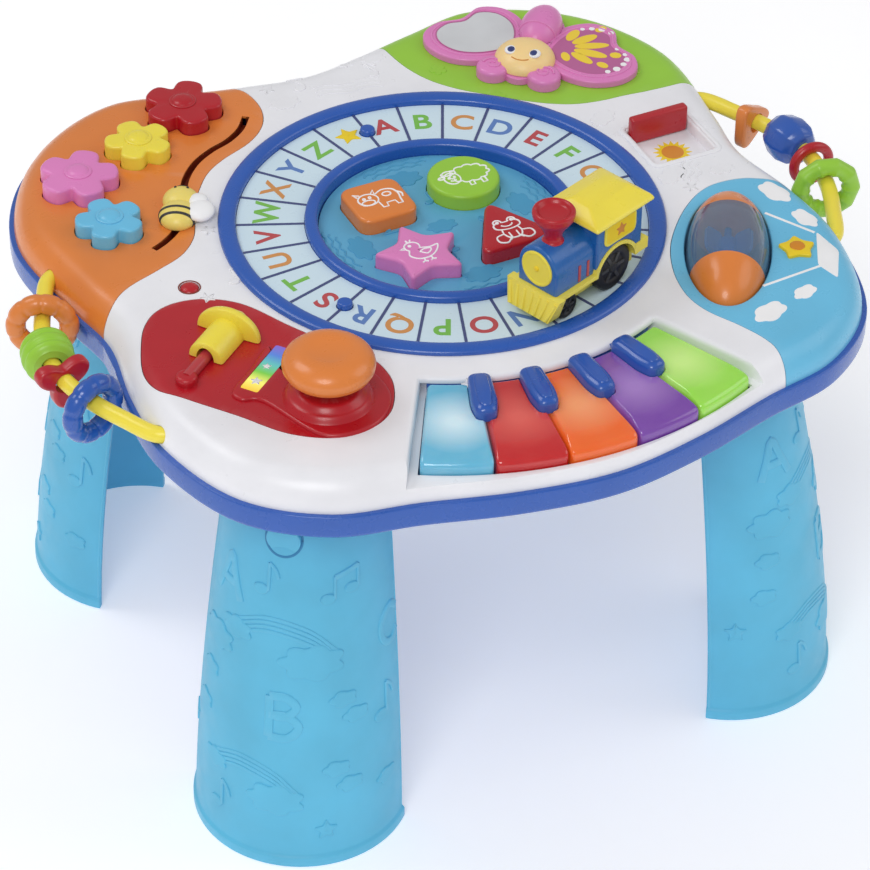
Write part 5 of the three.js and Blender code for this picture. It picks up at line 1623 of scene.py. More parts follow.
def build_bee_face(where):
    eye_x, eye_y, eye_rise = BEE_EYE
    height = BEE_MIDDLE + eye_rise
    eyes = [ellipsoid(eye_x, side * eye_y, height, BEE_EYE_SIZE, 16) for side in (-1, 1)]
    piece("bee_eyes", merged(eyes).laid(where), "black", "bee_slider")
    smile = []
    for across in range(-3, 4):
        along = BEE_HEAD_X + BEE_SMILE_X - 0.12 * across * across
        smile.append(where @ Vector((along, across, BEE_MIDDLE + BEE_SMILE_RISE)))
    lines("bee_smile", [smile], SMILE_RADIUS, "black", "bee_slider")
    pin = drum(0, 0, PIN_RADIUS, -SHELL_WALL, BEE_MIDDLE)
    piece("bee_pin", pin.laid(where), "black", "bee_slider")


def build_slot_liner():
    """A trough under the bee's slot, coloured dark brown as painted shade."""
    path = slot_path()
    liner = prism(ribbon(path, SLOT_HALF + LINER_WALL), -LINER_DEPTH, -RUNNING_GAP)
    room = prism(ribbon(path, SLOT_HALF), LINER_WALL - LINER_DEPTH, OVERRUN)
    piece("slot_liner", cut(liner, room), "dark_painted_shade")


def build_lamp():
    x, y = place(LAMP_SHARES)
    dome = turned([
        (0, -SHELL_WALL), (LAMP_RADIUS, -SHELL_WALL), (LAMP_RADIUS, 0), (LAMP_RADIUS * 0.5, LAMP_RISE),
        (0, LAMP_RISE),
    ], LAMP_ROUND, 48)
    piece("power_lamp_dome", dome.moved(x, y), "red", nodes=["power_lamp"])
    rim = lathe([(radius + more, height) for more, radius, height in LAMP_PROFILE], 64)
    # The lamp's rim is dark brown as painted shade round the lamp.
    piece("power_lamp_rim", rim.moved(x, y), "dark_painted_shade")


# Red panel, arrow slider and lever

PANEL_TURN = 37.5
DOME_RADIUS = 30
DOME_STEP = 23
DOME_RISE = 6
DOME_TOP = 11
PLUG_DEPTH = 11
ROD_RADIUS = 4
ROD_RISE = 2.5
ROD_START = 4
ROD_END = 53
WINDOW_LENGTH = 48
WINDOW_WIDTH = 12
WINDOW_ROUND = 1.5
WINDOW_CODES = ("f0c62c", "f6f070", "6fc23a", "58b8b0", "4a78cc", "7a5cc0")

# Stars on the window, as (tip, valley, round, x, y)
WINDOW_STARS = ((4.2, 2, 0.4, -14, 0), (3.2, 1.5, 0.3, 2, 1))
WINDOW_STAR_SINK = 0.5
WINDOW_STAR_RISE = 0.1
WINDOW_STAR_EDGE = 0.3
LEVER_PIVOT = 1
LEVER_BALL = 9
STEM_RADIUS = 7
LEVER_MOUTH = 9.8
KNOB_RADIUS = 29
KNOB_HEIGHT = 28
KNOB_THICKNESS = 24
STEP_RISE = 2.2
STEP_ROUND = 2
DOME_ROUND = 2.4

# The dome's profile above its foot, as (the radius that it starts from, more radius, height)
DOME_PROFILE = (
    (DOME_RADIUS, 1.5, -INLAY_DEPTH), (DOME_RADIUS, 1.5, 0), (DOME_RADIUS, -1, 1.4),
    (DOME_RADIUS, -4, DOME_RISE), (DOME_STEP, 1, DOME_RISE + 0.8), (DOME_STEP, -3, DOME_TOP),
)

# The rod's foot, as (radius, height)
SOCKET_PROFILE = ((0, -3), (7, -3), (7, 4), (5.4, 5.6), (0, 5.6))
SOCKET_ROUND = 1.4

# The step's outline round the window's end, the dome and the window, each in the panel's turn
STEP_END = ((0, 8), (-3, 0), (2, -9))
STEP_LEVER = ((-34, -16), (-12, -37), (18, -34), (37, -8), (32, 20), (12, 36))
STEP_WINDOW = ((WINDOW_LENGTH / 2 - 2, 10), (-4, 9.5))
STEP_END_REACH = 7


def build_red_panel():
    lever_x, lever_y = place(LEVER_SHARES)
    arrow_x, arrow_y = place(ARROW_SHARES)
    arrow_turn = PANEL_TURN - 90
    panel = cut(inlay(RED_SHARES), drum(lever_x, lever_y, PLUG_RADIUS, -RIM_DROP, OVERRUN))
    profile = [(radius + more, height) for radius, more, height in DOME_PROFILE]
    plug = [(0, -PLUG_DEPTH), (PLUG_RADIUS, -PLUG_DEPTH), (PLUG_RADIUS, -INLAY_DEPTH)]
    dome = turned([*plug, *profile, (0, DOME_TOP)], DOME_ROUND, 96)
    step = cushion(step_loop(), -INLAY_DEPTH / 2, STEP_RISE, STEP_ROUND)
    rod = cross(drum(0, 0, ROD_RADIUS, ROD_START, ROD_END, 32)).moved(turn=180)
    rod = rod.moved(arrow_x, arrow_y, ROD_RISE, arrow_turn)
    fuse(panel, step, dome.moved(lever_x, lever_y), rod)
    room = LEVER_BALL + GAP
    cut(
        panel,
        ellipsoid(lever_x, lever_y, LEVER_PIVOT, (room, room, room), 32),
        drum(lever_x, lever_y, LEVER_MOUTH, LEVER_PIVOT, DOME_TOP + OVERRUN),
        window_form(GAP, -RIM_DROP, OVERRUN),
    )
    piece("red_inlay", panel, "red", nodes=["red_panel"], sharp=30)
    foot = placed(arrow_x, arrow_y, 0, arrow_turn) @ Matrix.Translation((0, -ROD_END, 0))
    piece("rod_foot", turned(SOCKET_PROFILE, SOCKET_ROUND, 40).laid(foot), "red")


def step_loop():
    """The low step round the dome and the light window."""
    lever = Vector(place(LEVER_SHARES))
    window = Vector(place(WINDOW_SHARES))
    turn = Matrix.Rotation(math.radians(PANEL_TURN), 2)
    end = window + turn @ Vector((-WINDOW_LENGTH / 2 - STEP_END_REACH, 0))
    points = []
    for middle, spots in ((end, STEP_END), (lever, STEP_LEVER), (window, STEP_WINDOW)):
        points += [middle + turn @ Vector(spot) for spot in spots]
    return smooth_loop(points, 8)


def window_form(clearance, low, high):
    half = WINDOW_LENGTH / 2 + clearance
    loop = rounded(rectangle(-half, half, WINDOW_WIDTH / 2 + clearance), WINDOW_ROUND, 4, closed=True)
    return prism(loop, low, high).moved(*place(WINDOW_SHARES), 0, PANEL_TURN)


def build_window():
    where = placed(*place(WINDOW_SHARES), 0, PANEL_TURN)
    ends = [where @ Vector((side * WINDOW_LENGTH / 2, 0, 0)) / METRE + ORIGIN for side in (-1, 1)]
    PAINTS["window"] = light_strip("light_window_print", *ends, WINDOW_CODES)
    lens = window_form(0, -INLAY_DEPTH, STEP_RISE - GAP)
    piece("light_window_lens", lens, "window", nodes=["light_window"])
    low = STEP_RISE - WINDOW_STAR_SINK
    high = STEP_RISE + WINDOW_STAR_RISE
    marks = []
    for tip, valley, edge, x, y in WINDOW_STARS:
        marks.append(cushion(star(tip, valley, 5, edge), low, high, WINDOW_STAR_EDGE).moved(x, y))
    piece("light_window_stars", merged(marks).laid(where), "print_white")


ARROW_PIPE = 12
ARROW_PIPE_LENGTH = 29
ARROW_RADIUS = 22
ARROW_LENGTH = 21
ARROW_HEIGHT = 18
ARROW_BORE_END = 12
ARROW_BORE = ROD_RADIUS + 2.2
ARROW_BORE_SILL = 1
ARROW_EDGE = 1.6

# The pipe and the head along the slider, as (place, half width, height, inset)
ARROW_STATIONS = (
    (-ARROW_PIPE_LENGTH, ARROW_PIPE, ARROW_PIPE, ARROW_EDGE),
    (-ARROW_PIPE_LENGTH + ARROW_EDGE * 0.3, ARROW_PIPE, ARROW_PIPE, ARROW_EDGE * 0.3),
    (-ARROW_PIPE_LENGTH + ARROW_EDGE, ARROW_PIPE, ARROW_PIPE, 0),
    (-0.4, ARROW_PIPE, ARROW_PIPE, 0),
    (0, ARROW_RADIUS, ARROW_HEIGHT, ARROW_EDGE),
    (ARROW_EDGE * 0.3, ARROW_RADIUS, ARROW_HEIGHT, ARROW_EDGE * 0.3),
    (ARROW_EDGE, ARROW_RADIUS, ARROW_HEIGHT, 0),
    (ARROW_EDGE + 2.4, ARROW_RADIUS, ARROW_HEIGHT, 0.3),
    (ARROW_EDGE + 4, ARROW_RADIUS * 0.94, ARROW_HEIGHT * 0.95, 0),
    (ARROW_LENGTH * 0.6, ARROW_RADIUS * 0.5, ARROW_HEIGHT * 0.6, 0),
    (ARROW_LENGTH * 0.9, ARROW_RADIUS * 0.16, ARROW_HEIGHT * 0.3, 0),
    (ARROW_LENGTH, ARROW_RADIUS * 0.05, ARROW_HEIGHT * 0.12, 0),
)


def arch(half_width, height, inset):
    """Half an oval that stands on a flat."""
    turns = [math.pi * i / 24 for i in range(25)]
    return [((half_width - inset) * math.cos(a), GAP + (height - inset) * math.sin(a)) for a in turns]


def build_arrow():
    where = placed(*place(ARROW_SHARES), GAP, PANEL_TURN - 90)
    along = Matrix(((1, 0, 0, 0), (0, 0, 1, 0), (0, 1, 0, 0), (0, 0, 0, 1)))
    form = stack([(arch(half, height, inset), z) for z, half, height, inset in ARROW_STATIONS])
    start = -ARROW_PIPE_LENGTH - OVERRUN
    end = ARROW_BORE_END + RUNNING_GAP
    bore = prism(arch(ARROW_BORE, ROD_RISE + ARROW_BORE, 0), start, end)
    low = box((-ARROW_BORE, start, -OVERRUN), (ARROW_BORE, end, ARROW_BORE_SILL))
    slider = cut(form.laid(along).laid(where), bore.laid(along).laid(where), low.laid(where))
    piece("arrow_slider_cap", slider, "yellow", "arrow_slider", ["arrow_slider"], sharp=32)


DENT_RADIUS = 18
STEM_ROUND = 1

# The knob's dented top, as (radius, drop)
KNOB_DENT = ((16, 0.6), (12, 1.6), (6, 2.1), (0, 2.2))


def build_lever():
    x, y = place(LEVER_SHARES)
    half = KNOB_THICKNESS / 2
    profile = [(0, KNOB_HEIGHT - half)]
    for step in range(15):
        angle = math.pi * (step / 14 - 0.5)
        bulge = max(abs(math.cos(angle)) ** 0.62, 0.02)
        spot = (KNOB_RADIUS * bulge, KNOB_HEIGHT + half * math.sin(angle))
        if spot[1] <= KNOB_HEIGHT or spot[0] >= DENT_RADIUS:
            profile.append(spot)
    profile += [(radius, KNOB_HEIGHT + half - drop) for radius, drop in KNOB_DENT]
    stem = turned([
        (0, LEVER_PIVOT), (STEM_RADIUS, LEVER_PIVOT), (STEM_RADIUS, KNOB_HEIGHT), (0, KNOB_HEIGHT),
    ], STEM_ROUND, 40)
    ball = ellipsoid(0, 0, LEVER_PIVOT, (LEVER_BALL, LEVER_BALL, LEVER_BALL), 32)
    piece("lever_knob_cap", lathe(profile, 96).moved(x, y), "orange", "lever_knob", ["lever_knob"])
    piece("lever_stem", (stem + ball).moved(x, y), "red", "lever_knob")


# Peek door

HANDLE_THICKNESS = 7
HANDLE_RISE = 12
HANDLE_ROUND = 2
SLAB_ROUND = 0.4

# The rim's section, as (outwards from the picture, height)
PEEK_RIM_SECTION = (
    (PEEK_RIM, -1), (PEEK_RIM, 0.4), (PEEK_RIM - 0.9, 1.3), (PEEK_RIM - 2.2, 1.5), (1.8, 1), (1.6, -1),
)
SUN_BACK = 4
SUN_RAYS = (13.5, 9, 16, 0.6)
SUN_RADIUS = 7.5
RAYS_RISE = 0.12
SUN_RISE = 0.22


def build_peek():
    x, y = PEEK_MIDDLE
    half = PEEK_WIDTH / 2 - RUNNING_GAP
    back = y + PEEK_DEPTH / 2 - GAP
    floor = -PEEK_DROP
    low = floor + GAP
    handle = box((x - half, back - HANDLE_THICKNESS, low), (x + half, back, HANDLE_RISE))
    piece("peek_door_handle", soften(handle, HANDLE_ROUND, 4), "red", "peek_door", ["peek_door"])
    start = (x - half, back - HANDLE_THICKNESS / 2, low)
    slab = box(start, (x + half, back + DOOR_TRAVEL, low + DOOR_THICKNESS))
    piece("peek_door_slab", slab, "red", "peek_door", edge=SLAB_ROUND)
    piece("peek_rim", ring_of([(peek_loop(grow), z) for grow, z in PEEK_RIM_SECTION]), "white")
    rays = prism(star(*SUN_RAYS), floor - GAP, floor + RAYS_RISE)
    piece("sun_rays", rays.moved(x, y - SUN_BACK), "print_yellow")
    face = prism(circle(0, 0, SUN_RADIUS), floor, floor + SUN_RISE)
    piece("sun_face", face.moved(x, y - SUN_BACK), "print_orange")


# Piano

# The keys from the left, as (name, colour, colour of the painted glow at the middle)
KEYS = (
    ("light_blue", "5cb0d0", "cfe9f3"), ("red", "bd161c", "dc5a50"), ("orange", "e8641e", "f29a66"),
    ("purple", "7440a0", "a078c0"), ("green", "94d648", "c6ec86"),
)
SHARP_ROUND = 4.4
SHARP_NOSE = 12
SHARP_TAIL = 1
SHARP_SINK = 2
STRIP_DEPTH = 5
STRIP_HEIGHT = 7
NECK_REACH = 4

# A sharp's levels above its foot, as (height, inset)
SHARP_LEVELS = (
    (3.4, 0), (4.8, 0.5), (5.9, 1.4), (6.6, 2.6), (6.9, 3.3), (7.5, 3.6), (SHARP_TOP, 4.2),
)


def key_middle(index):
    return FAN_TURN + (index - (FAN_KEYS - 1) / 2) * KEY_PITCH


def key_form(middle, half):
    """A key with a sloped front and rounded edges."""
    levels = []
    for z, front_cut, inset in KEY_LEVELS:
        turn = math.degrees(inset / KEY_FRONT)
        front = KEY_FRONT - front_cut
        loop = sector(KEY_BACK + inset, front, middle - half + turn, middle + half - turn, KEY_CORNER, 20)
        levels.append((loop, z))
    return stack(levels)


def build_keys():
    half = KEY_PITCH / 2 - math.degrees(KEY_SPACING / 2 / KEY_FRONT)
    reach = KEY_BACK + (KEY_FRONT - KEY_BACK) * 0.5
    cutter = prism(sharp_loop(RUNNING_GAP), KEY_TOP - KEY_ROUND - GAP, OVERRUN)
    for index, (name, code, painted_glow) in enumerate(KEYS):
        middle = key_middle(index)
        angle = math.radians(middle)
        spot = Vector((reach * math.cos(angle), reach * math.sin(angle), KEY_TOP)) / METRE + ORIGIN
        # Each key's material carries a painted glow round the key's middle.
        PAINTS["key_" + name] = gel("key_" + name + "_gel", code, painted_glow, spot)
        key = solid(key_form(middle, half))
        for side in (-1, 1):
            if 0 <= index + side < FAN_KEYS:
                cut(key, cutter.moved(turn=middle + side * KEY_PITCH / 2))
        node = "piano_key_" + name
        piece(node + "_cap", key, "key_" + name, node, [node], sharp=42)


def sharp_loop(grow):
    """A sharp's outline on the +X axis, narrower at its back."""
    half = SHARP_HALF + grow
    low = SHARP_BACK - SHARP_TAIL - grow
    high = SHARP_BACK + SHARP_LENGTH + grow
    side = [(low, half * 0.86), (high - SHARP_NOSE, half), (high, half * 0.72)]
    return rounded([(x, -y) for x, y in side] + side[::-1], SHARP_ROUND, 6, closed=True)


def build_sharps():
    """The raised keys on one strip behind the white ones."""
    inner = TRAY_BACK + GAP
    outer = inner + STRIP_DEPTH
    low = -PIANO_DROP + GAP
    under = KEY_TOP - SHARP_SINK + GAP
    top = KEY_TOP + GAP
    body = stack([(sharp_loop(-inset), z) for z, inset in ((under, 0), *SHARP_LEVELS)])
    neck = box((inner + GAP, -NECK_HALF, under), (SHARP_BACK + NECK_REACH, NECK_HALF, top))
    post = box((inner + GAP, -NECK_HALF, low + GAP), (outer - GAP, NECK_HALF, top))
    strip = solid(prism(piano_sector(inner, outer, 0), low, low + STRIP_HEIGHT))
    for index in range(FAN_KEYS - 1):
        turn = key_middle(index) + KEY_PITCH / 2
        fuse(strip, *[form.moved(turn=turn) for form in (neck, post, body)])
    piece("sharps", strip, "bright_blue", nodes=["sharp_keys"])


# Egg roller

EGG_WINDOW_HALF = 28
EGG_SHELL = 2
EGG_LIP = 1.4
EGG_SEAM = 0.2
AXLE_REACH = 3
PADDLE_ROUND = 2
BLADE_CORNERS = ((7, -16), (21, -11), (21, 11), (7, 16))
BLADE_ROUND = 4
BLADE_HALF = 1.2

# The spindle's swell, as (radius, place along it)
SPINDLE_SWELL = ((EGG_AXLE, -14), (8, -12), (9, 0), (8, 12), (EGG_AXLE, 14))


def egg_reach(along):
    share = along / (EGG_LENGTH / 2)
    return EGG_RADIUS * math.sqrt(max(0, 1 - share * share))


def build_egg():
    where = placed(*place(EGG_SHARES), -EGG_DROP, EGG_TURN) @ Matrix.Rotation(math.pi / 2, 4, "Y")
    half = EGG_LENGTH / 2
    start = EGG_WINDOW_HALF + GAP
    edge = start - EGG_SEAM
    end = half + AXLE_REACH
    places = [start + (half - start) * math.sin(math.pi / 2 * i / 14) for i in range(15)]
    cap = [(max(egg_reach(along), EGG_AXLE), along) for along in places]
    lip = [(EGG_AXLE, start), (EGG_AXLE, edge), (egg_reach(start) - EGG_LIP, edge), (egg_reach(start), edge)]
    profile = [*lip, *cap, (EGG_AXLE, end), (0, end), (0, start)]
    form = lathe(profile, 72) + lathe([(radius, -along) for radius, along in profile], 72)
    piece("egg_caps", form.laid(where), "orange", "egg_roller", ["egg_ends"])
    spots = [EGG_WINDOW_HALF * i / 8 for i in range(-8, 9)]
    outer = [(egg_reach(along), along) for along in spots]
    inner = [(egg_reach(along) - EGG_SHELL, along) for along in reversed(spots)]
    dome = lathe([*outer, *inner, outer[0]], 72)
    piece("egg_dome", dome.laid(where), "clear", "egg_roller", ["egg_window"])
    spindle = turned([
        (0, -start), (EGG_AXLE, -start), *SPINDLE_SWELL, (EGG_AXLE, start), (0, start),
    ], PADDLE_ROUND, 40)
    loop = rounded(BLADE_CORNERS, BLADE_ROUND, 5, closed=True)
    blade = prism(loop, -BLADE_HALF, BLADE_HALF).laid(Matrix.Rotation(math.pi / 2, 4, "X"))
    blades = [blade.moved(turn=90 * i + 45) for i in range(4)]
    piece("egg_paddle", merged([spindle, *blades]).laid(where), "bright_blue", "egg_roller")


# Butterfly

BUTTERFLY_TURN = -43
WING_SPAN = 76
WING_THICKNESS = 5
MIRROR_SHARE = 0.74
RIM_SHARE = 0.84
WING_CELLS = (
    (17, 78, 7.5, 3.8), (19, 48, 10, 4), (21, 22, 12, 3.6), (21, -4, 12, 4), (19, -28, 9.5, 3.6),
    (12, -62, 5.5, 3), (36, 56, 4.5, 3.2), (38, 2, 4, 3.4), (35, -22, 4.5, 3),
)
WING_DOTS = (
    (28, 29, 1.6), (34, 31.5, 2), (41, 32.5, 2.4), (48, 30.5, 2), (63, -12, 2.6), (66, -5, 2.1),
    (67, 1.5, 2.4), (64, 7, 1.7), (58, -17, 1.9), (57, 12, 1.5),
)
HEAD_RADIUS = 21
HEAD_Y = -20
HEAD_HEIGHT = 13
ABDOMEN_RADIUS = 14.5
ABDOMEN_LENGTH = 46
ABDOMEN_Y = 22
FEELER_RADIUS = 11.5
FEELER_X = 18
FEELER_Y = -36
FEELER_RISE = 9
FEELER_ROUND = 3.4
FEELER_CROWN = 0.4
WING_ROUND = 1.6
BACKBONE_ROUND = 0.6
BACKBONE_DROP = 0.2
SPIRAL_REACH = 7
SPIRAL_STEP = 0.34
SPIRAL_LIFT = 0.45
SPIRAL_RADIUS = 0.7
RIM_RADIUS = 0.9
EDGE_INSIDE = 0.1
PRINT_SINK = 0.5
FILM_SINK = 1
PATCH_RISE = 0.15
CELL_SINK = 0.4
CELL_RISE = 0.35
DOT_RISE = 0.45
CELLS_PLACE = (20, 3)
COLLAR_Y = 12
COLLAR_RADIUS = 0.8

# The eyes, as (across, towards the tail from the head's middle, height, half sizes)
EYE_WHITE = (8.4, -6, 10.6, (4.3, 5, 2))
EYE_PUPIL = (8.1, -6.8, 11.6, (2.8, 3.4, 1.3))
MOUTH_Y = -14.6
MOUTH_RADIUS = 0.4


def build_butterfly():
    where = placed(*place(BUTTERFLY_SHARES), 0, BUTTERFLY_TURN)
    level = GAP + WING_THICKNESS
    left = share_loop(WING_SHARES, WING_SPAN, 10)
    right = counter_clockwise([(-px, py) for px, py in left])
    backbone = oval(0, 0, HEAD_RADIUS - 2 * GAP, HEAD_RADIUS + ABDOMEN_LENGTH / 2, 64)
    parts = [
        cushion(left, GAP, level, WING_ROUND), cushion(right, GAP, level, WING_ROUND),
        cushion(backbone, GAP, level - BACKBONE_DROP, BACKBONE_ROUND),
    ]
    spirals = []
    for side in (-1, 1):
        loop = circle(side * FEELER_X, FEELER_Y, FEELER_RADIUS, 96)
        parts.append(cushion(loop, GAP, FEELER_RISE, FEELER_ROUND, FEELER_CROWN))
        spirals.append([where @ spot for spot in spiral(side)])
    plate = fuse(*[part.laid(where) for part in parts])
    piece("butterfly_plate", plate, "pink", nodes=["butterfly_wings"])
    lines("butterfly_spirals", spirals, SPIRAL_RADIUS, "pink")
    build_wing_prints(where, level, left, right)
    build_butterfly_body(where, level)


def spiral(side):
    """The raised curl on a feeler's disc."""
    path = []
    for i in range(19):
        reach = SPIRAL_REACH - SPIRAL_STEP * i
        x = side * FEELER_X + reach * math.cos(i * 0.5) * side
        path.append(Vector((x, FEELER_Y + reach * math.sin(i * 0.5), FEELER_RISE + SPIRAL_LIFT)))
    return path


def build_wing_prints(where, level, left, right):
    mirror = scaled(left, MIRROR_SHARE)
    film = prism(mirror, level - FILM_SINK, level + GAP)
    piece("wing_mirror_film", film.laid(where), "mirror", nodes=["wing_mirror"])
    piece("wing_mirror_edge", print_edge(mirror, level).laid(where), "print_wine")
    rims = []
    for wing in (left, right):
        rims.append([where @ Vector((*spot, level)) for spot in closed_loop(scaled(wing, RIM_SHARE))])
    lines("wing_rims", rims, RIM_RADIUS, "pink")
    patch = prism(scaled(right, MIRROR_SHARE), level - PRINT_SINK, level + PATCH_RISE)
    piece("wing_patch", patch.laid(where), "print_wine")
    cells = []
    for along, turn, half_x, half_y in WING_CELLS:
        cell = prism(oval(0, 0, half_x, half_y, 36), level - CELL_SINK, level + CELL_RISE)
        cells.append(cell.moved(along, 0).moved(turn=turn))
    piece("wing_cells", merged(cells).moved(*CELLS_PLACE).laid(where), "print_yellow")
    dots = []
    for x, y, radius in WING_DOTS:
        dots.append(prism(circle(x, y, radius, 20), level - CELL_SINK, level + DOT_RISE))
    piece("wing_dots", merged(dots).laid(where), "print_white")


def print_edge(loop, level):
    """A thin dark line round a print."""
    outer = outset(loop, RIM_RADIUS)
    inner = outset(loop, EDGE_INSIDE)
    low = level - PRINT_SINK
    high = level + PRINT_SINK
    return ring_of([(outer, low), (outer, high), (inner, high), (inner, low)])


def build_butterfly_body(where, level):
    above = level + GAP
    head = ellipsoid(0, HEAD_Y, level, (HEAD_RADIUS, HEAD_RADIUS, HEAD_HEIGHT), 96)
    piece("butterfly_face", half_above(head.laid(where), above), "peach", nodes=["butterfly_head"])
    body = ellipsoid(0, ABDOMEN_Y, level, (ABDOMEN_RADIUS, ABDOMEN_LENGTH / 2, HEAD_HEIGHT), 56)
    body = half_above(body.laid(where), above)
    head_room = HEAD_RADIUS + RUNNING_GAP
    cut(body, ellipsoid(0, HEAD_Y, level, (head_room, head_room, HEAD_HEIGHT + RUNNING_GAP), 56).laid(where))
    piece("butterfly_abdomen", body, "pink", nodes=["butterfly_body"])
    share = (COLLAR_Y - ABDOMEN_Y) / (ABDOMEN_LENGTH / 2)
    size = math.sqrt(1 - share * share)
    collar = []
    for angle in (math.pi * i / 24 for i in range(25)):
        across = ABDOMEN_RADIUS * size * math.cos(angle)
        collar.append(where @ Vector((across, COLLAR_Y, level + HEAD_HEIGHT * size * math.sin(angle))))
    lines("butterfly_collar", [collar], COLLAR_RADIUS, "pink")
    piece("butterfly_eye_whites", eye_pair(EYE_WHITE, level, 24).laid(where), "print_white")
    piece("butterfly_eye_pupils", eye_pair(EYE_PUPIL, level, 20).laid(where), "spoke")
    smile = []
    for across in range(-6, 7):
        y = MOUTH_Y + across * across * 0.05
        rise = math.sqrt(max(0, 1 - (across * across + y * y) / HEAD_RADIUS ** 2))
        smile.append(where @ Vector((across, HEAD_Y + y, level + HEAD_HEIGHT * rise)))
    lines("butterfly_smile", [smile], MOUTH_RADIUS, "print_orange")


def eye_pair(eye, level, sides):
    across, back, rise, size = eye
    return merged(ellipsoid(side * across, HEAD_Y + back, level + rise, size, sides) for side in (-1, 1))


# Bead loops

RING_BEAD = 17
RING_TUBE = 6.5
BEAD_RADIUS = 17
BEAD_LENGTH = 24
BEAD_BORE = 7
BARREL_LENGTH = 31
BARREL_EDGE = 2
BARREL_SIDES = 8
PLATE_BEAD = 9
TRIANGLE_REACH = 22
THIN_RING = 13
THIN_TUBE = 3.5
LOBE_REACH = 12
LOBE_RADIUS = 8
RING_STEPS = 120
TUBE_STEPS = 20
PLATE_ROUND = 2.4

# The barrel's facets, as (radius, share of half its length)
BARREL_PROFILE = ((10.4, -1), (15.5, -0.55), (17, 0), (15.5, 0.55), (10.4, 1))


def knobbly_ring(radius, thickness, notches=0, depth=0.0, narrow=1):
    """A ring whose tube is thinner at its notches."""
    points = []
    for i in range(RING_STEPS):
        angle = 2 * math.pi * i / RING_STEPS
        tube_radius = thickness * (1 - depth * abs(math.cos(notches * angle / 2)) ** narrow)
        for k in range(TUBE_STEPS):
            turn = 2 * math.pi * k / TUBE_STEPS
            reach = radius + tube_radius * math.cos(turn)
            points.append((reach * math.cos(angle), reach * math.sin(angle), tube_radius * math.sin(turn)))
    faces = []
    for i in range(RING_STEPS):
        for k in range(TUBE_STEPS):
            a = i * TUBE_STEPS + k
            b = i * TUBE_STEPS + (k + 1) % TUBE_STEPS
            shift = TUBE_STEPS if i < RING_STEPS - 1 else TUBE_STEPS - len(points)
            faces.append((a, a + shift, b + shift, b))
    return Form(points, faces)


def turned_bead(length, grooves, edge):
    """A round bead with grooves round it."""
    half = length / 2
    outside = []
    for share in (2 * i / 40 - 1 for i in range(41)):
        swell = 1 - edge * abs(share) ** 3
        groove = 0.1 * abs(math.cos(grooves * math.pi / 2 * (share + 1))) ** 4
        outside.append((BEAD_RADIUS * (swell - groove), share * half))
    return lathe([*outside, (BEAD_BORE, half), (BEAD_BORE, -half), outside[0]], 72)


def faceted_barrel():
    """A barrel with shallow facets and two rows of them."""
    half = BARREL_LENGTH / 2
    profile = [(radius, half * share) for radius, share in BARREL_PROFILE]
    return lathe([(0, -half), *profile, (0, half)], BARREL_SIDES)


def lobed_loop(reach, radius):
    return polar(lambda a: reach + radius * (0.35 + 0.65 * math.cos(3 * a)), 120)


def plate_bead(loop, radius):
    """A flat bead with a round hole."""
    half = PLATE_BEAD / 2
    hole = drum(0, 0, radius, -OVERRUN - half, OVERRUN + half)
    return cut_local(double_cushion(loop, half, PLATE_ROUND), hole)


def double_cushion(loop, half, edge):
    """A flat form rounded on both its faces."""
    upper = [(outset(loop, -edge * inward), half - edge + edge * rise) for inward, rise in quarter(5)]
    lower = [(inner, -z) for inner, z in reversed(upper)]
    return stack(lower + upper)


def cut_local(form, cutter):
    """A form with a hole cut in it, before it is put in its place."""
    made = cut(form, cutter)
    points = [(v.co - ORIGIN) * METRE for v in made.data.vertices]
    faces = [tuple(face.vertices) for face in made.data.polygons]
    bpy.data.objects.remove(made)
    return Form(points, faces)


def triangle_bead():
    reach = TRIANGLE_REACH
    corners = [(0, reach), (-0.92 * reach, -0.66 * reach), (0.92 * reach, -0.66 * reach)]
    return plate_bead(rounded(corners, 0.6 * reach, 8, closed=True), BEAD_BORE)


def bead_kinds():
    """Each kind of bead, with the hole that it hangs by where it is loose enough to hang."""
    return {
        "ring": (knobbly_ring(RING_BEAD, RING_TUBE, 10, 0.1, 12), RING_BEAD - RING_TUBE),
        "scalloped": (knobbly_ring(RING_BEAD, RING_TUBE, 10, 0.14), RING_BEAD - RING_TUBE),
        "thin": (knobbly_ring(THIN_RING, THIN_TUBE), THIN_RING - THIN_TUBE),
        "lobed": (plate_bead(lobed_loop(LOBE_REACH, LOBE_RADIUS), BEAD_BORE), BEAD_BORE),
        "triangle": (triangle_bead(), BEAD_BORE),
        "ribbed": (turned_bead(BEAD_LENGTH, 3, 0.2), BAR_RADIUS + GAP),
        "barrel": (faceted_barrel(), BAR_RADIUS + GAP),
    }


BEADS = (
    ("bead_left_orange_ring", -1, 0.25, "orange", "ring"),
    ("bead_left_green_ribbed", -1, 0.43, "green", "ribbed"),
    ("bead_left_red_lobed", -1, 0.55, "red", "lobed"),
    ("bead_left_blue_ring", -1, 0.7, "bright_blue", "ring"),
    ("bead_right_orange_triangle", 1, 0.24, "orange", "triangle"),
    ("bead_right_blue_barrel", 1, 0.4, "bright_blue", "barrel"),
    ("bead_right_red_thin", 1, 0.525, "red", "thin"),
    ("bead_right_green_ring", 1, 0.66, "green", "scalloped"),
)


def along_path(path, share):
    """The point and the direction at a share of a path's length."""
    lengths = [0]
    for a, b in zip(path, path[1:]):
        lengths.append(lengths[-1] + (b - a).length)
    goal = share * lengths[-1]
    index = next(i for i, length in enumerate(lengths) if length >= goal)
    step = path[index] - path[index - 1]
    part = (goal - lengths[index - 1]) / (lengths[index] - lengths[index - 1])
    return path[index - 1] + step * part, step.normalized()


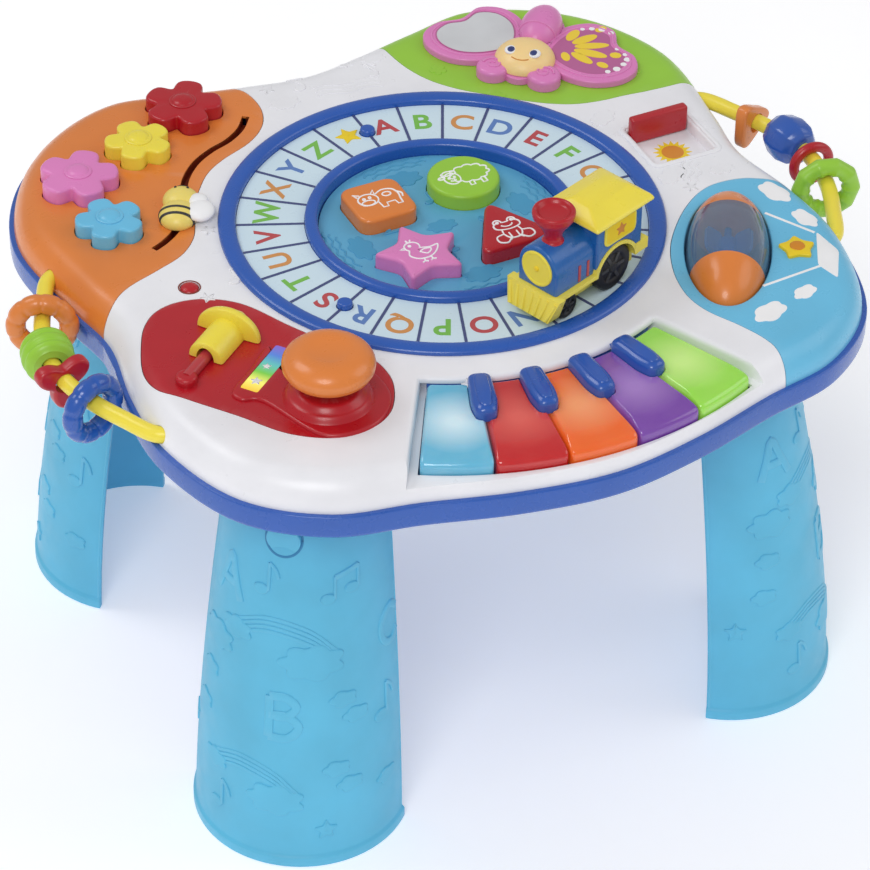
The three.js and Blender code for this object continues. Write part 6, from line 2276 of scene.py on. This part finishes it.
def build_beads():
    kinds = bead_kinds()
    for side, name in ((-1, "left"), (1, "right")):
        bar = tube(bar_path(side), BAR_RADIUS, 28)
        piece("bar_" + name, bar, "yellow", nodes=["bead_bar_" + name])
    for name, side, share, paint, kind in BEADS:
        form, hole = kinds[kind]
        spot, way = along_path(bar_path(side, 16), share)
        turn = math.degrees(math.atan2(way.y, way.x))
        hang = hole - BAR_RADIUS - GAP
        where = placed(spot.x, spot.y, spot.z - hang, turn) @ Matrix.Rotation(math.pi / 2, 4, "Y")
        edge = BARREL_EDGE if kind == "barrel" else 0
        piece(name + "_bead", form.laid(where), paint, name, [name], edge=edge, sharp=30)


# Train, in its own frame: +X ahead, z = 0 on the letter ring

TRAIN_ANGLE = -69.5
FRONT_WHEEL = 9
REAR_WHEEL = 16.5
FRONT_AXLE_X = 22
REAR_AXLE_X = -21
WHEEL_OUTER = 17
WHEEL_WIDTH = 6
FRAME_HALF = 10.4
FRAME_LOW = 6.5
FRAME_TOP = 21.6
FRAME_REAR = -46
FRAME_FRONT = 36
BOARD_HALF = 19
BOARD_THICKNESS = 3
ARCH_RADIUS = 20.5
ARCH_THICKNESS = 2.5
BUMPER_REAR = -51
BUMPER_HEIGHT = 8
COW_FRONT = 42
COW_LOW_HALF = 17
COW_TOP_HALF = 22
COW_LOW = 6
BOILER_RADIUS = 16
BOILER_HEIGHT = 36
BOILER_FRONT = 34
CAB_FRONT = -2
CAB_REAR = -45
CAB_HALF = 18.5
CAB_TOP = 57
ROOF_FRONT = 4
ROOF_REAR = -51
ROOF_HALF = 23
ROOF_RISE = 11
RIDGE_HALF = 13
CHIMNEY_X = 20
CHIMNEY_TOP = 75
CHIMNEY_NECK = 5.7
CHIMNEY_FLARE = 14
AXLE_HOLE = 2.3
AXLE_RADIUS = 2
COW_DEPTH = 5
COW_RIB_RADIUS = 1.2
COW_RIB_SHARE = 0.29
COW_RIB_TOP = (-4.6, -2.4)
COW_RIB_FOOT = (0.2, 1)
FRAME_ROUND = 0.7
CAB_ROUND = 1.4
BOILER_REAR = CAB_REAR + 4
BOILER_ROUND = 1.8
DISC_RISE = 0.5
STRIPE_PLACES = (4, 12)
STRIPE_HALF = 1
STRIPE_FOOT = 1.5
STRIPE_SINK = 0.5
STRIPE_RISE = 0.45
PANE_PLACE = (-23, 39)
PANE_CORNERS = ((-15, 0), (15, 0), (15, 17), (-15, 17))
PANE_CORNER = 5
PANE_INSET = 1.8
PANE_STAR = (5.2, 2.6, 5, 0.6, 0, 8.6)

# How far the window's frame, pane and star stand, as (low, high, edge)
PANE_FRAME_LEVELS = (-1, 0.9, 0.5)
PANE_LEVELS = (0, 1.05, 0.2)
PANE_STAR_LEVELS = (0.5, 1.4, 0.3)
EAVE_HEIGHT = 3
ROOF_SHOULDER = 9
ROOF_SHOULDER_RUN = 6
RIDGE_WIDTH = 4
ROOF_ROUND = 1.6
CHIMNEY_FOOT = BOILER_HEIGHT + BOILER_RADIUS - 1.2
CHIMNEY_LIP = CHIMNEY_TOP - 6
CHIMNEY_ROUND = 1.5
TYRE_ROUND = 0.5
WHEEL_SPOKES = 6
SPOKE_SHARES = (0.2, 0.66, 0.07)
SPOKE_LEVELS = (0.9, 2.2)

# A wheel's profile, as (share of its radius, less radius, height)
WHEEL_PROFILE = (
    (0.62, 0, 1.2), (0.58, 0, 1.8), (0.26, 0, 1.4), (0.2, 0, 0), (0, 0, 0), (0, 0, WHEEL_WIDTH),
    (0.3, 0, WHEEL_WIDTH), (1, 0, WHEEL_WIDTH), (1, 0, 1.6), (1, 1.2, 0.6), (0.7, 0, 0.6),
    (0.62, 0, 1.2),
)

# The front disc and its bolt, as (radius, height)
DISC_PROFILE = ((0, -1), (12.4, -1), (12.4, 0.9), (10.8, 1.3), (10, 0.7), (0, 0.7))
BOLT_PROFILE = ((0, 0), (1.8, 0), (1.8, 1.6), (0, 2))

# The chimney from its foot to the floor of its mouth, as (radius, height)
CHIMNEY_PROFILE = (
    (0, CHIMNEY_FOOT), (CHIMNEY_NECK + 2, CHIMNEY_FOOT), (CHIMNEY_NECK, CHIMNEY_FOOT + 2.5),
    (CHIMNEY_NECK, CHIMNEY_FOOT + 6), (CHIMNEY_NECK + 2.4, CHIMNEY_FOOT + 11),
    (CHIMNEY_FLARE - 0.6, CHIMNEY_LIP), (CHIMNEY_FLARE, CHIMNEY_TOP - 1.6),
    (CHIMNEY_FLARE - 1.4, CHIMNEY_TOP), (CHIMNEY_FLARE - 3, CHIMNEY_TOP - 0.6),
    (CHIMNEY_FLARE - 5, CHIMNEY_TOP - 3.2), (0, CHIMNEY_TOP - 3.6),
)

TRAIN = placed(
    CHANNEL_MIDDLE * math.cos(math.radians(TRAIN_ANGLE)),
    CHANNEL_MIDDLE * math.sin(math.radians(TRAIN_ANGLE)),
    RING_TOP + GAP,
    TRAIN_ANGLE - 90,
)


def rectangle(low_x, high_x, half_y):
    return [(low_x, -half_y), (high_x, -half_y), (high_x, half_y), (low_x, half_y)]


def over_axle(radius, low, high):
    """A drum across the train, its middle on the rear axle."""
    return cross(drum(0, 0, radius, low, high, 96)).moved(REAR_AXLE_X, 0, REAR_WHEEL)


def train_chassis():
    board = FRAME_TOP - BOARD_THICKNESS
    reach = ARCH_RADIUS + OVERRUN
    base = solid(box((FRAME_REAR, -FRAME_HALF, FRAME_LOW), (FRAME_FRONT, FRAME_HALF, FRAME_TOP)).laid(TRAIN))
    above = box((REAR_AXLE_X - reach, -reach, board), (REAR_AXLE_X + reach, reach, CHIMNEY_TOP))
    wheel_arch = over_axle(ARCH_RADIUS, -BOARD_HALF - GAP, BOARD_HALF + GAP)
    fuse(base, meet(wheel_arch.laid(TRAIN), above.laid(TRAIN)))
    back = FRAME_FRONT - COW_DEPTH
    cowcatcher = stack([
        (rectangle(back, COW_FRONT, COW_LOW_HALF), COW_LOW),
        (rectangle(back, COW_FRONT - COW_DEPTH, COW_TOP_HALF), FRAME_TOP),
    ])
    footboard = box((CAB_FRONT, -BOARD_HALF, board), (FRAME_FRONT, BOARD_HALF, FRAME_TOP))
    bumper = box((BUMPER_REAR, -BOARD_HALF, board), (REAR_AXLE_X, BOARD_HALF, board + BUMPER_HEIGHT))
    fuse(base, *[form.laid(TRAIN) for form in (footboard, bumper, cowcatcher)])
    rooms = []
    for side in (-1, 1):
        low, high = sorted((side * FRAME_HALF, side * ROOF_HALF))
        rooms.append(over_axle(ARCH_RADIUS - ARCH_THICKNESS, low, high))
    for x, radius in ((FRONT_AXLE_X, FRONT_WHEEL), (REAR_AXLE_X, REAR_WHEEL)):
        rooms.append(cross(drum(0, 0, AXLE_HOLE, -ROOF_HALF, ROOF_HALF)).moved(x, 0, radius))
    return cut(base, *[room.laid(TRAIN) for room in rooms])


def build_train():
    chassis = soften(train_chassis(), FRAME_ROUND, 2)
    piece("train_frame", chassis, "yellow", "train", ["train_chassis"], sharp=35)
    top_x, top_z = COW_RIB_TOP
    foot_x, foot_z = COW_RIB_FOOT
    ribs = []
    for i in range(-3, 4):
        top = Vector((COW_FRONT + top_x, i * COW_TOP_HALF * COW_RIB_SHARE, FRAME_TOP + top_z))
        low = Vector((COW_FRONT + foot_x, i * COW_LOW_HALF * COW_RIB_SHARE, COW_LOW + foot_z))
        ribs.append(tube([top, top.lerp(low, 0.5), low], COW_RIB_RADIUS, 10))
    piece("train_cowcatcher_ribs", merged(ribs).laid(TRAIN), "yellow", "train")
    build_train_body()
    build_train_front()
    build_train_sides()
    build_train_roof()
    form = turned(CHIMNEY_PROFILE, CHIMNEY_ROUND).moved(CHIMNEY_X, 0)
    piece("train_funnel", form.laid(TRAIN), "red", "train", ["train_chimney"])
    build_wheels("front", FRONT_AXLE_X, FRONT_WHEEL)
    build_wheels("rear", REAR_AXLE_X, REAR_WHEEL)


def boiler_section(radius):
    """The boiler's round top on straight sides down to the frame."""
    low = FRAME_TOP + GAP
    turns = [math.pi * i / 40 for i in range(41)]
    arc = [(radius * math.cos(a), BOILER_HEIGHT + radius * math.sin(a)) for a in turns]
    return [*arc, (-radius, low), (radius, low)]


def build_train_body():
    cab = box((CAB_REAR, -CAB_HALF, FRAME_TOP + GAP), (CAB_FRONT, CAB_HALF, CAB_TOP))
    body = soften(cab.laid(TRAIN), CAB_ROUND, 3)
    along = Matrix(((0, 0, 1, 0), (1, 0, 0, 0), (0, 1, 0, 0), (0, 0, 0, 1)))
    levels = [(boiler_section(BOILER_RADIUS), BOILER_REAR)]
    for inward, ahead in quarter(4):
        loop = boiler_section(BOILER_RADIUS - BOILER_ROUND * inward)
        levels.append((loop, BOILER_FRONT - BOILER_ROUND + BOILER_ROUND * ahead))
    fuse(body, stack(levels).laid(along).laid(TRAIN))
    bumper_top = FRAME_TOP - BOARD_THICKNESS + BUMPER_HEIGHT + GAP
    room = box((BUMPER_REAR, -ROOF_HALF, FRAME_LOW), (REAR_AXLE_X, ROOF_HALF, bumper_top))
    cut(body, over_axle(ARCH_RADIUS + GAP, -ROOF_HALF, ROOF_HALF).laid(TRAIN), room.laid(TRAIN))
    piece("train_cab", body, "train_blue", "train", ["train_body"], sharp=32)


def build_train_front():
    for name, profile, edge, sides, paint in (
        ("train_front_disc", DISC_PROFILE, 0.5, 64, "yellow"),
        ("train_front_bolt", BOLT_PROFILE, 0.6, 24, "print_yellow"),
    ):
        form = lengthwise(turned(profile, edge, sides)).moved(BOILER_FRONT, 0, BOILER_HEIGHT + DISC_RISE)
        piece(name, form.laid(TRAIN), paint, "train")


def build_train_sides():
    """Stripes on the boiler, and a window with a star on each side of the cab."""
    pane_x, pane_z = PANE_PLACE
    frame_loop = rounded(PANE_CORNERS, PANE_CORNER, 6, closed=True)
    window = cushion(frame_loop, *PANE_FRAME_LEVELS)
    pane = cushion(outset(frame_loop, -PANE_INSET), *PANE_LEVELS)
    motif = cushion(star(*PANE_STAR), *PANE_STAR_LEVELS)
    low = FRAME_TOP + STRIPE_FOOT
    high = BOILER_HEIGHT - STRIPE_HALF
    inner = BOILER_RADIUS - STRIPE_SINK
    outer = BOILER_RADIUS + STRIPE_RISE
    stripes = []
    placings = []
    for side in (-1, 1):
        for x in STRIPE_PLACES:
            stripe = box((x - STRIPE_HALF, inner, low), (x + STRIPE_HALF, outer, high))
            stripes.append(stripe.laid(Matrix.Diagonal((1, side, 1, 1))))
        rows = ((1, 0, 0, pane_x), (0, 0, side, side * CAB_HALF), (0, 1, 0, pane_z), (0, 0, 0, 1))
        placings.append(Matrix(rows))
    piece("train_stripes", merged(stripes).laid(TRAIN), "red", "train")
    for name, form, paint in (
        ("train_window_frames", window, "yellow"), ("train_window_panes", pane, "print_yellow"),
        ("train_window_stars", motif, "letter_orange"),
    ):
        pair = merged(form.laid(placing) for placing in placings)
        piece(name, pair.laid(TRAIN), paint, "train")


def build_train_roof():
    """A roof that slopes from its eaves up to a short ridge."""
    eave = CAB_TOP + GAP
    middle = (ROOF_FRONT + ROOF_REAR) / 2
    shoulder = RIDGE_HALF + ROOF_SHOULDER_RUN
    levels = [
        (rectangle(ROOF_REAR, ROOF_FRONT, ROOF_HALF), eave),
        (rectangle(ROOF_REAR, ROOF_FRONT, ROOF_HALF), eave + EAVE_HEIGHT),
        (rectangle(middle - shoulder, middle + shoulder, ROOF_SHOULDER), eave + ROOF_SHOULDER),
        (rectangle(middle - RIDGE_HALF, middle + RIDGE_HALF, RIDGE_WIDTH / 2), eave + ROOF_RISE),
    ]
    roof = soften(stack(levels).laid(TRAIN), ROOF_ROUND, 4)
    piece("train_roof_cap", roof, "yellow", "train", ["train_roof"], sharp=30)


def build_wheels(name, x, radius):
    """An axle with a spoked wheel on each end, its detail on the outside."""
    body = "train_" + name + "_axle"
    tyre = turned([(radius * share - less, height) for share, less, height in WHEEL_PROFILE], TYRE_ROUND)
    start, end, half = [radius * share for share in SPOKE_SHARES]
    bar = box((start, -half, SPOKE_LEVELS[0]), (end, half, SPOKE_LEVELS[1]))
    wheel = merged([tyre, *[bar.moved(turn=360 / WHEEL_SPOKES * i) for i in range(WHEEL_SPOKES)]])
    axle = cross(drum(0, 0, AXLE_RADIUS, -WHEEL_OUTER + 1, WHEEL_OUTER - 1))
    outward = Matrix.Rotation(math.pi, 4, "X") @ Matrix.Rotation(math.pi / 2, 4, "X")
    ends = []
    for side in (-1, 1):
        place_side = Matrix.Translation((0, side * WHEEL_OUTER, 0)) @ Matrix.Diagonal((1, -side, 1, 1))
        ends.append(wheel.laid(place_side @ outward))
    form = merged([axle, *ends]).moved(x, 0, radius)
    piece(body + "_wheels", form.laid(TRAIN), "black", body, [body])


# Reliefs and prints on the top

PRINT_RISE = 0.35
PRINT_EDGE = 0.2
TOP_RELIEF = 0.5
TOP_STAR = (6, 2.8, 5, 1)
BLOSSOM_RADIUS = 6
KITE_STAR = (192.1, -127.7)
KITE_TURN = -20
KITE_LINES = (((193.6, -84.2), (211.7, -117)), ((152.1, -152.9), (196, -150)))
KITE_TAIL = ((212.9, -116.8), (195.4, -148.5), (199.8, -166.1), (216.7, -139.4))
KITE_TAIL_CORNER = 3
KITE_LINE_HALF = 1
KITE_LINE_EDGE = 0.3
KITE_SAIL = (13, 8.4, 5, 2.4)
KITE_MIDDLE_RADIUS = 5

# How far the kite's sail and its middle stand, as (low, high, edge, crown)
KITE_SAIL_LEVELS = (-RELIEF_SINK, 2.4, 1.2, 0.6)
KITE_MIDDLE_LEVELS = (1, 3.4, 0.8, 0.4)

# Printed clouds on the blue panel, as (x, y, width, turn)
BLUE_CLOUDS = (
    (211.5, -66.4, 24, 105), (214.4, -100.3, 20, 100), (173, -170, 17, 20), (142.2, -178.7, 24, 20),
)

# Raised motifs on the white top, as (kind, size, x, y, turn)
TOP_MOTIFS = (
    ("stave", 46, -12, 164, -8), ("note", 17, -19, 178, 20), ("note", 14, 34, 172, 20),
    ("star", TOP_STAR, -40, 186, 10), ("cloud", 20, -36, 166, 0), ("star", TOP_STAR, 22, 192, 20),
    ("cloud", 16, 42, 190, 0), ("cloud", 22, 159.7, -20.3, 30), ("stave", 22, 172, -34, 60),
    ("cloud", 16, 193.1, -28.5, 0), ("star", TOP_STAR, 164, -38, 0), ("cloud", 20, 150, 58, 30),
    ("star", TOP_STAR, -142, 54, 0), ("star", TOP_STAR, -172, -12, 0),
    ("star", TOP_STAR, -62, -162, 0), ("note", 14, -150, -4, 0),
)

# Small flowers on the green panel, as (x, y, turn)
BLOSSOMS = ((76, 158, 10), (98, 112, 40), (168, 128, 0), (196, 100, 20), (124, 190, 60))

OUTLINE_SPOTS = table_outline(0, 24)
OUTLINE_TREE = kdtree.KDTree(len(OUTLINE_SPOTS))
for number, spot in enumerate(OUTLINE_SPOTS):
    OUTLINE_TREE.insert((*spot, 0), number)
OUTLINE_TREE.balance()


def skin_height(x, y):
    """The height of the top's skin at a place, lower on the shoulder."""
    inward = OUTLINE_TREE.find((x, y, 0))[2]
    share = 1 - min(1, inward / SHOULDER_RUN)
    return RIM_DROP * (math.sqrt(1 - share * share) - 1)


def draped(form):
    """A flat form laid on the top and down its shoulder."""
    return Form([(p.x, p.y, p.z + skin_height(p.x, p.y)) for p in form.points], form.faces)


def build_top_reliefs():
    reliefs = merged(
        motif(kind, size, TOP_RELIEF).moved(x, y, 0, turn) for kind, size, x, y, turn in TOP_MOTIFS
    )
    piece("top_reliefs", draped(reliefs), "white")
    blossom = raised_patch(flower_loop(BLOSSOM_RADIUS), TOP_RELIEF)
    blossoms = merged(blossom.moved(x, y, 0, turn) for x, y, turn in BLOSSOMS)
    piece("green_reliefs", draped(blossoms), "green")


def puffy_cloud(width):
    """A printed cloud with a few round lobes."""
    return cushion(cloud(width, 5, 0.12), -RELIEF_SINK, PRINT_RISE, PRINT_EDGE)


def build_blue_prints():
    """White clouds and a kite with its two lines on the blue panel."""
    clouds = merged(puffy_cloud(width).moved(x, y, 0, turn) for x, y, width, turn in BLUE_CLOUDS)
    piece("cloud_prints", draped(clouds), "print_white")
    parts = []
    for start, end in KITE_LINES:
        path = [Vector(start).lerp(Vector(end), step / 8) for step in range(9)]
        parts.append(raised_band(path, KITE_LINE_HALF, PRINT_RISE, KITE_LINE_EDGE))
    tail = rounded(counter_clockwise(KITE_TAIL), KITE_TAIL_CORNER, 5, closed=True)
    parts.append(cushion(tail, -RELIEF_SINK, PRINT_RISE, PRINT_EDGE))
    piece("kite_prints", draped(merged(parts)), "print_white")
    sail = cushion(star(*KITE_SAIL), *KITE_SAIL_LEVELS)
    piece("kite_star", draped(sail.moved(*KITE_STAR, 0, KITE_TURN)), "print_yellow")
    middle = cushion(circle(0, 0, KITE_MIDDLE_RADIUS), *KITE_MIDDLE_LEVELS)
    piece("kite_middle", draped(middle.moved(*KITE_STAR)), "print_orange")


# Parts that keep their solid

def dress_nodes():
    for name, paint in (
        ("base_shell", "rail_blue"), ("battery_door", "rail_blue"), ("circuit_board", "board"),
        ("speaker", "black"), ("power_switch", "black"),
    ):
        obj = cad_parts[name]
        obj.data.materials.clear()
        obj.data.materials.append(PAINTS[paint])


# Floor, light and camera, their places in metres

FLOOR_HALF = 6
LIGHT_AIM = (0, 0, 0.3)

# The lights, as (name, place, size, power)
LIGHTS = (
    ("key", (-1.6, -2.0, 2.8), 1.6, 42),
    ("fill", (2.4, -1.0, 2.0), 2.0, 13),
    ("back", (-1.5, 1.5, 3.0), 1.6, 22),
)
WORLD_STRENGTH = 0.44
CAMERA_PLACE = (-0.9603, -1.8697, 1.8321)
CAMERA_HEADING = 62.858
CAMERA_PITCH = -38.732
CAMERA_ROLL = 0.975
CAMERA_LENS = 165.5
SENSOR_WIDTH = 36


def build_floor():
    mesh = bpy.data.meshes.new("floor")
    corners = [(x, y, 0) for x, y in rectangle(-FLOOR_HALF, FLOOR_HALF, FLOOR_HALF)]
    mesh.from_pydata(corners, [], [(0, 1, 2, 3)])
    floor = bpy.data.objects.new("floor", mesh)
    bpy.context.scene.collection.objects.link(floor)
    mesh.materials.append(floor_material())


def add_light(name, place_at, size, energy):
    data = bpy.data.lights.new(name, "AREA")
    data.shape = "DISK"
    data.size = size
    data.energy = energy
    lamp = bpy.data.objects.new(name, data)
    bpy.context.scene.collection.objects.link(lamp)
    lamp.location = place_at
    lamp.rotation_euler = (Vector(LIGHT_AIM) - Vector(place_at)).to_track_quat("-Z", "Y").to_euler()


def build_light():
    world = bpy.data.worlds.new("studio")
    world.use_nodes = True
    background = world.node_tree.nodes["Background"]
    set_inputs(background, {"Color": (1, 1, 1, 1), "Strength": WORLD_STRENGTH})
    bpy.context.scene.world = world
    for light in LIGHTS:
        add_light(*light)
    bpy.context.scene.view_settings.view_transform = "Standard"


def build_camera():
    heading = math.radians(CAMERA_HEADING)
    pitch = math.radians(CAMERA_PITCH)
    level = math.cos(pitch)
    ahead = Vector((level * math.cos(heading), level * math.sin(heading), math.sin(pitch)))
    data = bpy.data.cameras.new("camera")
    data.lens = CAMERA_LENS
    data.sensor_width = SENSOR_WIDTH
    camera = bpy.data.objects.new("camera", data)
    bpy.context.scene.collection.objects.link(camera)
    turn = ahead.to_track_quat("-Z", "Y").to_matrix() @ Matrix.Rotation(math.radians(CAMERA_ROLL), 3, "Z")
    camera.matrix_world = Matrix.Translation(CAMERA_PLACE) @ turn.to_4x4()
    bpy.context.scene.camera = camera


build_camera()
build_top()
build_panels()
build_band()
build_legs()
build_track()
build_letters()
build_centre()
build_flowers()
build_bee()
build_slot_liner()
build_lamp()
build_window()
build_arrow()
build_lever()
build_peek()
build_keys()
build_sharps()
build_egg()
build_butterfly()
build_beads()
build_train()
build_top_reliefs()
build_blue_prints()
dress_nodes()
build_floor()
build_light()
